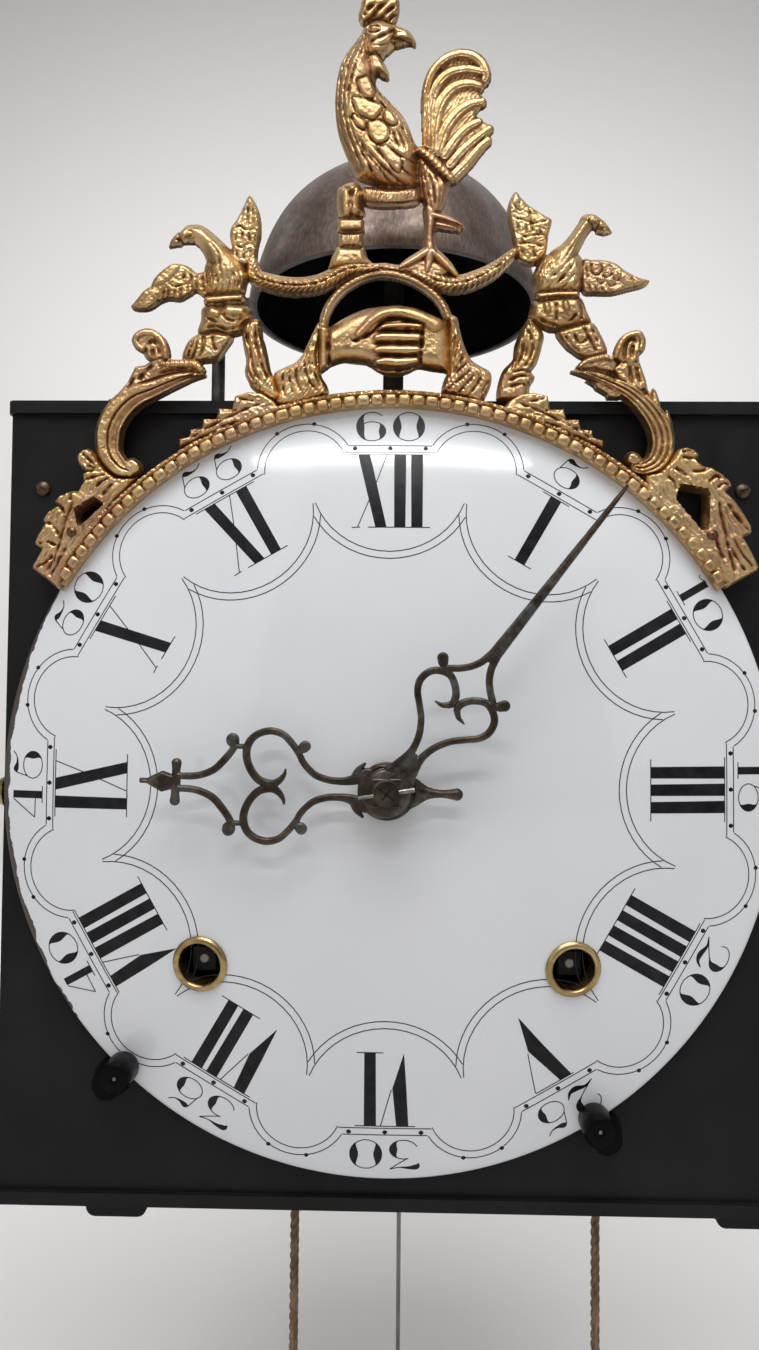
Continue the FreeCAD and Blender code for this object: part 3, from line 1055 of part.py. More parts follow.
def fronton_side():
    y0, y1 = CAST_Y0, CAST_Y1
    shapes = [cast_round(SCROLL, y0 - 1.0, y1), cast_round(CURL, y0 - 1.0, y1),
              cast_plate(BIRD, y0 - 0.5, y1), cast_plate(LOW_WING, y0 + 1.0, y1 - 0.5),
              cast_plate(HIGH_WING, y0 + 1.0, y1 - 0.5), cast_plate(OUTER_LEG, y0, y1),
              cast_plate(INNER_LEG, y0, y1), cast_bulge(-43.67, 130.50, 6.4)]
    return fuse(*shapes)


side = fronton_side()
left_side = side.cut(band)
right_side = mirror_x(side, HUB[0] + FRONTON_X).cut(band)
parts["fronton_left"] = left_side
parts["fronton_right"] = right_side

TRUNK = [[(-35.00, 97.50), (-30.50, 101.67), (-29.33, 105.67)], [(-29.33, 105.67), (-23.83, 107.83),
         (-21.67, 112.50), (-20.17, 119.17), (-18.83, 127.50)], [(-18.83, 127.50), (-16.17, 121.67)],
         [(-16.17, 121.67), (-17.17, 115.83), (-18.17, 109.17), (-16.67, 104.17), (-16.83, 97.50)],
         [(-16.83, 97.50), (-35.00, 97.50)]]
GARLAND = [[(-35.83, 136.17), (-32.50, 134.33), (-28.33, 132.67), (-22.50, 132.33), (-15.00, 133.83)],
           [(-15.00, 133.83), (-14.17, 125.83)], [(-14.17, 125.83), (-20.00, 126.33), (-25.83, 126.33),
           (-31.67, 128.00), (-37.17, 131.67)], [(-37.17, 131.67), (-35.83, 136.17)]]
ARCH = [[(-19.00, 120.33), (-17.17, 126.33), (-12.50, 131.17), (-6.67, 134.50), (-0.83, 135.67),
        (5.00, 134.50), (10.83, 131.17), (15.50, 126.33), (17.33, 120.33)], [(17.33, 120.33),
        (14.50, 120.33)], [(14.50, 120.33), (12.50, 124.67), (8.67, 128.67), (4.17, 130.83),
        (-0.83, 131.58), (-5.83, 130.83), (-10.33, 128.67), (-14.17, 124.67), (-16.17, 120.33)],
        [(-16.17, 120.33), (-19.00, 120.33)]]
trunk = cast_plate(TRUNK, CAST_Y0, CAST_Y1)
garland = cast_plate(GARLAND, CAST_Y0 - 0.5, CAST_Y1 - 0.5)
arch = fuse(cast_plate(ARCH, CAST_Y0, CAST_Y1), trunk, mirror_x(trunk, HUB[0] + FRONTON_X),
            garland, mirror_x(garland, HUB[0] + FRONTON_X))
arch = arch.cut(rod_y(HUB[0], HUB[1], DIAL_R + 0.5, CAST_Y0 - 9, FRONT_Y))
arch = arch.cut(band).cut(left_side).cut(right_side)
parts["fronton_arch"] = arch

# Clasped hands: two cuffs, the joined palms, a thumb above and four fingers across
HANDS = [[(-18.00, 107.00), (-13.33, 108.50), (-6.67, 108.67), (-0.83, 107.17), (4.17, 107.67),
         (10.00, 108.67), (16.17, 107.17)], [(16.17, 107.17), (15.50, 121.17)], [(15.50, 121.17),
         (10.00, 121.67), (4.17, 123.50), (-0.83, 123.83), (-6.67, 122.00), (-11.67, 119.83),
         (-17.17, 118.83)], [(-17.17, 118.83), (-18.00, 107.00)]]
palms = cast_plate(HANDS, CAST_Y0, CAST_Y1)
fingers = []
for i in range(4):
    x0, z = on_cast(-3.83, 118.33 - 3.08 * i)
    fingers.append(rod_x(CAST_Y0, z, FINGER_R, x0, on_cast(7.5, 0)[0]))
THUMB = [(-9.17, 115.50), (-7.17, 119.17), (-3.33, 121.33), (1.67, 121.83)]
thumb = stroke([on_cast(u, v) for u, v in THUMB], 2 * FINGER_R, CAST_Y0 - 1.6, CAST_Y0 + 1.0)
clasped = fuse(palms, thumb, *fingers)
parts["clasped_hands"] = clasped.cut(arch)

# Cockerel: stump, leg, body, neck, head, comb and tail
STUMP = [[(-17.17, 130.83), (-15.33, 138.33), (-14.17, 142.83), (-14.50, 152.83), (-11.00, 156.33),
         (-7.67, 153.00), (-7.50, 142.83), (-6.17, 138.33), (-1.67, 133.33)], [(-1.67, 133.33),
         (-17.17, 130.83)]]
LEG = [[(-0.83, 132.50), (2.00, 138.67), (7.00, 141.00), (8.00, 145.83), (6.67, 155.83)],
       [(6.67, 155.83), (14.17, 155.83)], [(14.17, 155.83), (12.00, 149.67)], [(12.00, 149.67),
       (17.17, 145.00)], [(17.17, 145.00), (11.67, 145.83)], [(11.67, 145.83), (11.50, 141.17),
       (15.00, 137.83), (17.50, 130.83)], [(17.50, 130.83), (-0.83, 132.50)]]
COCK = [[(-8.67, 153.83), (-10.33, 160.83), (-12.83, 166.67), (-14.67, 172.50), (-15.17, 179.17),
        (-14.33, 185.50), (-12.33, 190.33), (-8.67, 195.50), (-8.33, 199.50)], [(-8.33, 199.50),
        (-3.33, 200.33), (0.83, 197.83), (3.83, 195.83), (5.67, 192.83)], [(5.67, 192.83),
        (1.17, 193.00), (-2.33, 190.00), (-1.17, 184.33)], [(-1.17, 184.33), (-4.17, 184.50),
        (-3.33, 182.83)], [(-3.33, 182.83), (0.33, 178.83), (3.67, 174.17), (6.17, 168.33),
        (8.33, 162.50)], [(8.33, 162.50), (12.50, 157.50), (14.17, 152.50)], [(14.17, 152.50),
        (6.67, 150.00)], [(6.67, 150.00), (-7.83, 150.17)], [(-7.83, 150.17), (-8.67, 153.83)]]
COMB = [[(-8.83, 198.83), (-9.33, 203.83), (-6.67, 206.83), (-2.50, 207.00), (0.83, 204.50),
        (0.50, 198.50)], [(0.50, 198.50), (-8.83, 198.83)]]
TAIL = [[(5.83, 165.00), (8.67, 170.83), (8.00, 177.50), (8.50, 182.50), (10.83, 187.83),
        (15.00, 190.67), (19.67, 190.50), (23.67, 187.50), (25.00, 183.67)], [(25.00, 183.67),
        (22.17, 182.67), (23.33, 178.67), (21.67, 172.17)], [(21.67, 172.17), (25.33, 171.83),
        (25.17, 168.33)], [(25.17, 168.33), (20.33, 162.50), (16.67, 156.33)], [(16.67, 156.33),
        (11.67, 152.50)], [(11.67, 152.50), (5.83, 165.00)]]
cockerel = fuse(
    cast_plate(STUMP, CAST_Y0, CAST_Y1), cast_plate(LEG, CAST_Y0, CAST_Y1),
    cast_plate(COCK, CAST_Y0 - 0.5, CAST_Y1 + 0.5), cast_plate(COMB, CAST_Y0 + 1.5, CAST_Y1 - 1.5),
    cast_plate(TAIL, CAST_Y0 + 0.5, CAST_Y1 - 0.5), cast_bulge(-5.83, 171.67, 8.0),
    cast_bulge(-4.00, 194.67, 4.8))
parts["cockerel"] = cockerel.cut(arch).cut(clasped)

os.makedirs("parts", exist_ok=True)
for name, shape in parts.items():
    shape.exportStep("parts/" + name + ".step")
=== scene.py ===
import math
import bmesh
import bpy
import numpy as np
from mathutils import Matrix, Vector


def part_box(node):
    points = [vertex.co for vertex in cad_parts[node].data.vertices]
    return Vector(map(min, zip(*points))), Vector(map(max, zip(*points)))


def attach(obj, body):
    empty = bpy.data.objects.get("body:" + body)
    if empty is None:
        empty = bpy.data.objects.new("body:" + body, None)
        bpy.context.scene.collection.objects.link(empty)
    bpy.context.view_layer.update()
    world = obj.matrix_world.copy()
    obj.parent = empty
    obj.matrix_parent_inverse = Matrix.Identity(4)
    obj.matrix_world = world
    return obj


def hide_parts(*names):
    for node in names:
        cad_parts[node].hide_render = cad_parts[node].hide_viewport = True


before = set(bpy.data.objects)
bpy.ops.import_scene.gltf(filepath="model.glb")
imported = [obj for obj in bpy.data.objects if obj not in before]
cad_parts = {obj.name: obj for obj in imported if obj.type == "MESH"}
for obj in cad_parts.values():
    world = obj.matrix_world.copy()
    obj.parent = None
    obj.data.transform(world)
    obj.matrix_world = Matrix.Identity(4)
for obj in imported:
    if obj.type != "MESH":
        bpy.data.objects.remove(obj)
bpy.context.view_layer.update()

# Camera: a hand camera held close in front of the dial, a little below the middle of the case,
# tipped slightly up and turned a touch to the left.
bpy.ops.object.select_all(action="DESELECT")
CAMERA_AT = (0.0033, -0.3724, 0.1589)
FOCAL_PX, PHOTO_ROWS, SENSOR = 943.1, 1350.0, 36.0
LOOK_YAW, LOOK_PITCH, LOOK_ROLL = math.radians(-1.2), math.radians(1.99), math.radians(0.49)
ahead = Vector((math.sin(LOOK_YAW) * math.cos(LOOK_PITCH), math.cos(LOOK_YAW) * math.cos(LOOK_PITCH),
                math.sin(LOOK_PITCH)))
level = ahead.cross(Vector((0, 0, 1))).normalized()
upright = level.cross(ahead)
right = level * math.cos(LOOK_ROLL) + upright * math.sin(LOOK_ROLL)
above = upright * math.cos(LOOK_ROLL) - level * math.sin(LOOK_ROLL)
bpy.ops.object.camera_add(location=CAMERA_AT)
camera = bpy.context.object
camera.name = "photo_camera"
turn = Matrix((right, above, -ahead)).transposed().to_4x4()
camera.matrix_world = Matrix.Translation(camera.location) @ turn
camera.data.sensor_fit = "VERTICAL"
camera.data.sensor_height = SENSOR
camera.data.lens = FOCAL_PX / PHOTO_ROWS * SENSOR
camera.data.clip_start = 0.01
bpy.context.scene.camera = camera
bpy.context.scene.view_settings.view_transform = "Standard"


# Studio: a pale floor that sweeps up into a pale wall, and soft lamps in front and above.
# The long lamp in front gives the streak that an enamel dome shows under a window.
FLOOR_W, FLOOR_Z, WALL_Y, WALL_H, BEND = 8.0, -0.21, 1.9, 6.0, 0.9


def fresh(name, base, roughness, metallic=0.0):
    """New material with its constants set on the shader; returns it, its tree and its shader."""
    material = bpy.data.materials.new(name)
    material.use_nodes = True
    shader = material.node_tree.nodes["Principled BSDF"]
    for socket, value in (("Base Color", (*base, 1.0)), ("Roughness", roughness), ("Metallic", metallic)):
        shader.inputs[socket].default_value = value
    return material, material.node_tree, shader


bpy.ops.mesh.primitive_plane_add(size=FLOOR_W, location=(0, 0, FLOOR_Z))
floor = bpy.context.object
floor.name = "studio_floor"
bpy.ops.object.mode_set(mode="EDIT")
sweep = bmesh.from_edit_mesh(floor.data)
for edge in sweep.edges:
    edge.select = all(v.co.y > FLOOR_W / 2 - 0.1 for v in edge.verts)
bmesh.update_edit_mesh(floor.data)
bpy.ops.mesh.extrude_region_move(TRANSFORM_OT_translate={"value": (0, 0, WALL_H)})
sweep = bmesh.from_edit_mesh(floor.data)
for vert in sweep.verts:
    if vert.co.y > FLOOR_W / 2 - 0.1:
        vert.co.y = WALL_Y
for edge in sweep.edges:
    edge.select = all(v.co.y > WALL_Y - 0.1 and v.co.z < 0.1 for v in edge.verts)
bmesh.update_edit_mesh(floor.data)
bpy.ops.mesh.bevel(offset=BEND, segments=14, affect="EDGES")
bpy.ops.object.mode_set(mode="OBJECT")
bpy.ops.object.transform_apply(location=True, rotation=True, scale=True)
bpy.ops.object.shade_smooth()
pale, _, _ = fresh("studio_pale", (0.72, 0.71, 0.70), 0.9)
floor.data.materials.append(pale)

world = bpy.data.worlds.new("studio_world")
bpy.context.scene.world = world
world.use_nodes = True
sky = world.node_tree.nodes["Background"]
sky.inputs["Color"].default_value = (0.80, 0.84, 0.90, 1)
sky.inputs["Strength"].default_value = 0.20


def lamp(name, place, target, size, power, colour=(1, 1, 1), shape="RECTANGLE"):
    bpy.ops.object.light_add(type="AREA", location=place)
    light = bpy.context.object
    light.name = name
    light.data.shape = shape
    light.data.size, light.data.size_y = size
    light.data.energy = power
    light.data.color = colour
    away = Vector(place) - Vector(target)
    light.rotation_euler = away.to_track_quat("Z", "Y").to_euler()


lamp("window_strip", (-0.02, -1.75, 1.69), (0, 0, 0.2), (1.5, 0.055), 8.5, shape="ELLIPSE")
lamp("front_left", (-1.5, -1.5, 0.9), (0, 0, 0.18), (2.2, 2.2), 7.5, (1.0, 0.97, 0.93))
lamp("front_right", (1.6, -1.2, 1.0), (0, 0, 0.20), (2.0, 2.0), 6, (0.94, 0.97, 1.0))
lamp("top_soft", (0.0, -0.75, 1.75), (0, 0, 0.2), (1.4, 0.7), 19)
lamp("wall_wash", (0.0, 0.55, 1.3), (0, 1.9, 0.3), (2.2, 0.5), 26)


# Ropes: three-strand hemp, hard against the barrel above and pulled straight by a weight below.
# Each ends in the ring of a forged hook, just below the picture.
MM = 0.001
ROPE_D = 3.4
ROPE_Y = -16.0
ROPE_X = {"strike": -33.9, "going": 77.1}
ROPE_TOP, ROPE_END = 82.0, -86.0
STRANDS, STRAND_R, LAY_R, LAY_PITCH = 3, 0.95, 0.78, 11.0


def node(tree, kind, *sources, operation=None):
    """New shader node; its first inputs are linked to sockets or set to values."""
    made = tree.nodes.new(kind)
    if operation:
        made.operation = operation
    for socket, source in zip(made.inputs, sources):
        if isinstance(source, bpy.types.NodeSocket):
            tree.links.new(source, socket)
        else:
            socket.default_value = source
    return made


def own_place(tree):
    return tree.nodes.new("ShaderNodeTexCoord").outputs["Object"]


def noise(tree, scale, detail=4.0, stretch=(1, 1, 1), roughness=0.55):
    """Noise on the piece's own coordinates; returns the factor socket."""
    mapping = node(tree, "ShaderNodeMapping", own_place(tree))
    mapping.inputs["Scale"].default_value = stretch
    texture = node(tree, "ShaderNodeTexNoise", mapping.outputs["Vector"])
    for socket, value in (("Scale", scale), ("Detail", detail), ("Roughness", roughness)):
        texture.inputs[socket].default_value = value
    return texture.outputs["Fac"]


def ramp(tree, factor, *stops):
    """Colour ramp with stops of (position, colour or grey); returns the colour socket."""
    made = node(tree, "ShaderNodeValToRGB", factor)
    while len(made.color_ramp.elements) < len(stops):
        made.color_ramp.elements.new(0.5)
    for element, (position, colour) in zip(made.color_ramp.elements, stops):
        element.position = position
        element.color = (*colour, 1.0) if isinstance(colour, tuple) else (colour, colour, colour, 1.0)
    return made.outputs["Color"]


def vary(tree, shader, socket, factor, *stops):
    """Let a ramp over a factor drive one input of the shader."""
    tree.links.new(ramp(tree, factor, *stops), shader.inputs[socket])


def relief_bump(tree, shader, height, strength, distance):
    bump = tree.nodes.new("ShaderNodeBump")
    bump.inputs["Strength"].default_value = strength
    bump.inputs["Distance"].default_value = distance
    tree.links.new(height, bump.inputs["Height"])
    tree.links.new(bump.outputs["Normal"], shader.inputs["Normal"])


hemp, tree, shader = fresh("hemp", (0.22, 0.14, 0.08), 0.9)
fibre = noise(tree, 900, 3, (1, 1, 0.16))
vary(tree, shader, "Base Color", fibre, (0.25, (0.10, 0.062, 0.035)), (0.5, (0.24, 0.155, 0.09)),
    (0.8, (0.42, 0.30, 0.19)))
relief_bump(tree, shader, fibre, 0.6, 0.0004)


def rope_route(name, points):
    """The line of a rope as a smooth curve through its few points, and the points read from it."""
    data = bpy.data.curves.new(name + "_line", "CURVE")
    data.dimensions = "3D"
    spline = data.splines.new("NURBS")
    spline.points.add(len(points) - 1)
    for point, place in zip(spline.points, points):
        point.co = (place[0] * MM, place[1] * MM, place[2] * MM, 1.0)
    spline.order_u = 3
    spline.use_endpoint_u = True
    spline.resolution_u = 60
    holder = bpy.data.objects.new(name + "_line", data)
    line = bpy.data.meshes.new_from_object(holder)
    places = [Vector(v.co) for v in line.vertices]
    bpy.data.objects.remove(holder)
    bpy.data.meshes.remove(line)
    return places


def select_only(*pieces):
    bpy.ops.object.select_all(action="DESELECT")
    for piece in pieces:
        piece.select_set(True)
    bpy.context.view_layer.objects.active = pieces[0]


def linked(name, data):
    """New object in the scene, selected alone."""
    piece = bpy.data.objects.new(name, data)
    bpy.context.collection.objects.link(piece)
    select_only(piece)
    return piece


def twisted(name, places, strand_r, lay_r):
    """Rope strands wound round a line, as one mesh of closed tubes."""
    data = bpy.data.curves.new(name, "CURVE")
    data.dimensions = "3D"
    data.bevel_depth = strand_r * MM
    data.bevel_resolution = 2
    data.use_fill_caps = True
    run = [0.0]
    for first, second in zip(places, places[1:]):
        run.append(run[-1] + (second - first).length)
    frame_x = Vector((1, 0, 0)) if abs((places[1] - places[0]).normalized().x) < 0.9 else Vector((0, 1, 0))
    for k in range(STRANDS):
        spline = data.splines.new("POLY")
        spline.points.add(len(places) - 1)
        across = frame_x
        for i, place in enumerate(places):
            ahead_there = (places[min(i + 1, len(places) - 1)] - places[max(i - 1, 0)]).normalized()
            across = (across - ahead_there * across.dot(ahead_there)).normalized()
            angle = math.tau * (run[i] / (LAY_PITCH * MM) + k / STRANDS)
            swing = across * math.cos(angle) + ahead_there.cross(across) * math.sin(angle)
            point = place + swing * lay_r * MM
            spline.points[i].co = (point.x, point.y, point.z, 1.0)
    linked(name, data)
    bpy.ops.object.convert(target="MESH")
    bpy.ops.object.shade_smooth()
    return bpy.context.object


def settle(piece, material, body, slot, *nodes):
    """Give a finished piece its material, its body and the node that it stands for."""
    piece.data.materials.clear()
    piece.data.materials.append(material)
    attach(piece, body)
    if nodes:
        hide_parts(*nodes)


for name, x in ROPE_X.items():
    route = rope_route(name, [(x, ROPE_Y, ROPE_TOP), (x, ROPE_Y, ROPE_TOP - 60), (x, ROPE_Y, ROPE_END + 20),
                              (x, ROPE_Y, ROPE_END)])
    rope = twisted(name + "_rope_strands", route, STRAND_R, LAY_R)
    settle(rope, hemp, "case", "hemp", name + "_rope")

# Rope windings: the same hemp, drawn a little tighter, one layer laid side by side on each barrel.
# They turn with the barrel.
DRUM_R = 19.5
WIND_X, WIND_Z = 55.5, 82.0
WIND_BACK, WIND_TURNS, TURN_STEPS, TURN_PITCH = -12.2, 8, 48, ROPE_D * 0.985
for name, x in (("strike", -WIND_X), ("going", WIND_X)):
    turns = []
    for i in range(WIND_TURNS * TURN_STEPS + 1):
        angle = math.tau * i / TURN_STEPS
        turns.append(Vector(((x + (DRUM_R + ROPE_D / 2) * math.cos(angle)) * MM,
                             (WIND_BACK + TURN_PITCH * i / TURN_STEPS) * MM,
                             (WIND_Z + (DRUM_R + ROPE_D / 2) * math.sin(angle)) * MM)))
    coil = twisted(name + "_rope_turns", turns, 0.93, 0.76)
    settle(coil, hemp, name + "_drum", "hemp", name + "_winding")

# Case ironwork: sheet and plate iron under old satin black paint, a little cloudy.
# Feet, plates, pillars, panels and doors keep the forms that they are built with.
iron_paint, tree, shader = fresh("black_paint_on_iron", (0.016, 0.017, 0.019), 0.45)
shader.inputs["Specular IOR Level"].default_value = 0.22
cloud = noise(tree, 28, 6)
vary(tree, shader, "Base Color", cloud, (0.30, (0.0055, 0.006, 0.007)), (0.55, (0.009, 0.0095, 0.011)),
    (0.80, (0.016, 0.0165, 0.0185)))
wear = noise(tree, 160, 5, (1, 1, 0.35))
vary(tree, shader, "Roughness", wear, (0.30, 0.34), (0.70, 0.56))
relief_bump(tree, shader, noise(tree, 420, 5), 0.12, 0.0004)


def dress(names, material):
    """Give pieces that keep the form of their node a material."""
    for node_name in names:
        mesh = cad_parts[node_name].data
        mesh.materials.clear()
        mesh.materials.append(material)


dress(["feet", "bottom_plate", "top_plate", "pillars", "front_panel", "rear_panel", "left_door", "right_door"],
      iron_paint)

# Movement: filed brass wheels between dark forged bars, and a pendulum wire of plain iron.
# It shows when a side door is open. Hooks, hammer and bell stand are forged like the bars.
filed_brass, tree, shader = fresh("filed_brass", (0.62, 0.44, 0.18), 0.34, 1.0)
grain = noise(tree, 240, 4, (1, 3, 1))
vary(tree, shader, "Base Color", grain, (0.3, (0.45, 0.29, 0.11)), (0.6, (0.68, 0.49, 0.21)),
    (0.85, (0.80, 0.63, 0.32)))
vary(tree, shader, "Roughness", noise(tree, 90, 3), (0.3, 0.24), (0.75, 0.46))
forged, tree, shader = fresh("dark_forged_iron", (0.07, 0.066, 0.062), 0.5, 0.85)
scale_marks = noise(tree, 120, 6)
vary(tree, shader, "Base Color", scale_marks, (0.3, (0.028, 0.026, 0.025)), (0.6, (0.085, 0.08, 0.075)),
    (0.85, (0.17, 0.155, 0.14)))
relief_bump(tree, shader, scale_marks, 0.25, 0.0005)
turned_iron, tree, shader = fresh("turned_iron", (0.20, 0.19, 0.18), 0.38, 1.0)
lathe_marks = noise(tree, 500, 3, (0.1, 3, 0.1))
vary(tree, shader, "Base Color", lathe_marks, (0.3, (0.12, 0.115, 0.11)), (0.7, (0.27, 0.255, 0.24)))
dress(["cannon_wheel", "drive_wheel", "motion_wheel", "hour_wheel", "escape_wheel", "third_wheel", "second_wheel",
       "going_great_wheel", "strike_great_wheel", "pin_wheel", "warning_wheel"], filed_brass)
dress(["front_bars", "rear_bars", "hammer_bracket", "suspension_cock", "anchor", "crutch", "fly", "hammer",
       "going_click", "strike_click", "strike_hook", "going_hook", "bell_stand", "bell_nut"], forged)
dress(["door_pins", "pendulum_rod"], turned_iron)

# Barrels: dark turned iron with a film of oil.
# A small round spot in the middle of the end of each winding square is painted bright, a painted glint.
barrel_iron, tree, shader = fresh("barrel_iron", (0.02, 0.019, 0.018), 0.42, 0.8)
KEY_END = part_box("going_barrel")[0][1]
GLINT_IN, GLINT_OUT = 0.9 * MM, 1.5 * MM


def mixed(tree, factor, first, second):
    """Mix of a colour socket and a plain colour by a factor socket."""
    made = tree.nodes.new("ShaderNodeMix")
    made.data_type = "RGBA"
    tree.links.new(factor, made.inputs["Factor"])
    tree.links.new(first, made.inputs[6])
    made.inputs[7].default_value = (*second, 1.0)
    return made.outputs[2]


either_side = node(tree, "ShaderNodeVectorMath", own_place(tree), operation="ABSOLUTE")
from_end = node(tree, "ShaderNodeVectorMath", either_side.outputs["Vector"], (WIND_X * MM, -KEY_END, WIND_Z * MM),
                operation="DISTANCE")
# Painted glint: a small round bright spot at the middle of each winding square's end.
painted_glint = node(tree, "ShaderNodeMapRange", from_end.outputs["Value"], GLINT_OUT, GLINT_IN)
oiled = ramp(tree, noise(tree, 300, 4), (0.3, (0.010, 0.0095, 0.009)), (0.75, (0.034, 0.031, 0.028)))
tree.links.new(mixed(tree, painted_glint.outputs["Result"], oiled, (0.42, 0.40, 0.37)), shader.inputs["Base Color"])
dress(["going_barrel", "strike_barrel"], barrel_iron)


# Panel screws: small slotted iron screws, brown with old rust.
# They hold the front panel to the pillars.
FRONT_Y = -75.0
SCREW_PLACES = ((-111.0, 228.0, 25), (111.0, 228.0, -12))
SCREW_SECTION = [(0, -1.8), (1.2, -1.66), (2.0, -1.2), (2.42, -0.5), (2.5, -0.05), (1.35, 0), (1.3, 5.4), (0, 5.5)]
WELD = 0.004 * MM


def turned(name, section, origin, axis=(0, 1, 0), steps=72):
    """Spin a section of (radius, along) points in mm about an axis through origin; returns the object."""
    axis = Vector(axis).normalized()
    across = axis.orthogonal().normalized()
    mesh = bpy.data.meshes.new(name)
    points = [Vector(origin) * MM + (across * r + axis * d) * MM for r, d in section]
    mesh.from_pydata(points, [(i, i + 1) for i in range(len(points) - 1)], [])
    piece = linked(name, mesh)
    bpy.ops.object.mode_set(mode="EDIT")
    bpy.ops.mesh.select_all(action="SELECT")
    bpy.ops.mesh.spin(steps=steps, angle=math.tau, center=Vector(origin) * MM, axis=axis)
    bpy.ops.mesh.select_all(action="SELECT")
    bpy.ops.mesh.remove_doubles(threshold=WELD)
    bpy.ops.mesh.normals_make_consistent(inside=False)
    bpy.ops.object.mode_set(mode="OBJECT")
    bpy.ops.object.shade_smooth_by_angle(angle=math.radians(35))
    return piece


def cut_away(piece, tool):
    """Cut the form of a tool out of a piece."""
    cut = piece.modifiers.new("cut", "BOOLEAN")
    cut.operation = "DIFFERENCE"
    cut.object = tool
    cut.solver = "EXACT"
    select_only(piece)
    bpy.ops.object.modifier_apply(modifier="cut")
    bpy.data.objects.remove(tool)


def joined(name, pieces):
    select_only(*pieces)
    if len(pieces) > 1:
        bpy.ops.object.join()
    pieces[0].name = name
    return pieces[0]


bright_iron, tree, shader = fresh("worn_bright_iron", (0.30, 0.29, 0.27), 0.36, 1.0)
vary(tree, shader, "Base Color", noise(tree, 700, 4), (0.3, (0.13, 0.12, 0.11)), (0.7, (0.42, 0.40, 0.37)))
rusted_iron, tree, shader = fresh("rusted_iron", (0.11, 0.08, 0.055), 0.46, 0.9)
vary(tree, shader, "Base Color", noise(tree, 900, 4), (0.3, (0.045, 0.030, 0.022)), (0.7, (0.21, 0.15, 0.105)))
heads = []
for x, z, tilt in SCREW_PLACES:
    head = turned("screw", SCREW_SECTION, (x, FRONT_Y, z), steps=32)
    bpy.ops.mesh.primitive_cube_add(size=1, location=(x * MM, (FRONT_Y - 1.75) * MM, z * MM),
                                    rotation=(0, math.radians(tilt), 0))
    slot_cut = bpy.context.object
    slot_cut.scale = (6 * MM, 1.5 * MM, 0.75 * MM)
    cut_away(head, slot_cut)
    heads.append(head)
settle(joined("slotted_screws", heads), rusted_iron, "case", "screw_steel", "panel_screws")

# Dial: a thin copper dome under white vitreous enamel, glossy, faintly blue, chipped along the left rim.
# It stands on two pegs and on the lip of the top plate.
DIAL_R, DIAL_RISE, DIAL_T = 120.0, 16.0, 2.2
DIAL_Z = 135.0
LIP_Y = -77.0
RIM_Y = LIP_Y - DIAL_T
APEX_Y = RIM_Y - DIAL_RISE
DOME_R = (DIAL_R ** 2 + DIAL_RISE ** 2) / (2 * DIAL_RISE)


def dome_y(r):
    return APEX_Y + DOME_R - math.sqrt(DOME_R ** 2 - r * r)


section = [(DIAL_R - 0.5, LIP_Y), (DIAL_R, LIP_Y - 0.6), (DIAL_R, RIM_Y + 0.5), (DIAL_R - 0.35, RIM_Y + 0.02)]
section += [(r, dome_y(r)) for r in np.linspace(DIAL_R - 1.2, 8.2, 44)]
section += [(7.7, dome_y(7.6) + 0.15), (7.5, dome_y(7.5) + 0.6), (7.5, dome_y(7.5) + DIAL_T)]
section += [(r, min(dome_y(r) + DIAL_T, LIP_Y)) for r in np.linspace(12, DIAL_R - 6, 14)]
section.append(section[0])
dial = turned("enamel_dial", section, (0, 0, DIAL_Z), steps=256)
enamel, tree, shader = fresh("white_enamel", (0.82, 0.84, 0.88), 0.07)
shader.inputs["Coat Weight"].default_value = 0.6
shader.inputs["Coat Roughness"].default_value = 0.07
CHIPPED_R, CHIPPED_X = (0.1168, 0.1200), (-0.085, -0.115)
mapping = node(tree, "ShaderNodeMapping", own_place(tree), (0, 0, -DIAL_Z * MM))
split = node(tree, "ShaderNodeSeparateXYZ", mapping.outputs["Vector"])
flat = node(tree, "ShaderNodeCombineXYZ", split.outputs["X"], 0.0, split.outputs["Z"])
reach = node(tree, "ShaderNodeVectorMath", flat.outputs["Vector"], operation="LENGTH")
rim = node(tree, "ShaderNodeMapRange", reach.outputs["Value"], *CHIPPED_R)
left_side = node(tree, "ShaderNodeMapRange", split.outputs["X"], *CHIPPED_X)
chip_zone = node(tree, "ShaderNodeMath", rim.outputs["Result"], left_side.outputs["Result"], operation="MULTIPLY")
chip_noise = node(tree, "ShaderNodeMath", noise(tree, 130, 5), 1.1, chip_zone.outputs["Value"],
                  operation="MULTIPLY_ADD")
chips = ramp(tree, chip_noise.outputs["Value"], (0.985, 0.0), (1.0, 1.0))
glaze = ramp(tree, noise(tree, 16, 5), (0.3, (0.79, 0.815, 0.86)), (0.7, (0.85, 0.865, 0.895)))
tree.links.new(mixed(tree, chips, glaze, (0.06, 0.05, 0.045)), shader.inputs["Base Color"])
vary(tree, shader, "Roughness", chips, (0.0, 0.10), (1.0, 0.7))
relief_bump(tree, shader, noise(tree, 38, 2), 0.02, 0.0006)


def dome_frame(x, z):
    """Point on the dome in front of (x, z) and the outward direction there, in mm."""
    point = Vector((x, dome_y(math.hypot(x, z - DIAL_Z)), z))
    return point, (point - Vector((0, APEX_Y + DOME_R, DIAL_Z))).normalized()


HOLE_R = 7.05
for x in (-WIND_X, WIND_X):
    point, out = dome_frame(x, WIND_Z)
    cut_away(dial, turned("drill", [(0, -8), (HOLE_R, -8), (HOLE_R, 8), (0, 8)], point, out, 64))
bpy.ops.object.shade_smooth_by_angle(angle=math.radians(35))
settle(dial, enamel, "case", "enamel", "dial")

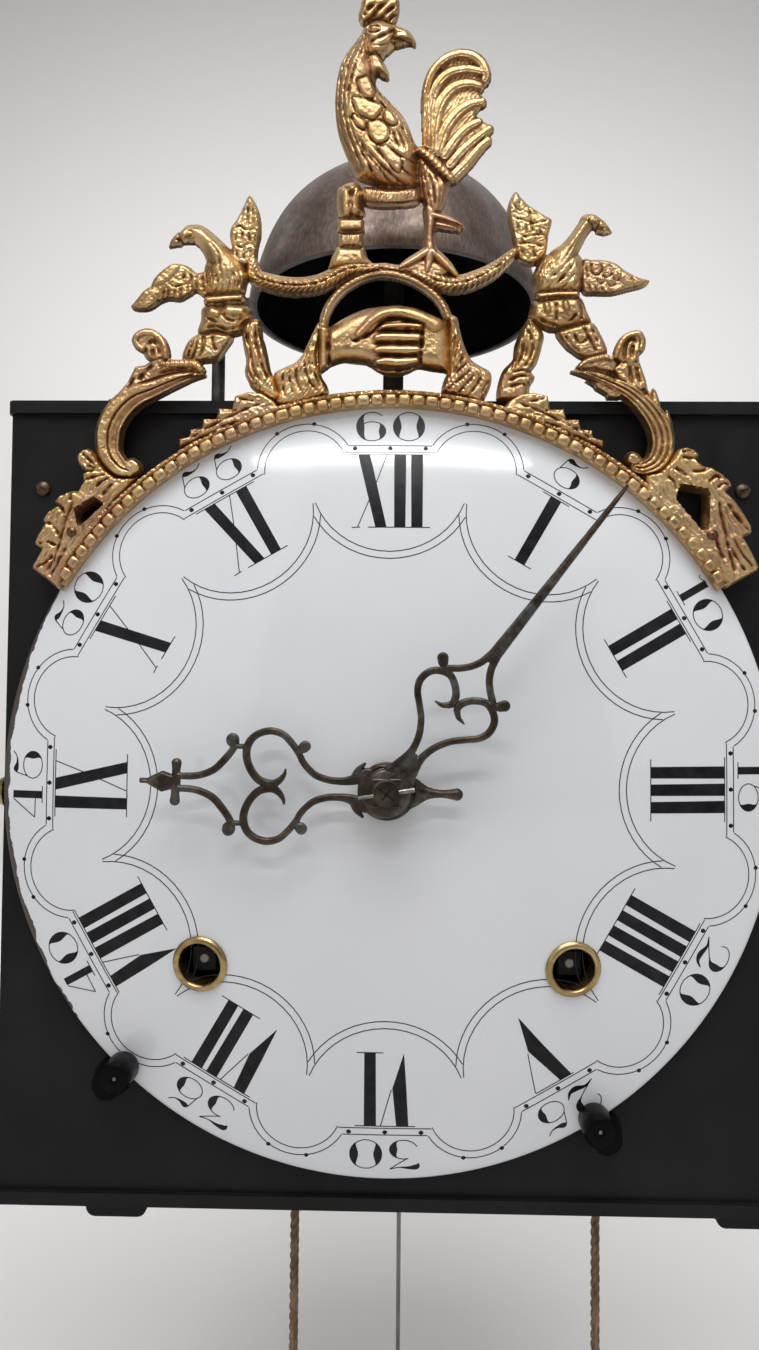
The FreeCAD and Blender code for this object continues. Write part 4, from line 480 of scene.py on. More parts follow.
# Winding grommets: turned brass eyelets pressed into the two winding holes.
# Each stands square to the dome, so the pair turns slightly outwards.
turned_brass, tree, shader = fresh("turned_brass", (0.55, 0.40, 0.18), 0.3, 1.0)
vary(tree, shader, "Base Color", noise(tree, 180, 4), (0.3, (0.30, 0.20, 0.09)), (0.6, (0.58, 0.43, 0.20)),
    (0.85, (0.75, 0.60, 0.33)))
vary(tree, shader, "Roughness", noise(tree, 300, 3), (0.3, 0.2), (0.75, 0.45))
eyelets = []
for x in (-WIND_X, WIND_X):
    point, out = dome_frame(x, WIND_Z)
    ring = [(6.2, -4.1), (7.0, -4.1), (7.0, 0.1), (8.4, 0.1), (8.45, 0.5), (8.1, 1.1), (7.4, 1.45), (6.7, 1.35),
            (6.3, 0.9), (6.2, 0.3), (6.2, -4.1)]
    eyelets.append(turned("eyelet", ring, point, out, 64))
settle(joined("winding_eyelets", eyelets), turned_brass, "case", "trim_brass", "winding_grommets")

# Dial pegs: black turned stems screwed to the panel, on which the rim stands; the round head of each is set off
# its stem and reaches over the rim. A small bright steel dot in the middle of the head stands in for the glint
# there, a painted highlight.
PEG_ANGLES = (227.2, 302.4)
PEG_R, HEAD_IN = 4.6, 6.9
peg_black, tree, shader = fresh("peg_black", (0.003, 0.003, 0.0035), 0.3)
shader.inputs["Specular IOR Level"].default_value = 0.08
vary(tree, shader, "Roughness", noise(tree, 420, 3), (0.3, 0.2), (0.7, 0.42))
pegs, glint_dots = [], []
for angle in PEG_ANGLES:
    out = (math.cos(math.radians(angle)), math.sin(math.radians(angle)))
    stem_out = DIAL_R + PEG_R + 0.05
    foot, middle = [(r * out[0], 0, DIAL_Z + r * out[1]) for r in (stem_out, stem_out - HEAD_IN)]
    stem = [(0, -71.8), (2.3, -71.8), (2.3, -75.0), (5.9, -75.0), (5.9, -77.0), (4.6, -77.0), (4.6, -83.4),
            (4.2, -83.9), (0, -83.9)]
    pegs.append(turned("peg", stem, foot, steps=48))
    head = [(0, -81.6), (4.2, -81.6), (4.75, -81.9), (4.9, -82.7), (4.85, -88.5), (4.6, -91.0), (4.0, -91.9),
            (3.0, -92.2), (1.1, -92.1), (0.9, -91.6), (0, -91.5)]
    pegs.append(turned("peg_head", head, middle, steps=48))
    # Painted highlight: a small bright dot stands in for the glint in the middle of the head.
    dot = [(0, -92.0), (0.4, -91.9), (0.62, -91.7), (0.65, -91.3), (0, -91.3)]
    glint_dots.append(turned("peg_glint_dot", dot, middle, steps=24))
settle(joined("black_pegs", pegs), peg_black, "case", "iron_black", "dial_pegs")
settle(joined("peg_glints", glint_dots), bright_iron, "case", "screw_steel")

# Dial markings: black fired ink. Radial hour numerals, minute numbers, a track of straights and lobes
# with a dot at each minute, and a festooned inner border.
ink, tree, shader = fresh("fired_black_ink", (0.010, 0.010, 0.012), 0.22)
shader.inputs["Specular IOR Level"].default_value = 0.2
vary(tree, shader, "Base Color", noise(tree, 240, 4), (0.3, (0.006, 0.006, 0.008)), (0.75, (0.022, 0.021, 0.024)))
INK_LIFT = 0.03
ink_verts, ink_faces = [], []


def on_dome(angle, r):
    """Clock angle in radians from twelve and radius in mm, to a point just above the enamel, in metres."""
    return (r * math.sin(angle) * MM, (dome_y(r) - INK_LIFT) * MM, (DIAL_Z + r * math.cos(angle)) * MM)


def ink_strip(left_row, right_row):
    """Strip of ink between two rows of (angle, radius) points."""
    start = len(ink_verts)
    for a, b in zip(left_row, right_row):
        ink_verts.append(on_dome(*a))
        ink_verts.append(on_dome(*b))
    for i in range(len(left_row) - 1):
        k = start + 2 * i
        ink_faces.append((k, k + 1, k + 3, k + 2))


def ink_line(points, widths):
    """Pen line through flat (x, z) points about the dial's centre, with a width at each point."""
    points = np.array(points, float)
    along_line = np.gradient(points, axis=0)
    along_line /= np.maximum(np.linalg.norm(along_line, axis=1), 1e-9)[:, None]
    normal = np.stack([-along_line[:, 1], along_line[:, 0]], 1)
    half = (np.array(widths, float) / 2)[:, None]
    rows = []
    for edge_row in (points + normal * half, points - normal * half):
        rows.append([(math.atan2(x, z), math.hypot(x, z)) for x, z in edge_row])
    ink_strip(rows[0], rows[1])


def ink_dot(x, z, r):
    """Round dot as a small fan of strips."""
    for k in range(4):
        lo, hi = -r + r * k / 2, -r + r * (k + 1) / 2
        half_lo, half_hi = math.sqrt(max(r * r - lo * lo, 0)), math.sqrt(max(r * r - hi * hi, 0))
        rows = [[(x - half_lo, z + lo), (x - half_hi, z + hi)], [(x + half_lo, z + lo), (x + half_hi, z + hi)]]
        ink_strip(*[[(math.atan2(px, pz), math.hypot(px, pz)) for px, pz in row] for row in rows])


FINE = 0.30


def curve_points(knots, count=8, closed=False):
    """Points along a smooth curve through the knots, whatever each knot holds."""
    p = np.array(knots, float)
    p = np.vstack([p[-1:], p, p[:2]]) if closed else np.vstack([2 * p[0] - p[1], p, 2 * p[-1] - p[-2]])
    t = np.linspace(0, 1, count, endpoint=False)[:, None]
    rows = []
    for i in range(len(p) - 3):
        a, b, c, d = p[i:i + 4]
        rows.append(0.5 * (2 * b + (c - a) * t + (2 * a - 5 * b + 4 * c - d) * t ** 2
                           + (3 * b - a - 3 * c + d) * t ** 3))
    out = np.vstack(rows)
    return out if closed else np.vstack([out, p[-2]])


class Lettering:
    """Pen and brush work at one clock angle; u runs clockwise and v outward from the dial's centre, in mm."""

    def __init__(self, degrees):
        self.c, self.s = math.cos(math.radians(degrees)), math.sin(math.radians(degrees))

    def flat(self, u, v):
        return (v * self.s + u * self.c, v * self.c - u * self.s)

    def polar(self, u, v):
        x, z = self.flat(u, v)
        return (math.atan2(x, z), math.hypot(x, z))

    def patch(self, left_side, right_side, count=7):
        """Filled patch between two broken lines of (u, v) points."""
        rows = []
        for side in (left_side, right_side):
            side = np.array(side, float)
            at = np.linspace(0, len(side) - 1, count * (len(side) - 1) + 1)
            knots = range(len(side))
            rows.append([self.polar(np.interp(t, knots, side[:, 0]), np.interp(t, knots, side[:, 1])) for t in at])
        ink_strip(*rows)

    def pen(self, points, smooth=6):
        """Pen line; each knot is (u, v, width)."""
        line = curve_points(points, smooth)
        ink_line([self.flat(u, v) for u, v in line[:, :2]], np.maximum(line[:, 2], FINE))

    def hair(self, *points):
        self.pen([(u, v, FINE) for u, v in points], 4)

    def arc(self, u, v, ru, rv, start, end, swell=0.0):
        """Hairline arc of an oval; a swell turns it into a crescent that thickens inward."""
        angles = np.radians(np.linspace(start, end, 19))
        thick = np.maximum(swell * np.sin(np.linspace(0, math.pi, 19)) ** 0.8, FINE)
        outer = [self.polar(u + ru * math.cos(a), v + rv * math.sin(a)) for a in angles]
        inner = [self.polar(u + (ru - w) * math.cos(a), v + (rv - 0.35 * w - 0.2) * math.sin(a))
                 for a, w in zip(angles, thick)]
        ink_strip(outer, inner)


NUM_IN, NUM_OUT = 78.6, 102.0
STEM, STEM_PITCH = 3.7, 5.2
X_FORM, V_FORM, I_FORM = 11.4, 9.0, STEM_PITCH
NUMERALS = ("XII", "I", "II", "III", "IIII", "V", "VI", "VII", "VIII", "IX", "X", "XI")
for hour, text in enumerate(NUMERALS):
    brush = Lettering(30 * hour)
    width = sum({"I": I_FORM, "V": V_FORM, "X": X_FORM}[c] for c in text)
    u = -width / 2
    foot_from, foot_to = None, None
    for c in text:
        if c == "I":
            mid = u + I_FORM / 2
            brush.patch([(mid - STEM / 2, NUM_OUT), (mid - STEM * 0.46, NUM_IN)],
                    [(mid + STEM / 2, NUM_OUT), (mid + STEM * 0.46, NUM_IN)])
            foot_from, foot_to = (mid if foot_from is None else foot_from), mid
            u += I_FORM
        elif c == "V" and text == "V":
            brush.patch([(-5.7, NUM_OUT), (-2.6, 89.0), (-0.3, NUM_IN - 0.4)],
                    [(-1.8, NUM_OUT), (2.2, 89.0), (-0.3, NUM_IN - 0.4)])
            brush.hair((2.6, 89.6), (4.6, 95.6), (6.6, NUM_OUT))
        elif c == "V":
            brush.patch([(u, NUM_OUT), (u + 0.7, 89.8), (u + 1.5, NUM_IN)],
                    [(u + STEM, NUM_OUT), (u + 4.9, 89.8), (u + 1.5, NUM_IN)])
            brush.hair((u + 5.2, 90.2), (u + 6.8, 96.0), (u + 8.4, NUM_OUT))
            u += V_FORM
        else:
            brush.patch([(u + 1.0, NUM_OUT), (u + 6.6, NUM_IN)],
                        [(u + 1.0 + STEM, NUM_OUT), (u + 6.6 + STEM * 0.92, NUM_IN)])
            brush.hair((u + 9.9, NUM_OUT), (u + 5.8, 90.4), (u + 1.2, NUM_IN))
            brush.hair((u - 0.6, NUM_IN - 0.1), (u + 1.2, NUM_IN), (u + 2.0, NUM_IN))
            foot_from, foot_to = (u + 8.3 if foot_from is None else foot_from), u + 8.3
            u += X_FORM
    brush.hair((-width / 2 - 2.0, NUM_OUT + 0.1), (0, NUM_OUT + 0.1), (width / 2 + 2.0, NUM_OUT + 0.1))
    if foot_from is not None:
        brush.hair((foot_from - 4.0, NUM_IN), ((foot_from + foot_to) / 2, NUM_IN), (foot_to + 4.0, NUM_IN))

# Minute numbers: round pen-drawn figures with black crescents, in the same fired ink.
# Their feet stand towards the centre.
FIG_IN, FIG_H, FIG_GAP = 106.5, 10.0, 1.5
FIG_WIDTH = dict.fromkeys("023456", 10.0) | {"1": 4.2}


def figure(brush, sign, u):
    v = FIG_IN
    if sign == "0":
        brush.arc(u + 5, v + 5, 5, 5, 0, 360)
        brush.arc(u + 5, v + 5, 5, 5, -52, 52, 2.7)
        brush.arc(u + 5, v + 5, 5, 5, 128, 232, 2.7)
    elif sign == "1":
        brush.patch([(u + 1.0, v + FIG_H), (u + 1.0, v)], [(u + 3.3, v + FIG_H), (u + 3.3, v)])
        brush.hair((u + 1.2, v + 9.8), (u - 0.2, v + 8.9), (u - 1.2, v + 9.4))
        brush.hair((u - 0.4, v), (u + 2.1, v), (u + 4.6, v))
    elif sign == "2":
        brush.arc(u + 4.8, v + 6.9, 4.2, 3.1, 60, 205)
        brush.arc(u + 4.8, v + 6.9, 4.2, 3.1, -75, 75, 2.4)
        brush.hair((u + 6.2, v + 4.0), (u + 3.6, v + 2.2), (u + 0.5, v + 0.3))
        brush.pen([(u + 0.5, v + 0.3, FINE), (u + 3.2, v + 1.3, 0.8), (u + 6.2, v + 0.6, 1.7),
                (u + 8.4, v + 1.0, 1.0), (u + 9.8, v + 2.8, FINE)])
    elif sign == "3":
        brush.pen([(u + 0.4, v + 7.8, FINE), (u + 1.0, v + 9.0, 1.7), (u + 3.4, v + 9.4, 1.0),
                (u + 6.4, v + 9.3, FINE), (u + 9.2, v + 10.0, FINE)])
        brush.hair((u + 9.2, v + 10.0), (u + 6.6, v + 8.1), (u + 4.0, v + 6.4))
        brush.arc(u + 5.0, v + 3.3, 4.4, 3.3, 60, 110)
        brush.arc(u + 5.0, v + 3.3, 4.4, 3.3, 200, 310)
        brush.arc(u + 5.0, v + 3.3, 4.4, 3.3, -65, 65, 2.5)
    elif sign == "4":
        brush.patch([(u + 5.8, v + FIG_H), (u + 5.8, v)], [(u + 8.1, v + FIG_H), (u + 8.1, v)])
        brush.hair((u + 5.6, v + 9.9), (u + 2.8, v + 6.2), (u, v + 2.5))
        brush.hair((u, v + 2.5), (u + 2.8, v + 2.4), (u + 5.8, v + 2.3))
        brush.hair((u + 4.4, v), (u + 7, v), (u + 9.6, v))
    elif sign == "5":
        brush.arc(u + 4.6, v + 3.4, 4.3, 3.4, 50, 310)
        brush.arc(u + 4.6, v + 3.4, 4.3, 3.4, -62, 62, 2.4)
        brush.hair((u + 1.2, v + 5.4), (u + 1.7, v + 7.2), (u + 2.3, v + 9.2))
        brush.pen([(u + 2.2, v + 8.9, FINE), (u + 3.3, v + 9.2, 1.7), (u + 5.2, v + 8.8, 0.8),
                (u + 7.2, v + 9.0, FINE), (u + 8.8, v + 10.2, FINE)])
    else:
        brush.arc(u + 5, v + 3.4, 4.4, 3.4, 0, 360)
        brush.arc(u + 5, v + 3.4, 4.4, 3.4, -58, 58, 2.3)
        brush.arc(u + 5, v + 5, 5, 5, 48, 140)
        brush.arc(u + 5, v + 5, 5, 5, 118, 250, 2.6)


for hour in range(12):
    brush = Lettering(30 * hour)
    signs = str(60 if hour == 0 else 5 * hour)
    u = -(sum(FIG_WIDTH[c] for c in signs) + FIG_GAP * (len(signs) - 1)) / 2
    for c in signs:
        figure(brush, c, u)
        u += FIG_WIDTH[c] + FIG_GAP

# Minute track: two fine pen lines, straight under each number and arched between.
# A dot stands at every minute.
TRACK_IN, TRACK_OUT, TRACK_DOT = 102.8, 105.0, 104.1
LOBE_V, LOBE_IN, LOBE_OUT, LOBE_DOT = 100.8, 13.0, 15.3, 115
for hour in range(12):
    brush = Lettering(30 * hour)
    brush.hair((-14.1, TRACK_IN), (0, TRACK_IN), (14.1, TRACK_IN))
    brush.hair((-12.9, TRACK_OUT), (0, TRACK_OUT), (12.9, TRACK_OUT))
    for minute in (-1, 0, 1):
        ink_dot(*brush.flat(TRACK_DOT * math.tan(math.radians(6 * minute)), TRACK_DOT), 0.75)
    brush = Lettering(30 * hour + 15)
    brush.arc(0, LOBE_V, LOBE_IN, LOBE_IN, 8, 172)
    brush.arc(0, LOBE_V, LOBE_OUT, LOBE_OUT, 16, 164)
    for minute in (-0.5, 0.5):
        turn = math.radians(6 * minute)
        ink_dot(*brush.flat(LOBE_DOT * math.sin(turn), LOBE_DOT * math.cos(turn)), 0.7)

# Inner border: double festoons in fine pen lines.
# They swing inward under each numeral and cross in points between them.
FESTOON_V = 95.6
for hour in range(12):
    brush = Lettering(30 * hour)
    for r, half in ((24.7, 68), (26.9, 59.5)):
        brush.arc(0, FESTOON_V, r, r, 270 - half, 270 + half)

marks_mesh = bpy.data.meshes.new("dial_marks")
marks_mesh.from_pydata(ink_verts, [], ink_faces)
marks = linked("dial_marks", marks_mesh)
bpy.ops.object.mode_set(mode="EDIT")
bpy.ops.mesh.select_all(action="SELECT")
bpy.ops.mesh.normals_make_consistent(inside=False)
bpy.ops.object.mode_set(mode="OBJECT")
flip = bmesh.new()
flip.from_mesh(marks_mesh)
bmesh.ops.reverse_faces(flip, faces=[f for f in flip.faces if f.normal.y > 0])
flip.to_mesh(marks_mesh)
flip.free()
thick = marks.modifiers.new("ink_film", "SOLIDIFY")
thick.thickness = 2 * INK_LIFT * MM
thick.offset = -1.0
bpy.ops.object.modifier_apply(modifier="ink_film")
settle(marks, ink, "case", "enamel")


# Fronton: brass ornament, sand-cast in relief, chased and polished, that stands along the dial's upper rim.
# It is gold on the high places and reddish brown in the recesses, partly patina and partly painted shade.
cast_brass, tree, shader = fresh("cast_brass", (0.70, 0.49, 0.22), 0.34, 1.0)


def marked(tree, attribute):
    made = tree.nodes.new("ShaderNodeAttribute")
    made.attribute_name = attribute
    return made.outputs["Fac"]


hollow = marked(tree, "recess")
tone = ramp(tree, noise(tree, 70, 6), (0.30, (0.50, 0.30, 0.13)), (0.52, (0.70, 0.48, 0.23)),
    (0.78, (0.80, 0.61, 0.36)))
stain = ramp(tree, noise(tree, 44, 5), (0.47, 0.0), (0.70, 0.6))
warm = mixed(tree, stain, tone, (0.60, 0.34, 0.24))
# Reddish brown darkening in the recesses: partly patina, partly painted shade.
patina_and_shade = ramp(tree, hollow, (0.06, 0.0), (0.7, 0.86))
tree.links.new(mixed(tree, patina_and_shade, warm, (0.22, 0.105, 0.055)), shader.inputs["Base Color"])
tarnish = ramp(tree, noise(tree, 160, 5), (0.3, 0.0), (0.7, 0.2))
polish = ramp(tree, hollow, (0.0, 0.27), (0.8, 0.6))
dulled = node(tree, "ShaderNodeMath", tarnish, polish, operation="ADD")
tree.links.new(dulled.outputs[0], shader.inputs["Roughness"])
relief_bump(tree, shader, noise(tree, 520, 6), 0.42, 0.0006)
CAST_BACK, CAST_CUT, LEAN = -77.0, -79.6, 0.75


# The skin of a sand casting is never even; waves of random slant and length give its lumps.
def uneven(x, z, size, seed):
    """Smooth random waves of about unit height over the sheet."""
    dice = np.random.default_rng(seed)
    total = np.zeros(np.shape(x))
    for _ in range(9):
        turn, start = dice.uniform(0, math.tau, 2)
        pace = math.tau / size * dice.uniform(0.6, 1.6)
        total += np.sin((x * math.cos(turn) + z * math.sin(turn)) * pace + start)
    return total / 3.0


# Cast and forged ornament is shaped like a carver's relief: a fine sheet of points is raised by bars
# and outlines, chased with grooves, trimmed where it falls to nothing, and given a back.
# EMPTY is the height of bare sheet and THIN the least metal that a groove leaves; edges drop by FALL
# and round over by SHOULDER; leaning relief tips towards a point EYE_AWAY in front of it.
EMPTY, THIN = -3.0, 0.3
FALL, SHOULDER = 2.2, 2.3
EYE_X, EYE_Z, EYE_AWAY = 3.3, 159.0, 292.0


def oval(x, z, rx, rz, angles):
    return [(x + rx * math.cos(a), z + rz * math.sin(a)) for a in angles]


class Casting:
    """Heights in mm, towards the front, over a sheet of points in the plane of the dial."""

    def __init__(self, x0, x1, z0, z1, step):
        columns, rows = int((x1 - x0) / step) + 1, int((z1 - z0) / step) + 1
        self.x, self.z = np.meshgrid(np.linspace(x0, x1, columns), np.linspace(z0, z1, rows))
        self.h = np.full(self.x.shape, EMPTY)

    def window(self, line, margin):
        """The part of the sheet near a line, as slices."""
        xs, zs = self.x[0], self.z[:, 0]
        cols = np.searchsorted(xs, [line[:, 0].min() - margin, line[:, 0].max() + margin])
        rows = np.searchsorted(zs, [line[:, 1].min() - margin, line[:, 1].max() + margin])
        return slice(rows[0], rows[1]), slice(cols[0], cols[1])

    def near(self, line, where):
        """Distance to a line, side of it, run along it and third value of its nearest point."""
        px, pz = self.x[where], self.z[where]
        best = np.full(px.shape, 1e9)
        side, run, third = np.zeros(px.shape), np.zeros(px.shape), np.zeros(px.shape)
        done = 0.0
        for a, b in zip(line[:-1], line[1:]):
            dx, dz = b[0] - a[0], b[1] - a[1]
            length = math.hypot(dx, dz)
            if length < 1e-6:
                continue
            t = np.clip(((px - a[0]) * dx + (pz - a[1]) * dz) / length ** 2, 0, 1)
            ex, ez = px - a[0] - t * dx, pz - a[1] - t * dz
            gap = np.hypot(ex, ez)
            closer = gap < best
            best = np.where(closer, gap, best)
            side = np.where(closer, np.sign(dx * ez - dz * ex), side)
            run = np.where(closer, done + t * length, run)
            if line.shape[1] > 2:
                third = np.where(closer, a[2] + t * (b[2] - a[2]), third)
            done += length
        return best, side, run, third

    def raise_to(self, where, inside, height):
        self.h[where] = np.maximum(self.h[where], np.where(inside > 0, height, np.maximum(inside * FALL, EMPTY)))

    def bar(self, knots, depth, lift=0.0, chase=None, edge=None):
        """Bar along a curve, round or with a narrow rounded edge; each knot is (x, z, half width)."""
        line = curve_points(knots, 7)
        where = self.window(line, line[:, 2].max() + 1.5)
        gap, side, run, half = self.near(line, where)
        inside = half - gap
        across = side * np.clip(gap / np.maximum(half, 1e-6), 0, 1)
        u = np.clip(inside / (edge or np.maximum(half, 1e-6)), 0, 1)
        height = lift + depth * (1 - (1 - u) ** SHOULDER)
        if chase:
            height = height + chase(u, across, run, half) * np.clip(inside / 0.5, 0, 1)
        self.raise_to(where, inside, height)

    def form(self, knots, depth, edge, lift=0.0, chase=None, smooth=True):
        """Plump form inside a closed outline, rounded over its edge."""
        line = curve_points(knots, 6, True) if smooth else np.array(knots, float)
        line = np.vstack([line, line[:1]])
        where = self.window(line, 1.5)
        gap = self.near(line, where)[0]
        px, pz = self.x[where], self.z[where]
        odd = np.zeros(px.shape, bool)
        for a, b in zip(line[:-1], line[1:]):
            if a[1] != b[1]:
                crossing = (a[1] > pz) != (b[1] > pz)
                odd ^= crossing & (px < (b[0] - a[0]) * (pz - a[1]) / (b[1] - a[1]) + a[0])
        inside = np.where(odd, gap, -gap)
        height = lift + depth * (1 - (1 - np.clip(inside / edge, 0, 1)) ** SHOULDER)
        if chase:
            height = height + chase(px, pz) * np.clip(inside / 0.8, 0, 1)
        self.raise_to(where, inside, height)

    def groove(self, knots, width, depth):
        """Chased line that fades at both ends."""
        line = curve_points(knots, 6)
        where = self.window(line, 3 * width)
        gap, _, run, _ = self.near(line, where)
        total = np.hypot(*np.diff(line[:, :2], axis=0).T).sum()
        fade = np.clip(np.minimum(run, total - run) / (0.18 * total) + 0.25, 0, 1)
        wear = 1 + 0.35 * uneven(self.x[where], self.z[where], 4.5, 7)
        dip = depth * wear * np.exp(-(gap / width / (0.75 + 0.35 * wear)) ** 2) * fade
        high = self.h[where]
        self.h[where] = np.where(high > THIN, np.maximum(high - dip, THIN), high)

    def pierce(self, knots):
        """Window with sloping walls, cut through the sheet."""
        solid = self.h
        self.h = np.full(solid.shape, EMPTY)
        self.form(knots, 3.0, 1.0, smooth=False)
        self.h = np.where(self.h > -1.2, np.minimum(solid, -self.h * 1.2), solid)

    def bridge(self, fill):
        """Fill clefts up to twice fill wide, a little below the metal beside them."""
        closed = self.h
        for pick in (np.maximum, np.minimum):
            for _ in range(int(fill / (self.x[0, 1] - self.x[0, 0]))):
                beside = [np.roll(closed, way, axis) for axis in (0, 1) for way in (-1, 1)]
                closed = pick.reduce([closed] + beside)
        self.h = np.maximum(self.h, np.where(closed > 1.2, closed - 0.9, EMPTY))

    def roughen(self, skin):
        """Lumps of a cast skin, none where the metal is thin."""
        waves = ((1, 7.0, 5), (0.55, 2.4, 6), (0.4, 1.2, 12))
        lumps = sum(share * uneven(self.x, self.z, size, seed) for share, size, seed in waves)
        rough = self.h + skin * lumps * np.clip(self.h - THIN, 0, 1)
        self.h = np.where(self.h > THIN, np.maximum(rough, THIN), self.h)

    def recess(self):
        """How far each point lies below its softened surroundings, from 0 to 1."""
        soft = self.h.copy()
        for _ in range(10):
            beside = soft[:-2, 1:-1] + soft[2:, 1:-1] + soft[1:-1, :-2] + soft[1:-1, 2:]
            soft[1:-1, 1:-1] = (soft[1:-1, 1:-1] * 2 + beside) / 6
        return np.clip((soft - self.h) / 0.5, 0, 1)

    def cast(self, name, cut_y, base, back=0.0, skin=0.0, lean=0.0, fill=0.0):
        """Trim the sheet at cut_y, give it a side wall, and a flat back or one rounded like the front.

        Narrow clefts up to twice fill are bridged; lean tips the relief towards the dial's middle.
        """
        if fill:
            self.bridge(fill)
        self.roughen(skin)
        recess = self.recess()
        rows, cols = self.h.shape
        bpy.ops.object.select_all(action="DESELECT")
        bpy.ops.mesh.primitive_grid_add(x_subdivisions=cols - 1, y_subdivisions=rows - 1, size=2)
        piece = bpy.context.object
        piece.name = name
        mesh = piece.data
        co = np.empty(len(mesh.vertices) * 3)
        mesh.vertices.foreach_get("co", co)
        co = co.reshape(-1, 3)
        i = np.rint((co[:, 0] + 1) / 2 * (cols - 1)).astype(int)
        j = np.rint((co[:, 1] + 1) / 2 * (rows - 1)).astype(int)
        tip = np.clip(self.h[j, i], 0, None) * lean / EYE_AWAY
        tipped_x = self.x[j, i] * (1 - tip) + EYE_X * tip
        tipped_z = self.z[j, i] * (1 - tip) + EYE_Z * tip
        co = np.stack([tipped_x, cut_y - self.h[j, i], tipped_z], 1) * MM
        mesh.vertices.foreach_set("co", co.ravel())
        mesh.attributes.new("recess", "FLOAT", "POINT").data.foreach_set("value", recess[j, i].astype(np.float32))
        mesh.update()
        bpy.ops.object.mode_set(mode="EDIT")
        bpy.ops.mesh.select_all(action="SELECT")
        bpy.ops.mesh.bisect(plane_co=(0, cut_y * MM, 0), plane_no=(0, 1, 0), clear_outer=True)
        bpy.ops.mesh.select_mode(type="EDGE")
        bpy.ops.mesh.select_all(action="DESELECT")
        bpy.ops.mesh.select_non_manifold(extend=False, use_wire=False, use_boundary=True, use_multi_face=False,
                                         use_non_contiguous=False, use_verts=False)
        bpy.ops.mesh.extrude_region_move(TRANSFORM_OT_translate={"value": (0, base * MM, 0)})
        bpy.ops.object.mode_set(mode="OBJECT")
        work = bmesh.new()
        work.from_mesh(mesh)
        front = [f for f in work.faces if all(v.co.y < (cut_y + 0.001) * MM for v in f.verts)]
        copy = bmesh.ops.duplicate(work, geom=front)["geom"]
        for v in [g for g in copy if isinstance(g, bmesh.types.BMVert)]:
            tip = max(cut_y - v.co.y / MM, 0) * lean / EYE_AWAY
            v.co.x = (v.co.x - EYE_X * MM * tip) / (1 - tip)
            v.co.z = (v.co.z - EYE_Z * MM * tip) / (1 - tip)
            v.co.y = (cut_y + base) * MM + back * (cut_y * MM - v.co.y)
        bmesh.ops.reverse_faces(work, faces=[g for g in copy if isinstance(g, bmesh.types.BMFace)])
        bmesh.ops.remove_doubles(work, verts=work.verts, dist=WELD)
        bmesh.ops.recalc_face_normals(work, faces=work.faces)
        work.to_mesh(mesh)
        work.free()
        bpy.ops.object.shade_smooth_by_angle(angle=math.radians(55))
        return piece


def chase_lines(count, depth):
    """Fine ridges along a bar."""
    return lambda u, v, run, half: depth * np.cos(math.pi * count * v)


def chase_barbs(pitch, slant, depth):
    """Slanting barbs on both sides of a bar's middle."""
    def barbs(u, v, run, half):
        wave = depth * np.cos(math.tau * (run + slant * np.abs(v) * half) / pitch)
        return wave * np.clip(np.abs(v) * 4, 0, 1)
    return barbs


def chase_hair(angle, pitch, depth, wander=1.2):
    """Nearly straight hair or feather lines at an angle in degrees."""
    c, s = math.cos(math.radians(angle)), math.sin(math.radians(angle))

    def lines(px, pz):
        across, length = -px * s + pz * c, px * c + pz * s
        sway = wander * np.sin(length * 0.55 + across * 0.2) * 0.35 + 0.28 * pitch * uneven(px, pz, 6.0, 8)
        return depth * (0.8 + 0.45 * uneven(px, pz, 8.0, 9)) * np.cos(math.tau * (across + sway) / pitch)
    return lines


def stipple(px, pz):
    """Ground roughened with a punch."""
    return 0.08 * uneven(px, pz, 1.4, 11)


# Beaded band with its leaf ends: one casting that follows the dial's rim, pinned to the panel by two nails.
# A row of cushion-shaped beads runs along its inner edge, and a notched rim along its outer one.
BAND_MID, BAND_HALF_W, BAND_HALF = 120.3, 2.55, 59.0
BAND_CUT, NOTCH_PITCH = -81.0, 1.9
band = Casting(-115, 116, 191, 262, 0.33)
radius = np.hypot(band.x, band.z - DIAL_Z)
clock = np.arctan2(band.x, band.z - DIAL_Z)
inside = BAND_HALF_W - np.abs(radius - BAND_MID)
inside = np.where(np.abs(clock) < math.radians(BAND_HALF), inside, EMPTY)
rim = np.clip((radius - 120.9) / 0.5, 0, 1) * np.clip(inside / 0.7, 0, 1)
notches = 0.35 * np.cos(clock * BAND_MID * math.tau / NOTCH_PITCH + 2 * uneven(band.x, band.z, 9.0, 3))
notches += 0.3 * uneven(band.x, band.z, 3.0, 4)
band.raise_to((slice(None), slice(None)), inside, 1.1 + (1.6 + notches) * rim)
LEAF_L = [(-102.9, 194.8), (-111.5, 201.6), (-108.5, 207.6), (-110.8, 209.0), (-109.8, 212.0), (-107.8, 215.5),
        (-108.5, 216.5), (-106.8, 219.2), (-103.8, 221.3), (-105.1, 222.3), (-102.9, 224.5), (-99.3, 226.0),
        (-97.5, 225.7), (-95.8, 228.7), (-96.2, 230.8), (-95.4, 231.8), (-97.5, 234.1), (-98.2, 236.7),
        (-96.9, 238.6), (-94.7, 239.3), (-92.7, 238.2), (-91.2, 235.3), (-88.9, 232.4), (-85.4, 230.0),
        (-80.2, 229.9), (-78.7, 230.7), (-85.3, 222.5), (-93.3, 212.6), (-99.6, 203.2)]
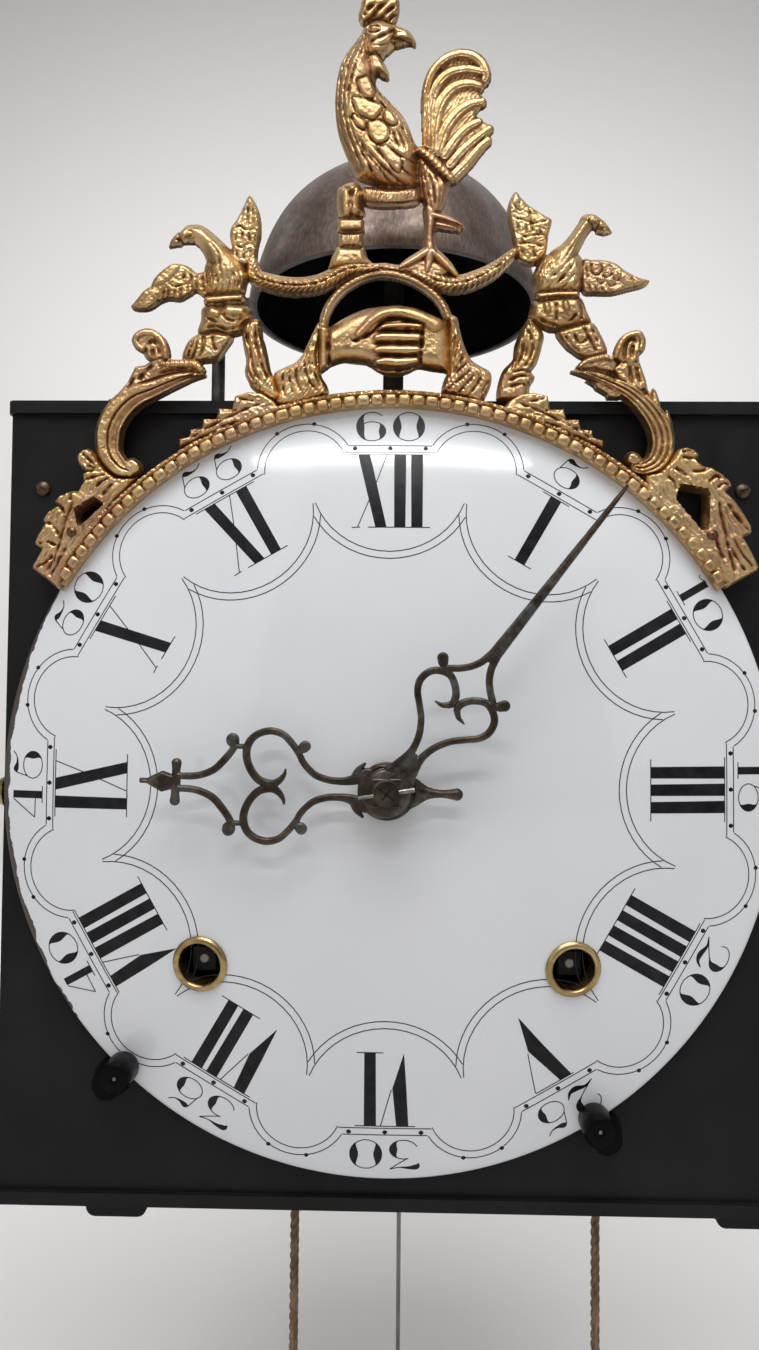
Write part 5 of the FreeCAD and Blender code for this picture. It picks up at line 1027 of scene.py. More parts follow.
LEAF_R = [(104.1, 196.8), (113.1, 202.2), (113.4, 203.2), (111.6, 207.0), (109.2, 211.6), (108.7, 212.3),
        (111.4, 213.6), (111.0, 215.9), (109.1, 219.4), (106.1, 223.8), (103.4, 226.3), (105.4, 228.1),
        (104.7, 229.6), (102.5, 231.8), (99.1, 233.9), (96.3, 234.5), (94.7, 236.1), (95.6, 237.8), (94.1, 239.4),
        (91.5, 240.2), (89.4, 239.7), (88.4, 238.8), (86.2, 235.6), (82.7, 232.4), (78.3, 231.4), (78.9, 225.0),
        (87.1, 216.1), (95.2, 205.3)]
WINDOW_L = [(-97.4, 219.6), (-92.0, 222.9), (-89.6, 221.4), (-96.2, 215.1)]
WINDOW_R = [(89.4, 227.7), (96.9, 226.3), (97.4, 225.1), (96.9, 214.9), (96.0, 214.5), (88.7, 223.1), (88.2, 223.7)]
VEINS_L = [[(-107.6, 198.2), (-104.4, 203.8), (-102.3, 210.2), (-100.4, 217.2), (-98.1, 223.1)],
        [(-110.1, 201.4), (-106.6, 203.2), (-104.3, 206.1)], [(-109.9, 209.1), (-106.1, 209.5), (-103.2, 208.4)],
        [(-107.5, 215.9), (-104.8, 214.9), (-102.4, 211.4)], [(-104.3, 221.9), (-101.9, 220.1), (-100.6, 216.6)],
        [(-99.3, 225.5), (-99.2, 222.5)], [(-95.4, 229.0), (-91.9, 230.1), (-88.1, 230.9)],
        [(-96.6, 235.6), (-94.3, 233.7), (-91.3, 232.4)], [(-96.3, 237.6), (-93.8, 235.4), (-91.7, 233.7)],
        [(-89.4, 224.0), (-87.1, 226.9), (-84.3, 228.7)], [(-92.9, 225.3), (-90.1, 228.3), (-87.2, 229.9)],
        [(-105.3, 198.5), (-102.5, 203.8), (-100.2, 208.4)], [(-95.4, 231.9), (-92.5, 231.9), (-89.6, 231.6)]]
VEINS_R = [[(105.9, 198.4), (105.2, 203.2), (103.7, 208.5), (103.1, 212.7), (101.5, 218.7), (100.9, 225.1)],
        [(111.5, 202.6), (107.8, 207.0), (105.3, 211.1)], [(109.0, 201.3), (105.9, 206.3), (104.3, 209.8)],
        [(110.6, 213.8), (107.2, 216.8), (104.7, 220.6)], [(108.8, 215.9), (105.9, 218.7), (103.8, 222.5)],
        [(104.7, 228.2), (102.2, 228.6), (100.3, 227.0)], [(102.5, 230.2), (99.7, 230.8), (97.8, 228.9)],
        [(97.8, 233.4), (95.3, 232.4), (92.5, 232.4)], [(94.7, 236.5), (92.2, 236.5), (89.6, 236.9)],
        [(94.1, 238.5), (91.5, 238.8), (89.3, 238.1)], [(87.1, 233.3), (89.6, 232.4), (91.5, 230.8)],
        [(84.9, 230.8), (87.1, 229.2), (88.0, 226.3)], [(99.6, 214.2), (100.3, 209.8), (102.7, 204.7)]]
SPRIG = [(-65.8, 239.6), (-66.4, 242.2), (-63.0, 243.0), (-62.6, 245.4), (-59.2, 245.8), (-58.6, 248.6),
        (-54.6, 248.8), (-53.8, 252.0), (-49.6, 251.8), (-48.8, 256.0), (-44.6, 257.2), (-40.0, 256.8),
        (-36.4, 254.4), (-34.0, 251.0), (-50.0, 246.0)]
SPRIG_LINES = [[(-64.4, 241.0), (-56.0, 246.0), (-47.0, 250.6), (-39.0, 253.6)], [(-61.6, 244.4), (-57.0, 245.8)],
        [(-57.6, 247.6), (-52.6, 248.6)], [(-52.6, 250.8), (-47.6, 251.2)], [(-47.6, 254.8), (-42.6, 253.8)],
        [(-60.0, 242.2), (-54.6, 243.8)], [(-53.0, 246.0), (-47.0, 247.6)]]
for mirror, leaf, veins, window in ((1, LEAF_L, VEINS_L, WINDOW_L), (-1, LEAF_R, VEINS_R, WINDOW_R)):
    def across_dial(points):
        return [(mirror * x, z) for x, z in points]
    band.form(leaf, 2.7, 1.5, 0.3, chase_hair(58 * mirror, 1.5, 0.16), smooth=False)
    band.form(across_dial(SPRIG), 2.4, 1.4, 0.4, stipple, smooth=False)
    for vein in veins:
        band.groove(vein, 0.45, 1.2)
    for line in SPRIG_LINES:
        band.groove(across_dial(line), 0.4, 1.0)
    band.pierce(window)
rim_cut = (radius - (BAND_MID - BAND_HALF_W)) * FALL
band.h = np.minimum(band.h, np.where(radius < 119.4, rim_cut, 99))
brass_band = band.cast("beaded_band", BAND_CUT, 1.0, skin=0.12)
lower = bmesh.new()
lower.from_mesh(brass_band.data)
for vert in lower.verts:
    if vert.co.y > (BAND_CUT + 0.5) * MM and math.hypot(vert.co.x / MM, vert.co.z / MM - DIAL_Z) > DIAL_R + 0.45:
        vert.co.y = CAST_BACK * MM
lower.to_mesh(brass_band.data)
lower.free()
BEAD_R, BEAD_PITCH, BEAD_Y = 119.45, 4.26, -82.3
BEAD_W, BEAD_D, BEAD_H, BEAD_SQUARE = 1.9, 2.0, 1.55, 0.48
bead_mesh = bpy.data.meshes.new("bead_row")
row = bmesh.new()
count = int(2 * math.radians(BAND_HALF) * BEAD_R / BEAD_PITCH)
for k in range(count):
    angle = (k - (count - 1) / 2) * BEAD_PITCH / BEAD_R
    place = Matrix.Translation((0, 0, DIAL_Z * MM)) @ Matrix.Rotation(angle, 4, "Y")
    place @= Matrix.Translation((0, BEAD_Y * MM, BEAD_R * MM))
    wide = BEAD_W + 0.1 * math.sin(5.1 * k)
    ball = bmesh.ops.create_icosphere(row, subdivisions=3, radius=1.0)["verts"]
    for vert in ball:
        cushion = Vector([math.copysign(abs(c) ** BEAD_SQUARE, c) for c in vert.co])
        vert.co = place @ (Vector((cushion.x * wide, cushion.y * BEAD_D, cushion.z * BEAD_H)) * MM)
row.to_mesh(bead_mesh)
row.free()
beads = linked("bead_row", bead_mesh)
bead_mesh.polygons.foreach_set("use_smooth", [True] * len(bead_mesh.polygons))
settle(joined("beaded_band", [brass_band, beads]), cast_brass, "case", "cast_brass", "fronton_band")

# Nails: two browned brass nails with domed heads.
# They pin the leaf ends to the panel.
browned, tree, shader = fresh("browned_brass", (0.16, 0.085, 0.045), 0.36, 1.0)
vary(tree, shader, "Base Color", noise(tree, 600, 4), (0.3, (0.07, 0.036, 0.02)), (0.7, (0.26, 0.15, 0.08)))
NAIL_X, NAIL_Z = 98.5, 212.5
NAIL_SECTION = [(0, -85.0), (0.9, -84.8), (1.6, -84.2), (1.9, -83.4), (1.9, -82.6), (1.0, -82.5),
                (1.0, -73.8), (0, -73.8)]
nails = [turned("nail", NAIL_SECTION, (x, 0, NAIL_Z), steps=28) for x in (-NAIL_X, NAIL_X)]
settle(joined("leaf_nails", nails), browned, "case", "cast_brass", "fronton_nails")


# Side figures: a scrolled acanthus bracket with a curl, and a bird on draped legs standing between it and
# the band. The two sides are alike but not mirrored, so each has its own table of outlines in mm.
def bracket_and_bird(x0, x1, p):
    side = Casting(x0, x1, 226, 324, 0.26)
    for leaf in p["leaves"]:
        side.form(leaf, 2.9, 1.1, 0.3, stipple, smooth=False)
    side.bar(p["stem"], 4.2, 0.3, p["mould"], 1.5)
    side.bar(p["volute"], 4.4, 0.3, None, 1.4)
    side.bar(p["roll"], 1.6, 2.8, lambda u, v, run, half: 0.2 * np.cos(run * 4.1))
    side.form(p["curl"], 3.6, 1.6, 0.3)
    side.bar(p["curl_roll"], 1.6, 3.3)
    for line in p["hollows"] + p["curl_lines"]:
        side.groove(line, 0.5, 1.3)
    side.form(p["outer_leg"], 3.6, 2.2, 0.2, stipple)
    side.form(p["inner_leg"], 3.8, 2.2, 0.2, chase_hair(90, 1.4, 0.16))
    for line in p["outer_lines"] + p["inner_lines"]:
        side.groove(line, 0.4, 1.1)
    side.form(p["low_wing"], 2.4, 1.3, 0.3, stipple)
    for lobe in p["low_lobes"]:
        side.form(lobe, 1.2, 1.4, 2.3)
    side.form(p["high_wing"], 2.6, 1.4, 0.4, stipple)
    for line in p["low_feathers"] + p["high_feathers"]:
        side.groove(line, 0.34, 0.6)
    side.form(p["breast"], 5.4, 4.6, 0.4, chase_hair(84, 0.85, 0.12))
    side.bar(p["neck"], 6.2, 0.4)
    for line in p["breast_lines"]:
        side.groove(line, 0.34, 0.5)
    for line in p["neck_lines"]:
        side.groove(line, 0.3, 0.6)
    side.bar(p["head"], 6.2, 0.5)
    side.form(p["beak"], 4.0, 1.8, 0.3, smooth=False)
    side.groove(p["gape"], 0.35, 1.2)
    side.groove(oval(*p["eye"], 1.2, 0.9, np.linspace(0, 6.2, 9)), 0.26, 0.7)
    side.bar(p["girdle"], 4.4, 0.6)
    side.form(p["knot"], 4.8, 3.4, 0.3)
    for bulb in p["bulbs"]:
        side.bar(bulb, 6.0, 0.6)
    for line in p["knot_lines"]:
        side.groove(line, 0.42, 1.1)
    return side


def left_mould(u, v, run, half):
    return -1.1 * np.exp(-((v - 0.02) / 0.09) ** 2) - 1.3 * np.exp(-((v + 0.46) / 0.24) ** 2)


def right_mould(u, v, run, half):
    return -0.9 * sum(np.exp(-((v - k) / 0.12) ** 2) for k in (-0.45, 0.0, 0.48))


LEFT = {
    "mould": left_mould,
    "stem": [(-82.0, 232.6, 2.41), (-85.1, 234.0, 3.33), (-88.2, 238.1, 3.9), (-88.9, 243.1, 4.36),
            (-88.0, 247.7, 4.47), (-85.2, 252.5, 4.36), (-80.9, 256.2, 4.01), (-75.4, 258.4, 3.21),
            (-69.0, 261.1, 2.64), (-63.2, 262.9, 1.72), (-58.8, 263.3, 0.57)],
    "volute": [(-81.3, 234.2, 2.64), (-80.7, 233.7, 2.64)],
    "leaves": [[(-89.4, 254.3), (-89.1, 255.7), (-86.1, 255.7), (-85.8, 257.9), (-83.2, 260.9), (-82.5, 262.5),
            (-80.8, 266.0), (-77.9, 266.4), (-75.0, 268.3), (-71.8, 269.5), (-68.5, 267.9), (-65.6, 268.0),
            (-62.4, 268.3), (-59.7, 266.8), (-58.4, 263.3), (-60.8, 263.3), (-64.9, 264.0), (-72.0, 262.8),
            (-78.9, 259.9), (-84.8, 256.6)]],
    "roll": [(-72.3, 266.6, 0.92), (-69.1, 266.6, 1.38), (-65.6, 266.6, 1.49), (-62.1, 266.5, 1.49),
            (-59.8, 264.9, 1.15)],
    "hollows": [[(-74.9, 262.8), (-70.2, 264.4), (-65.5, 264.8), (-60.8, 263.9)],
            [(-80.1, 261.2), (-77.3, 264.3), (-75.0, 266.6)], [(-83.3, 258.4), (-80.8, 262.5)]],
    "curl": [(-77.6, 268.7), (-78.6, 270.8), (-80.3, 272.0), (-81.7, 274.1), (-81.0, 276.1), (-79.0, 277.5),
            (-75.7, 277.8), (-73.1, 276.4), (-71.0, 274.1), (-70.0, 271.1), (-70.3, 268.8), (-74.4, 267.3)],
    "curl_roll": [(-78.2, 271.3, 0.8), (-80.0, 272.6, 1.15), (-80.8, 274.5, 1.15), (-79.1, 276.3, 1.26),
            (-76.0, 276.6, 1.26), (-73.3, 275.0, 1.26), (-71.6, 272.3, 1.15), (-71.1, 268.9, 0.92)],
    "curl_lines": [[(-77.2, 269.3), (-77.1, 272.3), (-75.2, 273.9), (-73.5, 272.0), (-72.8, 268.2)],
            [(-75.0, 268.8), (-75.3, 271.4)]],
    "outer_leg": [(-59.3, 276.8), (-61.0, 276.5), (-63.6, 274.7), (-65.2, 272.0), (-65.8, 268.7), (-61.6, 267.2),
            (-57.3, 267.4), (-54.6, 268.0), (-52.2, 271.2), (-49.9, 275.5), (-54.1, 277.2)],
    "outer_lines": [[(-62.5, 273.6), (-63.5, 271.0), (-64.1, 268.4)],
            [(-61.1, 274.6), (-61.5, 271.5), (-62.8, 268.1)], [(-59.1, 276.0), (-59.2, 272.2), (-60.6, 268.4)],
            [(-56.5, 275.8), (-56.1, 273.2), (-55.0, 270.8)]],
    "inner_leg": [(-46.7, 279.4), (-42.8, 281.2), (-41.0, 279.4), (-40.6, 275.6), (-39.8, 273.2), (-38.9, 269.3),
            (-38.0, 265.0), (-36.6, 261.7), (-35.1, 256.9), (-36.7, 254.8), (-40.6, 256.9), (-43.9, 259.2),
            (-45.0, 261.2), (-46.1, 264.1), (-45.7, 267.9), (-46.5, 271.7), (-47.1, 276.0)],
    "inner_lines": [[(-44.7, 279.6), (-45.2, 275.1), (-44.2, 270.3), (-43.2, 265.0), (-40.6, 260.7)],
            [(-42.7, 279.6), (-42.7, 274.6), (-41.6, 269.8), (-40.1, 265.0), (-37.8, 260.8)],
            [(-45.8, 276.8), (-45.3, 273.2)], [(-44.9, 264.6), (-43.5, 261.7), (-41.1, 258.8)],
            [(-41.6, 278.4), (-41.5, 276.0)]],
    "low_wing": [(-61.8, 296.0), (-63.9, 297.8), (-66.3, 298.7), (-69.2, 299.0), (-72.0, 297.4), (-74.9, 294.5),
            (-76.1, 292.0), (-78.2, 290.5), (-81.0, 287.2), (-82.5, 285.1), (-80.5, 284.0), (-76.5, 284.3),
            (-73.2, 286.4), (-70.4, 287.4), (-67.0, 287.1), (-63.7, 288.8), (-61.7, 289.9), (-58.8, 288.1),
            (-57.6, 290.4), (-58.4, 296.2)],
    "low_lobes": [[(-76.0, 291.8), (-74.8, 294.6), (-71.9, 297.3), (-69.2, 298.8), (-66.7, 297.9), (-68.5, 295.2),
            (-70.5, 293.1), (-73.4, 291.7)], [(-82.4, 285.1), (-80.7, 287.2), (-78.0, 290.5), (-74.8, 290.9),
            (-72.8, 289.4), (-73.7, 287.0), (-76.6, 284.5), (-80.4, 284.1)]],
    "low_feathers": [[(-68.7, 294.7), (-67.4, 293.3), (-65.8, 294.3), (-65.6, 296.0)], [(-66.3, 293.3),
            (-64.3, 292.6), (-63.2, 294.0), (-63.7, 295.7)], [(-70.5, 292.4), (-68.6, 291.4), (-66.2, 292.0),
            (-62.9, 292.4)], [(-72.0, 290.4), (-72.4, 286.8)], [(-70.4, 290.8), (-70.8, 287.3)],
            [(-68.6, 290.8), (-68.5, 287.2)], [(-66.7, 291.2), (-66.6, 287.2)], [(-64.8, 291.7), (-64.2, 288.6)],
            [(-63.3, 292.2), (-62.7, 289.7)], [(-61.9, 295.3), (-61.5, 290.4)], [(-60.0, 296.0), (-59.1, 289.0)]],
    "high_wing": [(-45.4, 320.9), (-47.1, 317.7), (-49.0, 313.8), (-51.0, 310.7), (-51.4, 307.8), (-50.6, 303.9),
            (-50.8, 300.1), (-46.8, 298.1), (-43.1, 300.0), (-42.5, 303.9), (-41.6, 308.7), (-41.9, 314.0),
            (-43.2, 317.9)],
    "high_feathers": [[(-50.6, 309.6), (-48.4, 310.9), (-46.0, 309.5), (-43.7, 309.8), (-41.8, 308.6)],
            [(-50.5, 305.3), (-47.8, 304.0), (-45.5, 305.1), (-42.5, 303.7)], [(-47.2, 316.5), (-48.0, 311.5)],
            [(-45.6, 318.9), (-45.8, 310.5)], [(-44.1, 317.4), (-43.8, 310.2)], [(-49.3, 308.6), (-49.6, 305.7)],
            [(-47.4, 309.1), (-47.4, 305.0)], [(-45.3, 309.1), (-44.9, 305.4)], [(-43.3, 308.1), (-43.3, 304.7)],
            [(-49.3, 303.4), (-48.8, 300.5)], [(-46.9, 303.4), (-46.6, 300.0)], [(-44.8, 303.4), (-44.7, 300.5)]],
    "neck": [(-52.3, 296.2, 6.27), (-53.9, 299.6, 4.88), (-56.0, 303.0, 3.81), (-58.6, 306.2, 3.16),
            (-61.5, 308.4, 3.07), (-63.9, 308.6, 2.97)],
    "neck_lines": [[(-59.3, 304.9), (-57.3, 301.3), (-56.7, 297.2)],
            [(-61.2, 305.6), (-58.7, 302.5), (-57.5, 298.9)], [(-56.9, 304.9), (-54.7, 301.5), (-54.2, 297.2)]],
    "breast": [(-58.9, 299.1), (-59.3, 294.3), (-58.5, 288.6), (-47.8, 288.6), (-46.0, 292.3), (-45.2, 295.7),
            (-49.2, 299.6), (-52.1, 302.1), (-55.5, 303.0)],
    "breast_lines": [[(-57.4, 297.4), (-56.7, 293.3), (-57.3, 289.5)],
            [(-55.7, 295.7), (-54.9, 292.4), (-55.6, 288.8)], [(-54.0, 296.4), (-53.2, 292.8), (-53.7, 289.0)],
            [(-52.3, 295.7), (-51.1, 292.4), (-51.9, 289.2)], [(-50.4, 296.7), (-49.4, 293.3), (-50.0, 289.7)],
            [(-48.5, 297.2), (-47.7, 293.8), (-48.6, 290.4)], [(-58.4, 294.8), (-57.8, 290.9)],
            [(-53.0, 298.1), (-51.5, 295.2)], [(-54.9, 298.6), (-54.2, 295.7)]],
    "head": [(-62.0, 308.7, 2.97), (-64.1, 308.5, 2.97), (-65.6, 307.8, 2.23)],
    "beak": [(-67.8, 309.2), (-65.9, 306.7), (-66.7, 305.0), (-68.8, 304.7), (-70.9, 304.3), (-70.3, 306.3),
            (-69.3, 307.8)],
    "gape": [(-70.6, 304.7), (-68.6, 306.3), (-66.9, 306.3)],
    "eye": (-64.2, 308.0),
    "girdle": [(-58.1, 287.0, 1.39), (-52.8, 287.5, 1.49), (-47.5, 287.9, 1.39)],
    "knot": [(-59.5, 285.1), (-60.2, 280.8), (-61.2, 277.1), (-58.9, 276.0), (-55.1, 277.2), (-51.3, 275.8),
            (-47.4, 276.5), (-46.5, 279.3), (-44.3, 281.2), (-44.1, 283.7), (-46.6, 285.5), (-52.8, 286.0)],
    "bulbs": [[(-56.6, 283.1, 2.51), (-55.1, 282.5, 2.32)], [(-51.3, 283.5, 2.69), (-47.5, 283.2, 2.42)]],
    "knot_lines": [[(-53.4, 284.9), (-52.7, 281.8), (-49.9, 280.4), (-46.5, 281.3)],
            [(-58.6, 281.3), (-56.5, 280.6), (-54.6, 279.6)], [(-59.4, 278.0), (-56.0, 278.7), (-51.8, 277.7),
            (-47.7, 278.4)]],
}
RIGHT = {
    "mould": right_mould,
    "stem": [(76.3, 234.2, 2.21), (78.8, 234.1, 2.67), (82.4, 236.1, 3.56), (84.3, 240.2, 3.99),
            (84.2, 244.9, 3.99), (82.2, 249.6, 3.77), (79.2, 253.6, 3.42), (75.3, 257.2, 2.99), (70.3, 260.1, 2.49),
            (65.3, 262.2, 1.92), (60.6, 263.9, 1.28), (56.5, 264.5, 0.43)],
    "volute": [(75.3, 237.0, 2.35), (75.8, 236.7, 2.35)],
    "leaves": [[(88.4, 244.2), (87.8, 248.2), (86.7, 251.8), (86.0, 252.6), (85.0, 250.7), (84.5, 248.2),
            (85.9, 244.2)], [(84.5, 251.4), (83.8, 255.4), (82.7, 258.6), (81.8, 259.4), (81.1, 257.6),
            (80.8, 255.7), (82.4, 251.8)], [(80.4, 257.6), (79.7, 261.4), (78.6, 264.8), (77.6, 267.6),
            (75.3, 268.4), (71.4, 267.7), (68.9, 265.5), (71.0, 261.9), (75.3, 258.6)], [(57.5, 265.5),
            (58.9, 267.3), (60.5, 268.4), (62.4, 269.1), (66.7, 269.9), (69.2, 269.1), (71.0, 267.0), (69.6, 264.1),
            (65.3, 264.4), (59.9, 264.8)], [(67.6, 255.9), (67.1, 257.0), (64.0, 258.8), (63.3, 259.9),
            (60.7, 261.5), (65.3, 261.5), (71.0, 258.6), (73.1, 256.8), (71.0, 255.7)]],
    "roll": [(58.9, 266.1, 0.57), (61.0, 267.6, 0.93), (63.5, 268.3, 1.0), (66.7, 269.0, 0.93),
            (68.9, 268.2, 0.64)],
    "hollows": [[(60.3, 265.3), (63.9, 265.1), (67.4, 263.7), (71.7, 261.2)],
            [(77.8, 260.5), (76.7, 263.7), (76.5, 266.2)], [(75.3, 260.4), (74.6, 263.7), (74.4, 266.6)],
            [(79.5, 255.7), (78.5, 259.4)]],
    "curl": [(69.6, 268.4), (70.3, 271.7), (71.4, 274.1), (73.1, 276.1), (75.3, 277.1), (77.6, 277.2),
            (79.1, 275.7), (79.6, 273.9), (79.1, 271.3), (77.5, 269.5), (77.2, 267.3), (73.1, 266.4)],
    "curl_roll": [(70.1, 269.0, 0.78), (71.1, 272.1, 1.0), (72.8, 274.8, 1.07), (75.1, 276.1, 1.07),
            (77.3, 276.1, 1.14), (78.3, 274.1, 1.14), (77.7, 271.4, 0.93)],
    "curl_lines": [[(72.8, 266.8), (72.8, 271.3), (73.9, 273.9), (75.6, 274.5), (76.5, 273.0)],
            [(74.7, 267.3), (74.9, 271.0), (75.6, 273.0)]],
    "outer_leg": [(62.4, 280.2), (65.2, 276.9), (67.6, 270.7), (64.1, 268.7), (59.8, 268.5), (56.7, 270.4),
            (54.1, 272.6), (51.5, 276.9), (55.8, 279.0)],
    "outer_lines": [[(59.9, 278.6), (62.0, 274.7), (64.3, 270.2)], [(57.1, 276.5), (58.9, 273.4), (61.6, 274.9)],
            [(62.6, 278.1), (64.7, 273.4)], [(54.2, 276.0), (56.3, 272.6), (58.9, 270.5)]],
    "inner_leg": [(43.6, 281.4), (41.4, 278.9), (40.0, 276.3), (38.6, 272.6), (38.1, 268.4), (35.3, 265.2),
            (33.9, 262.0), (33.1, 257.3), (34.1, 255.2), (42.2, 255.7), (43.5, 259.8), (45.0, 262.6), (43.9, 264.6),
            (45.7, 267.3), (47.2, 272.6), (47.6, 276.7)],
    "inner_lines": [[(41.9, 277.8), (43.5, 276.2), (43.9, 274.1)], [(41.4, 273.6), (40.8, 269.4), (38.6, 265.5)],
            [(44.5, 273.6), (43.5, 269.4), (41.3, 265.5)], [(38.2, 264.0), (40.8, 264.7), (43.7, 264.1)],
            [(36.7, 261.5), (40.8, 263.0), (44.0, 262.5)], [(35.7, 258.9), (40.3, 260.4), (42.6, 259.7)],
            [(42.6, 272.6), (42.1, 268.9)]],
    "low_wing": [(59.7, 299.6), (63.0, 300.0), (66.7, 299.9), (70.4, 298.8), (73.5, 296.4), (77.6, 294.3),
            (80.7, 293.4), (79.1, 291.6), (74.5, 290.3), (69.3, 289.0), (64.1, 289.0), (59.7, 290.1)],
    "low_lobes": [[(70.3, 296.8), (73.4, 295.8), (77.5, 293.9), (80.3, 293.3), (77.5, 292.0), (73.4, 291.5),
            (70.8, 293.6)]],
    "low_feathers": [[(62.6, 299.5), (62.6, 296.3), (64.0, 295.0), (65.7, 296.3), (65.5, 298.9)], [(65.7, 295.8),
            (67.2, 294.2), (69.0, 295.5), (68.4, 298.7)], [(69.0, 294.7), (70.5, 293.1), (71.8, 295.2)],
            [(64.0, 294.2), (65.1, 292.3), (67.2, 293.1)], [(67.2, 293.1), (68.7, 291.5), (70.5, 292.6)],
            [(61.6, 292.6), (62.1, 289.4)], [(63.6, 292.0), (64.3, 289.2)], [(65.7, 291.5), (66.6, 289.2)],
            [(67.9, 291.0), (69.0, 289.4)], [(60.9, 297.9), (61.5, 293.7)], [(72.3, 293.6), (73.9, 292.1)],
            [(74.9, 294.2), (76.5, 292.6)]],
    "high_wing": [(38.8, 322.0), (36.8, 318.6), (36.3, 314.9), (37.3, 309.6), (38.5, 304.3), (39.6, 300.0),
            (44.3, 298.4), (48.2, 302.1), (49.1, 308.0), (50.1, 312.7), (47.9, 314.3), (43.2, 317.4),
            (40.6, 319.9)],
    "high_feathers": [[(38.0, 317.8), (40.2, 315.7), (43.0, 317.5)], [(43.0, 317.0), (43.4, 313.2), (44.4, 308.0)],
            [(37.9, 313.2), (41.2, 312.7), (44.4, 311.6), (49.1, 312.5)], [(38.2, 309.5), (41.2, 307.3),
            (45.5, 307.9), (48.8, 307.9)], [(39.2, 304.7), (42.8, 305.2), (47.5, 304.1)],
            [(44.9, 315.4), (46.5, 313.2)], [(40.0, 318.6), (39.6, 316.4)], [(39.4, 311.7), (39.9, 308.5)],
            [(42.0, 311.4), (42.3, 308.2)], [(46.4, 310.6), (46.6, 308.2)], [(40.7, 306.9), (41.2, 305.1)],
            [(44.8, 307.2), (45.1, 305.1)], [(40.7, 303.2), (41.7, 300.6)], [(44.3, 303.7), (44.9, 300.5)]],
    "neck": [(53.2, 296.3, 6.43), (53.8, 300.0, 4.94), (55.7, 303.2, 3.09), (57.8, 306.4, 2.47),
            (59.7, 309.5, 2.21), (61.4, 311.9, 2.37)],
    "neck_lines": [[(61.6, 310.0), (59.9, 307.3), (58.3, 304.1), (56.7, 300.8)],
            [(57.8, 305.8), (55.7, 302.7), (54.2, 300.0)]],
    "breast": [(52.6, 302.8), (47.9, 301.2), (45.5, 297.9), (44.2, 294.2), (45.6, 289.0), (51.6, 288.7),
            (58.5, 289.5), (60.1, 293.7), (60.8, 296.3), (59.8, 300.1), (57.8, 302.2)],
    "breast_lines": [[(55.9, 300.0), (53.2, 296.7), (49.8, 294.1)], [(56.9, 298.3), (53.7, 294.1), (50.4, 291.3)],
            [(52.6, 300.5), (49.5, 297.8), (46.7, 295.1)], [(57.6, 295.8), (55.2, 292.6), (53.2, 290.0)],
            [(49.0, 300.0), (46.9, 297.4), (45.6, 294.7)], [(48.0, 294.2), (46.4, 291.6)],
            [(50.6, 293.1), (48.8, 290.2)], [(58.4, 293.1), (56.8, 290.5)],
            [(55.0, 296.3), (52.1, 292.6), (50.8, 290.2)]],
    "head": [(61.3, 312.2, 2.37), (62.6, 312.3, 2.37), (63.8, 311.8, 1.85)],
    "beak": [(64.0, 314.4), (66.7, 312.4), (68.1, 310.5), (69.1, 308.8), (66.6, 308.2), (64.3, 308.8),
            (63.5, 310.6)],
    "gape": [(68.6, 309.1), (66.6, 309.7), (64.8, 309.9)],
    "eye": (62.6, 311.9),
    "girdle": [(46.2, 288.3, 1.23), (52.1, 288.8, 1.23), (57.9, 288.9, 1.13)],
    "knot": [(44.9, 286.9), (43.4, 284.2), (43.5, 281.1), (48.0, 277.9), (51.4, 277.3), (59.9, 279.2),
            (62.5, 280.2), (61.2, 283.6), (58.8, 288.2), (51.6, 288.5)],
    "bulbs": [[(48.5, 285.1, 2.06), (48.8, 283.7, 1.95)], [(54.3, 285.6, 1.95), (54.7, 284.3, 1.85)]],
    "knot_lines": [[(51.5, 286.5), (51.6, 283.1), (51.4, 279.9)], [(53.2, 281.4), (55.8, 280.4), (58.0, 282.8)],
            [(46.0, 281.1), (49.6, 279.3), (51.6, 278.7)], [(58.9, 286.3), (59.9, 283.1), (58.9, 280.5)]],
}
for name, span, parts in (("left", (-96, -29), LEFT), ("right", (27, 94), RIGHT)):
    relief = bracket_and_bird(*span, parts)
    piece = relief.cast(name + "_scroll_and_bird", CAST_CUT, 1.3, back=0.16, skin=0.1, lean=LEAN, fill=1.0)
    settle(piece, cast_brass, "case", "cast_brass", "fronton_" + name)

# Arch: two gnarled trunks that rise from the band into a moulded arch.
# Leaf garlands run from it out to the birds, over a small mound for the cockerel's foot.
arch = Casting(-48, 44, 251, 305, 0.28)
TRUNKS = ([(-23.0, 280.0), (-24.7, 276.9), (-26.4, 273.2), (-27.8, 270.1), (-30.3, 267.3), (-33.7, 265.7),
        (-36.8, 263.8), (-36.5, 261.0), (-35.6, 258.2), (-36.4, 254.3), (-32.2, 253.3), (-25.7, 254.7),
        (-20.0, 256.8), (-20.0, 259.6), (-21.6, 262.4), (-22.2, 264.8), (-22.8, 270.4), (-22.4, 276.9)],
        [(17.7, 282.3), (20.5, 281.7), (21.4, 277.9), (22.7, 273.2), (24.9, 268.5), (28.0, 266.2), (31.0, 264.4),
        (31.4, 261.1), (30.1, 257.4), (28.1, 254.4), (24.4, 255.3), (17.0, 257.6), (15.8, 258.5), (16.7, 262.0),
        (18.0, 264.8), (18.2, 270.4), (17.9, 276.9)])
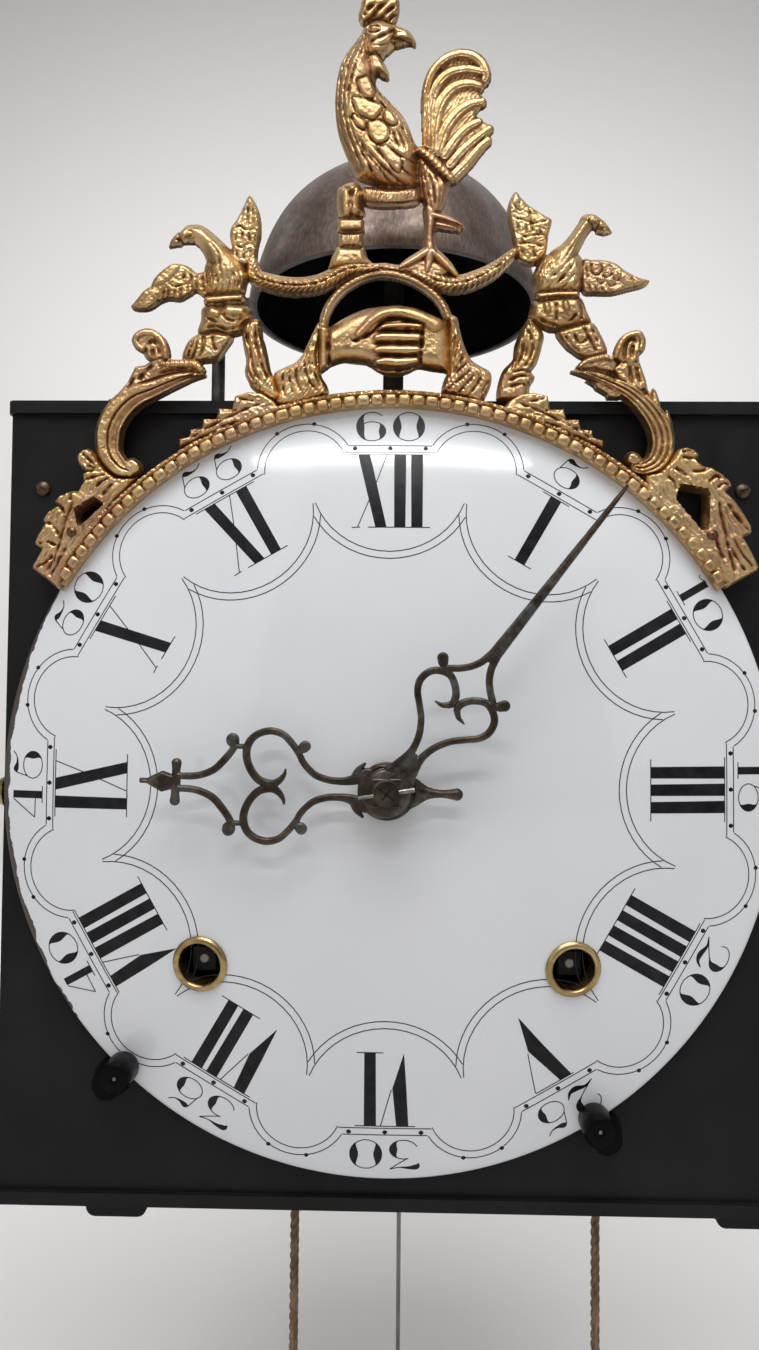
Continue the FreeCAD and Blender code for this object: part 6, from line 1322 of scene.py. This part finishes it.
BARK = [[(-23.6, 276.9), (-24.8, 270.4), (-24.4, 264.8), (-21.5, 258.5)], [(-25.9, 272.2), (-27.2, 267.3),
        (-25.8, 261.7), (-22.9, 257.8)], [(-29.1, 267.3), (-29.9, 263.4), (-28.1, 257.8)],
        [(-33.7, 264.5), (-34.1, 260.8), (-33.0, 255.9)], [(-31.4, 266.2), (-32.0, 262.0), (-30.6, 256.8)],
        [(-24.6, 274.1), (-25.9, 268.5), (-24.9, 262.9)], [(-22.9, 275.0), (-23.6, 269.4), (-23.2, 264.8)],
        [(24.3, 267.4), (20.8, 264.3), (18.0, 259.9)], [(25.0, 264.8), (20.3, 260.9), (17.1, 258.3)],
        [(26.2, 263.4), (23.0, 259.7), (20.3, 256.9)], [(21.5, 275.1), (20.2, 270.4), (19.3, 265.7)],
        [(19.7, 279.7), (19.9, 274.1), (18.8, 268.5)], [(28.5, 263.0), (25.8, 258.8), (23.5, 256.0)],
        [(23.4, 270.4), (21.1, 266.7), (18.9, 262.9)], [(30.3, 261.1), (28.5, 257.4)]]
for trunk, slant in zip(TRUNKS, (74, 106)):
    arch.form(trunk, 3.8, 2.4, 0.2, chase_hair(slant, 1.25, 0.2, 2.4))
for crack in BARK:
    arch.groove(crack, 0.34, 0.9)
ARCH_RIB = [(-21.6, 278.8, 1.36), (-20.9, 282.5, 1.41), (-19.0, 286.5, 1.46), (-15.4, 290.7, 1.46),
        (-10.3, 293.9, 1.46), (-5.5, 295.5, 1.46), (-1.6, 295.7, 1.46), (3.2, 294.8, 1.46), (8.3, 292.6, 1.46),
        (12.7, 289.5, 1.46), (15.8, 286.0, 1.41), (17.8, 281.8, 1.36)]
GARLANDS = ([(-44.4, 299.5, 1.91), (-42.9, 294.8, 2.64), (-39.1, 293.1, 2.82), (-34.0, 291.9, 3.0),
        (-28.5, 291.7, 3.0), (-22.9, 292.6, 3.0), (-18.3, 294.7, 2.91), (-13.7, 297.0, 2.55), (-8.6, 297.4, 2.05),
        (-4.7, 297.6, 1.36)], [(6.7, 296.1, 1.36), (10.4, 294.8, 2.27), (14.1, 293.2, 2.73), (18.2, 292.3, 2.82),
        (22.4, 292.6, 2.91), (26.0, 293.8, 2.82), (30.8, 296.1, 2.55), (35.2, 299.4, 2.09), (38.5, 302.4, 1.55)])
arch.bar(ARCH_RIB, 3.4, 0.4, lambda u, v, run, half: 0.2 * np.cos(math.tau * run / 1.7) * (v > 0.1))
for garland in GARLANDS:
    arch.bar(garland, 4.4, 0.4, chase_barbs(1.7, 1.4, 0.3))
    arch.groove([knot[:2] for knot in garland], 0.36, 0.8)
MOUND = [(-7.0, 298.4), (-3.0, 299.2), (3.0, 298.6), (8.0, 300.6), (12.0, 301.2), (16.0, 299.0), (18.5, 295.8),
        (14.0, 293.6), (6.0, 295.0), (-4.0, 296.4)]
arch.form(MOUND, 3.0, 2.4, 0.4, stipple)
arch_piece = arch.cast("arch_and_garlands", CAST_CUT, 1.3, back=0.14, skin=0.1, lean=LEAN, fill=1.0)
settle(arch_piece, cast_brass, "case", "cast_brass", "fronton_arch")

# Clasped hands: two cuffed hands in a handshake under the arch.
# The thumb lies above and four fingers lie across.
hands = Casting(-25, 21, 261, 288, 0.26)
hands.form([(-22.4, 264.4), (-21.7, 264.9), (-18.9, 266.4), (-15.2, 267.6), (-10.6, 267.6), (-6.9, 266.4),
        (-3.7, 264.4), (0.9, 263.1), (5.1, 264.1), (8.4, 265.6), (12.4, 265.0), (16.8, 264.4), (18.3, 264.1),
        (18.1, 281.6), (16.7, 281.2), (11.8, 281.2), (7.7, 283.7), (3.1, 285.1), (-1.6, 285.3), (-4.8, 285.0),
        (-8.0, 284.5), (-11.7, 283.1), (-15.4, 281.2), (-19.1, 278.9), (-21.8, 278.4), (-22.8, 279.0)],
        4.2, 4.6, 0.2)
hands.form([(-22.9, 279.0), (-19.7, 278.6), (-19.9, 272.2), (-19.7, 265.9), (-21.7, 264.4), (-22.6, 264.3)],
        4.0, 1.2, 0.6, smooth=False)
hands.bar([(13.7, 278.8, 2.73), (9.5, 281.1, 2.36), (5.8, 282.5, 2.27), (1.2, 283.1, 2.09), (-2.5, 282.5, 2.0),
        (-5.7, 280.7, 2.0), (-8.4, 278.1, 1.91), (-10.5, 276.0, 1.55)], 2.8, 3.2)
FINGERS = ([(-3.8, 277.6, 0.73), (-2.2, 278.4, 0.91), (1.3, 278.8, 1.0), (5.4, 278.8, 1.0), (9.2, 278.6, 0.82)],
        [(-4.7, 274.8, 1.36), (-2.4, 275.1, 1.64), (3.1, 275.1, 1.68), (7.7, 275.1, 1.55), (9.6, 275.0, 1.18)],
        [(-4.8, 270.9, 1.27), (-2.4, 271.2, 1.64), (3.2, 271.1, 1.73), (7.3, 271.1, 1.55), (9.2, 271.1, 1.18)],
        [(-4.2, 267.1, 1.27), (-1.9, 267.4, 1.73), (2.3, 267.2, 1.91), (5.5, 267.4, 1.64), (8.0, 267.7, 1.18)])
for finger in FINGERS:
    hands.bar(finger, 2.2, 3.6)
for crease in [[(-5.2, 276.9), (-1.5, 277.1), (4.0, 277.0), (9.8, 276.9)],
        [(-5.4, 273.1), (-1.5, 273.2), (4.1, 273.1), (9.8, 273.2)],
        [(-5.3, 269.2), (-1.4, 269.3), (4.1, 269.2), (9.6, 269.5)], [(-13.0, 275.0), (-11.6, 274.0), (-7.9, 275.5),
        (-4.5, 278.1), (-2.2, 280.1), (1.5, 280.9), (6.8, 280.1), (10.2, 279.2)],
        [(-4.4, 265.7), (-1.4, 265.0), (3.2, 265.0), (7.3, 266.2)],
        [(-19.4, 278.3), (-19.6, 272.2), (-19.4, 266.2)], [(10.0, 278.8), (9.5, 273.2), (9.0, 266.2)]]:
    hands.groove(crease, 0.42, 1.8)
hands_piece = hands.cast("clasped_hands_relief", CAST_CUT, 1.5, back=0.14, skin=0.05, lean=LEAN)
settle(hands_piece, cast_brass, "case", "cast_brass", "clasped_hands")

# Cockerel: a proud cock looking over its back, with plated wing, long breast feathers and sickle tail.
# It stands on one leg beside a fluted post.
cock = Casting(-24, 35, 293, 389, 0.28)
cock.form([(-17.4, 304.1), (-8.8, 304.0), (-7.6, 300.3), (-4.9, 297.5), (-20.1, 296.9), (-19.0, 300.9)],
        3.8, 2.4, 0.3, smooth=False)
cock.form([(-17.0, 308.8), (-9.1, 308.8), (-9.0, 303.6), (-16.9, 303.7)], 3.8, 1.8, 0.3, chase_hair(90, 1.6, 0.22),
        smooth=False)
cock.form([(-17.3, 312.8), (-8.9, 312.8), (-8.8, 308.8), (-17.3, 308.8)], 4.6, 1.2, 0.5, smooth=False)
cock.form([(-17.5, 321.3), (-16.5, 323.4), (-12.5, 324.9), (-9.5, 322.6), (-9.4, 317.5), (-8.8, 314.5),
        (-13.8, 312.2), (-17.0, 314.0)], 4.8, 3.2, 0.2)
for cut in ([(-13.0, 321.6), (-13.3, 317.5), (-13.0, 312.9)], [(-16.4, 321.9), (-14.7, 322.7), (-13.0, 321.3),
        (-11.3, 322.7)]):
    cock.groove(cut, 0.5, 1.4)
cock.form([(-9.4, 323.3), (-1.2, 322.7), (7.4, 322.8), (7.9, 317.8), (-2.8, 316.8), (-9.1, 318.0)],
        4.2, 2.2, 0.2, chase_hair(90, 1.2, 0.22))
LIMBS = [[(12.1, 315.7, 2.6), (12.0, 311.7, 2.0), (11.7, 307.2, 1.9), (11.9, 302.0, 2.6)], [(12.7, 314.0, 1.6),
        (16.4, 313.0, 1.4), (19.8, 311.7, 0.9), (22.3, 310.5, 0.4)], [(14.1, 311.0, 1.2), (17.5, 310.3, 1.0),
        (21.2, 309.3, 0.4)], [(11.4, 302.6, 1.9), (8.6, 300.8, 1.8), (5.6, 299.0, 1.7), (2.6, 297.3, 1.0)],
        [(12.6, 302.4, 1.9), (15.2, 300.2, 1.8), (17.6, 297.8, 1.6), (19.9, 295.2, 1.0)], [(11.9, 302.3, 2.2),
        (11.5, 298.8, 2.2), (10.9, 296.2, 1.3)]]
for limb in LIMBS:
    cock.bar(limb, 3.8, 0.4)
cock.form([(8.9, 334.7), (10.3, 337.6), (9.8, 349.1), (9.9, 354.9), (11.6, 360.7), (14.9, 364.8), (19.4, 366.9),
        (24.5, 366.4), (27.9, 363.8), (30.3, 359.5), (29.7, 356.7), (27.1, 355.4), (28.4, 351.4), (27.7, 348.8),
        (26.3, 346.8), (26.9, 344.3), (29.3, 343.9), (31.0, 341.4), (30.1, 338.0), (27.5, 334.7), (22.5, 328.3),
        (20.2, 324.8), (16.9, 324.8), (13.5, 327.8)], 2.0, 1.4, 0.2, chase_hair(60, 1.2, 0.14))
PLUMES = [[(19.1, 326.6, 2.2), (23.6, 331.2, 2.0), (26.9, 335.2, 1.73), (29.9, 338.1, 1.4)], [(18.0, 330.1, 2.2),
        (21.9, 334.7, 2.07), (26.4, 338.7, 1.83), (30.3, 341.8, 1.5)], [(16.3, 333.0, 2.2), (19.6, 338.1, 2.2),
        (23.2, 341.9, 2.0), (26.9, 343.9, 1.6)], [(14.0, 334.1, 2.4), (16.2, 341.0, 2.4), (19.6, 346.2, 2.4),
        (23.8, 349.4, 1.95), (28.0, 350.5, 1.5)], [(12.6, 334.7, 2.4), (13.1, 343.4, 2.44), (15.0, 350.3, 2.48),
        (18.9, 354.9, 2.3), (23.5, 356.3, 1.9), (27.3, 355.5, 1.5)], [(11.7, 336.4, 2.2), (11.6, 346.8, 2.2),
        (13.3, 354.9, 2.2), (17.2, 359.5, 2.08), (22.9, 360.9, 1.84), (28.5, 360.0, 1.6)], [(11.0, 337.6, 1.6),
        (10.4, 349.1, 1.56), (10.7, 354.9, 1.51), (12.4, 360.1, 1.57), (15.8, 363.9, 1.66), (20.0, 365.8, 1.77),
        (24.5, 365.4, 1.9), (27.7, 362.9, 1.94), (29.2, 359.2, 1.72), (28.8, 357.4, 1.5)]]
for k, plume in enumerate(PLUMES):
    cock.bar(plume, 1.7, 1.3 + 0.14 * k, chase_lines(4, 0.16))
cock.form([(7.7, 331.8), (9.5, 333.0), (14.0, 328.4), (17.7, 324.6), (17.2, 320.3), (15.3, 315.5), (13.0, 314.3),
        (10.6, 315.7), (9.0, 320.9), (7.8, 326.1)], 4.4, 3.2, 0.5, chase_hair(100, 1.3, 0.16))
THIGH_LINES = [[(9.5, 328.4), (11.0, 322.6), (11.9, 316.3)], [(11.2, 327.8), (12.9, 322.6), (13.5, 316.3)],
        [(13.5, 326.7), (15.2, 322.0), (14.7, 316.9)], [(8.4, 330.1), (9.3, 323.8), (10.4, 317.5)]]
cock.form([(-9.2, 373.9), (-12.3, 370.2), (-14.9, 366.7), (-16.8, 363.2), (-17.9, 358.0), (-18.4, 352.2),
        (-18.2, 346.4), (-17.4, 341.2), (-15.9, 336.6), (-14.1, 332.2), (-12.5, 329.0), (-10.7, 325.9),
        (-5.1, 324.1), (1.7, 322.5), (7.3, 322.5), (8.1, 328.4), (8.3, 334.7), (6.6, 338.2), (4.9, 342.8),
        (2.6, 346.9), (-2.5, 352.4), (-5.5, 356.2), (-5.3, 360.8), (-6.6, 364.9), (-7.2, 369.0)],
        6.2, 6.0, 0.2, chase_hair(112, 0.95, 0.11))
HACKLE = [[(-9.5, 371.6), (-12.3, 367.2), (-14.5, 360.9), (-15.6, 353.9), (-15.5, 347.0), (-14.0, 340.0),
        (-11.4, 333.1), (-9.1, 326.7)], [(-10.6, 371.6), (-14.0, 366.7), (-16.2, 360.9), (-17.2, 353.9),
        (-17.1, 347.0), (-15.9, 340.6), (-13.6, 334.2), (-10.8, 328.5)], [(-8.6, 369.5), (-10.9, 364.9),
        (-12.8, 359.7), (-14.2, 353.9), (-14.4, 349.3)], [(-13.8, 346.9), (-12.9, 341.2), (-10.3, 334.8),
        (-6.9, 328.4), (-5.1, 324.4)], [(-11.5, 340.0), (-8.6, 334.2), (-4.0, 328.4), (-0.6, 323.8)],
        [(-8.6, 335.4), (-4.6, 330.7), (0.5, 326.1), (3.9, 323.2)],
        [(-6.4, 335.4), (-1.2, 331.3), (3.9, 327.8), (7.3, 325.5)],
        [(-4.7, 336.5), (-0.1, 333.6), (4.4, 331.6), (7.8, 330.4)]]
for line in HACKLE + THIGH_LINES:
    cock.groove(line, 0.36, 0.85)
cock.bar([(8.6, 334.7, 1.5), (11.7, 332.4, 1.77), (15.1, 328.9, 1.77), (18.1, 325.8, 1.5)],
        3.6, 1.8, chase_barbs(1.7, 0.8, 0.25))
PLATES = [[(-11.5, 357.1), (-8.0, 358.2), (-5.8, 353.2), (-6.9, 350.8), (-10.1, 352.4)], [(-13.0, 351.3),
        (-10.6, 351.6), (-6.9, 350.4), (-3.1, 348.5), (-5.7, 344.3), (-8.4, 344.7), (-11.6, 346.7)],
        [(-12.6, 346.1), (-8.9, 343.9), (-8.4, 340.9), (-11.1, 341.7), (-12.7, 343.9)], [(-7.9, 343.4),
        (-4.1, 344.0), (-1.2, 341.4), (-1.7, 337.6), (-5.1, 336.4), (-7.6, 339.0), (-8.4, 341.5)], [(-2.5, 348.3),
        (0.1, 346.1), (1.5, 343.1), (-0.6, 342.2), (-3.1, 344.4)], [(-5.1, 335.4), (-1.9, 335.7), (2.9, 331.3),
        (1.9, 327.0), (-1.3, 330.0)]]
BARBS = [[(-0.2, 340.5), (1.0, 337.6), (2.4, 334.8)], [(1.2, 341.4), (2.7, 338.2), (4.1, 335.3)],
        [(2.6, 342.5), (4.1, 339.4), (5.8, 336.5)], [(-5.4, 353.9), (-1.4, 350.4), (2.6, 346.3)],
        [(-5.2, 351.5), (-3.1, 349.2), (-1.9, 346.9)]]
for plate in PLATES:
    cock.form(plate, 1.1, 1.4, 5.6)
for plate in PLATES:
    cock.groove(plate + plate[:2], 0.3, 0.8)
for line in BARBS:
    cock.groove(line, 0.36, 0.9)
cock.form([(-8.1, 365.5), (-5.4, 366.3), (-3.3, 364.0), (-1.5, 359.9), (-1.7, 358.4), (-3.7, 358.8), (-5.3, 359.7),
        (-6.5, 356.8), (-7.6, 358.5), (-8.2, 362.6)], 4.4, 2.0, 0.8)
cock.form([(-10.0, 373.6), (-8.7, 375.8), (-4.9, 377.4), (-1.2, 376.3), (0.9, 375.1), (0.6, 371.6), (0.4, 368.8),
        (-1.0, 367.2), (-2.6, 365.8), (-3.6, 364.4), (-5.9, 364.9), (-8.6, 365.2), (-9.6, 369.7)], 5.0, 3.8, 0.6)
cock.form([(-0.6, 375.5), (2.6, 374.9), (5.0, 373.5), (6.5, 371.4), (7.1, 368.9), (5.3, 369.5), (2.9, 369.2),
        (0.4, 368.6), (-0.7, 370.8)], 4.4, 2.4, 0.6)
for line, width, depth in (([(-0.9, 370.6), (2.1, 370.6), (4.5, 369.9), (6.3, 369.5)], 0.34, 1.3),
        ([(-0.3, 372.3), (1.8, 372.7), (4.0, 371.9), (5.6, 370.7)], 0.3, 0.6), ([(-7.8, 369.3), (-5.2, 370.8),
        (-1.9, 372.3), (-0.1, 373.5)], 0.42, 1.1), ([(-9.3, 372.6), (-9.0, 369.0), (-8.4, 365.6)], 0.4, 1.0),
        ([(-7.0, 368.2), (-4.4, 368.4), (-1.6, 368.8)], 0.32, 0.5),
        ([(-6.2, 366.6), (-4.6, 366.6), (-2.8, 367.0)], 0.32, 0.5)):
    cock.groove(line, width, depth)
cock.form([(-7.4, 373.8), (-6.3, 374.5), (-5.1, 373.9), (-6.3, 373.2)], 0.8, 0.6, 5.2)
cock.groove(oval(-6.3, 373.8, 1.9, 1.2, np.linspace(0, 6.2, 11)), 0.3, 1.0)
cock.form([(-11.3, 378.9), (-10.5, 381.8), (-9.9, 384.1), (-6.8, 384.9), (-3.4, 385.2), (0.0, 384.7), (1.5, 384.0),
        (1.6, 380.5), (0.8, 377.5), (-0.7, 375.3), (-3.3, 376.5), (-7.3, 377.4), (-10.1, 376.3)], 3.0, 1.8, 0.4)
for line in ([(-9.6, 378.3), (-8.2, 380.6), (-6.2, 382.3)], [(-7.0, 378.0), (-5.0, 380.6), (-2.2, 382.9)],
        [(-4.2, 377.2), (-2.2, 379.7), (0.6, 381.7)], [(-1.9, 376.2), (-0.5, 378.2), (1.2, 379.4)]):
    cock.groove(line, 0.55, 1.5)
cock_piece = cock.cast("cockerel_relief", CAST_CUT - 0.4, 1.4, back=0.2, skin=0.06, lean=LEAN, fill=0.9)
settle(cock_piece, cast_brass, "case", "cast_brass", "cockerel")

# Hands: sawn and filed iron, pierced with scrolls, dark with brown and greenish patina.
# The hour hand lies on its pipe, the minute hand on the arbor in front, under a collet and a taper pin.
hand_iron, tree, shader = fresh("patinated_iron", (0.05, 0.045, 0.04), 0.42, 0.75)
rust = ramp(tree, noise(tree, 210, 6), (0.28, (0.026, 0.021, 0.018)), (0.50, (0.075, 0.056, 0.042)),
    (0.72, (0.15, 0.105, 0.072)))
bloom = ramp(tree, noise(tree, 105, 7, roughness=0.7), (0.50, 0.0), (0.68, 0.7))
tree.links.new(mixed(tree, bloom, rust, (0.135, 0.165, 0.17)), shader.inputs["Base Color"])
vary(tree, shader, "Roughness", noise(tree, 300, 4), (0.3, 0.26), (0.7, 0.52))
relief_bump(tree, shader, noise(tree, 650, 4), 0.3, 0.0004)
PIPE_R, ARBOR_R = 5.6, 3.6
HOUR_TIME, MINUTE_TIME = 178.0, 52.3
HOUR_Y, MINUTE_Y = -102.6, -107.6
HAND_T, HAND_RISE, HAND_EDGE = 1.6, 0.9, 0.5


def mirrored(bars):
    return [[(u, side * v, w) for u, v, w in knots] for knots in bars for side in (1, -1)]


def hand_piece(name, casting, front_y, time, bore):
    """Cut the bore, cast the hand flat and turn it to its time about the dial's axis."""
    hole = np.hypot(casting.x, casting.z) - bore
    casting.h = np.minimum(casting.h, hole * FALL)
    piece = casting.cast(name, front_y + HAND_RISE, HAND_T - HAND_RISE)
    piece.data.transform(Matrix.Translation((0, 0, DIAL_Z * MM)) @ Matrix.Rotation(math.radians(-time), 4, "Y"))
    return piece


hour = Casting(-25, 76, -20, 20, 0.25)
for knots in mirrored([[(60.6, 1.75, 0.95), (54.9, 2.05, 1.0), (50.2, 3.85, 1.05), (47.0, 7.05, 1.05),
        (44.6, 10.4, 1.0), (44.8, 12.0, 1.1)], [(44.4, 11.0, 0.75), (41.0, 11.0, 0.75)],
        [(44.9, 12.5, 1.85), (44.95, 12.9, 1.85)], [(29.3, 5.0, 0.25), (29.7, 3.4, 0.6), (31.0, 1.7, 0.95),
        (33.2, 0.6, 1.2), (36.8, 1.6, 1.15), (39.6, 4.9, 1.1), (40.8, 8.85, 1.1), (40.1, 12.3, 1.1),
        (37.8, 14.7, 1.05), (34.2, 15.8, 1.05), (30.6, 15.0, 1.0), (27.9, 12.6, 1.0), (25.7, 9.7, 0.95),
        (24.1, 6.9, 0.95), (21.0, 3.95, 1.0), (17.0, 2.55, 1.0), (12.8, 2.3, 1.1), (9.6, 2.9, 1.5),
        (6.0, 4.4, 2.0)], [(25.9, 10.1, 0.7), (24.8, 11.2, 0.8)], [(24.3, 11.5, 1.6), (24.0, 11.8, 1.65)],
        [(10.4, 3.0, 0.6), (8.4, 5.6, 1.0), (6.6, 7.6, 0.4)]]):
    hour.bar(knots, HAND_RISE, edge=HAND_EDGE)
hour.form([(60.6, 1.5), (62.0, 2.2), (64.8, 3.05), (67.4, 1.7), (69.1, 0.75), (71.3, 0.7), (71.3, -0.7),
        (69.1, -0.75), (67.4, -1.7), (64.8, -3.05), (62.0, -2.2), (60.6, -1.5)], 0.95, 1.1, smooth=False)
hour.bar([(60.8, -5.4, 1.45), (60.8, -3.0, 1.15), (60.8, 0.0, 1.4), (60.8, 3.0, 1.15), (60.8, 5.4, 1.45)], 0.95)
hour.bar([(-3.0, 0.0, 6.6), (-8.2, 0.0, 4.2), (-11.6, 0.0, 1.9), (-15.5, 0.0, 1.15), (-19.0, 0.0, 1.55),
        (-20.0, 0.0, 1.8)], 0.9)
hour.form(oval(0, 0, 8.4, 8.4, np.linspace(0, math.tau, 28, endpoint=False)), 0.95, 0.8)
for r in (6.9, 7.7):
    hour.groove(oval(0, 0, r, r, np.linspace(0.9, 5.4, 24)), 0.22, 0.5)
hour_piece = hand_piece("hour_hand_wrought", hour, HOUR_Y, HOUR_TIME, PIPE_R + 0.05)
settle(hour_piece, hand_iron, "hour", "hand_iron", "hour_hand")

minute = Casting(-9, 113, -16, 16, 0.25)
for knots in mirrored([[(3.6, 2.4, 2.2), (8.0, 2.0, 1.9), (11.5, 1.75, 1.35), (14.6, 1.8, 1.05), (18.5, 2.9, 1.0),
        (22.35, 5.2, 0.95), (25.3, 8.1, 0.95), (28.0, 10.9, 1.0), (31.1, 12.2, 1.05), (34.4, 11.5, 1.05),
        (36.4, 9.3, 1.05), (37.1, 6.4, 1.05), (35.7, 3.55, 1.05), (33.3, 1.4, 1.1), (31.0, 1.0, 1.05),
        (29.3, 2.6, 0.75), (28.9, 3.9, 0.5), (28.7, 5.2, 0.2)], [(36.6, 8.9, 0.9), (38.4, 7.9, 0.95),
        (40.0, 5.8, 1.0), (42.5, 3.4, 1.0), (45.6, 1.7, 1.05), (49.5, 0.8, 1.1)],
        [(36.9, 8.6, 0.8), (38.4, 9.8, 1.0)], [(38.9, 10.3, 1.5), (39.7, 11.0, 1.6)]]):
    minute.bar(knots, HAND_RISE, edge=HAND_EDGE)
minute.bar([(48.6, 0.0, 1.9), (56.0, 0.0, 1.75), (68.5, 0.0, 1.45), (86.7, 0.0, 1.1), (104.0, 0.0, 0.75),
        (110.0, 0.0, 0.5)], 0.95, edge=0.6)
minute.form(oval(0, 0, 6.9, 6.9, np.linspace(0, math.tau, 24, endpoint=False)), 0.95, 1.2)
minute.form([(5.0, 4.6), (9.0, 3.2), (13.2, 1.6), (13.2, -1.6), (9.0, -3.2), (5.0, -4.6)], 0.85, 1.0)
minute_piece = hand_piece("minute_hand_wrought", minute, MINUTE_Y, MINUTE_TIME, ARBOR_R + 0.05)
settle(minute_piece, hand_iron, "minute", "hand_iron", "minute_hand")

# The collet: a washer, a square plate set cornerwise and a low dome on the arbor, held by a bright taper pin.
# The arbor's end stands in the dome and has the same dark bloom as the hands.
dress(["minute_arbor"], hand_iron)
washer = turned("washer", [(3.6, -107.6), (6.0, -107.6), (5.95, -107.85), (5.7, -107.95), (3.6, -107.95),
        (3.6, -107.6)], (0, 0, DIAL_Z), steps=48)
plate = turned("plate", [(0, -107.7), (5.75, -107.7), (5.7, -108.25), (5.35, -108.45), (4.9, -108.45),
        (4.75, -108.2), (0, -108.2)], (0, 0, DIAL_Z), steps=4)
dome = turned("dome", [(3.6, -108.1), (4.1, -108.1), (4.05, -108.7), (3.9, -109.0), (3.6, -109.1), (3.6, -108.1)],
        (0, 0, DIAL_Z), steps=48)
settle(joined("stepped_collet", [washer, plate, dome]), hand_iron, "minute", "hand_iron", "hand_collet")
ARBOR_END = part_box("minute_arbor")[0][1]
# A thin black cross laid on the arbor's end stands in for the shade of a cut there, a painted shade.
cross = []
for tilt, length in ((38, 5.2), (128, 3.8)):
    bpy.ops.mesh.primitive_cube_add(size=1, location=(0, ARBOR_END, DIAL_Z * MM),
            rotation=(0, math.radians(tilt), 0))
    bpy.context.object.scale = (length * MM, 0.16 * MM, 0.5 * MM)
    bpy.ops.object.transform_apply(location=True, rotation=True, scale=True)
    bpy.context.object.name = "cut"
    bpy.ops.object.mode_set(mode="EDIT")
    bpy.ops.mesh.bevel(offset=0.06 * MM, segments=2, affect="EDGES")
    bpy.ops.object.mode_set(mode="OBJECT")
    cross.append(bpy.context.object)
settle(joined("arbor_end_cross", cross), iron_paint, "minute", "iron_black")
slope = math.radians(9.0)
pin = turned("taper_pin", [(0, -8.0), (0.4, -7.9), (0.5, -7.6), (0.7, 7.6), (0.6, 7.95), (0, 8.0)],
        (0, -109.85, DIAL_Z), (math.cos(slope), 0, math.sin(slope)), 20)
settle(pin, bright_iron, "minute", "screw_steel", "hand_pin")

# Bell: cast bronze dome, brown-grey outside with a brushed nap; the inside is painted near black, a painted shade.
# A nut holds it on a forged post.
BELL_R, BELL_H, BELL_Z, BELL_T = 57.5, 57.0, 316.0, 3.2
outer = curve_points([(BELL_R, 0.0), (57.2, 4.0), (55.6, 0.17 * BELL_H), (50.1, 0.45 * BELL_H),
        (42.6, 0.66 * BELL_H), (31.5, 0.83 * BELL_H), (20.0, 0.94 * BELL_H), (9.0, BELL_H), (3.1, BELL_H)], 6)
inner = curve_points([(3.1, BELL_H - BELL_T), (9.0, BELL_H - BELL_T), (29.6, 0.83 * BELL_H - 2.6),
        (46.6, 0.45 * BELL_H), (52.4, 0.17 * BELL_H), (54.0, 3.0), (54.3, 0.4)], 6)
section = [*map(tuple, outer), *map(tuple, inner), (55.0, -0.02), (57.0, 0.0), (BELL_R, 0.0)]
bell = turned("bronze_bell", section, (0, 0, BELL_Z), (0, 0, 1), 128)
# Painted shade: the points inside the bell are coloured near black.
painted_inner_shade = []
for vert in bell.data.vertices:
    height = vert.co.z / MM - BELL_Z
    skin_r = np.interp(height, outer[:, 1], outer[:, 0])
    within = math.hypot(vert.co.x, vert.co.y) / MM < skin_r - 1.4
    painted_inner_shade.append(1.0 if within and height < BELL_H - BELL_T + 0.4 else 0.0)
bell.data.attributes.new("painted_inner_shade", "FLOAT", "POINT").data.foreach_set("value", painted_inner_shade)
bell_bronze, tree, shader = fresh("oxidised_bronze", (0.20, 0.165, 0.145), 0.42, 0.9)
nap = noise(tree, 1100, 4, (1, 1, 0.25))
cloud = ramp(tree, noise(tree, 26, 4), (0.35, 0.0), (0.7, 0.7))
bronze = ramp(tree, nap, (0.30, (0.125, 0.096, 0.080)), (0.50, (0.19, 0.15, 0.128)), (0.72, (0.30, 0.245, 0.21)))
browned_bronze = mixed(tree, cloud, bronze, (0.15, 0.10, 0.08))
tree.links.new(mixed(tree, marked(tree, "painted_inner_shade"), browned_bronze, (0.010, 0.009, 0.008)),
        shader.inputs["Base Color"])
vary(tree, shader, "Roughness", noise(tree, 120, 4), (0.3, 0.34), (0.7, 0.56))
relief_bump(tree, shader, nap, 0.16, 0.0004)
settle(bell, bell_bronze, "case", "bell_metal", "bell")

# Door latches: turned brass knobs, riveted to their tongues.
# They keep the form that they are built with.
dress(["left_latch", "right_latch"], turned_brass)
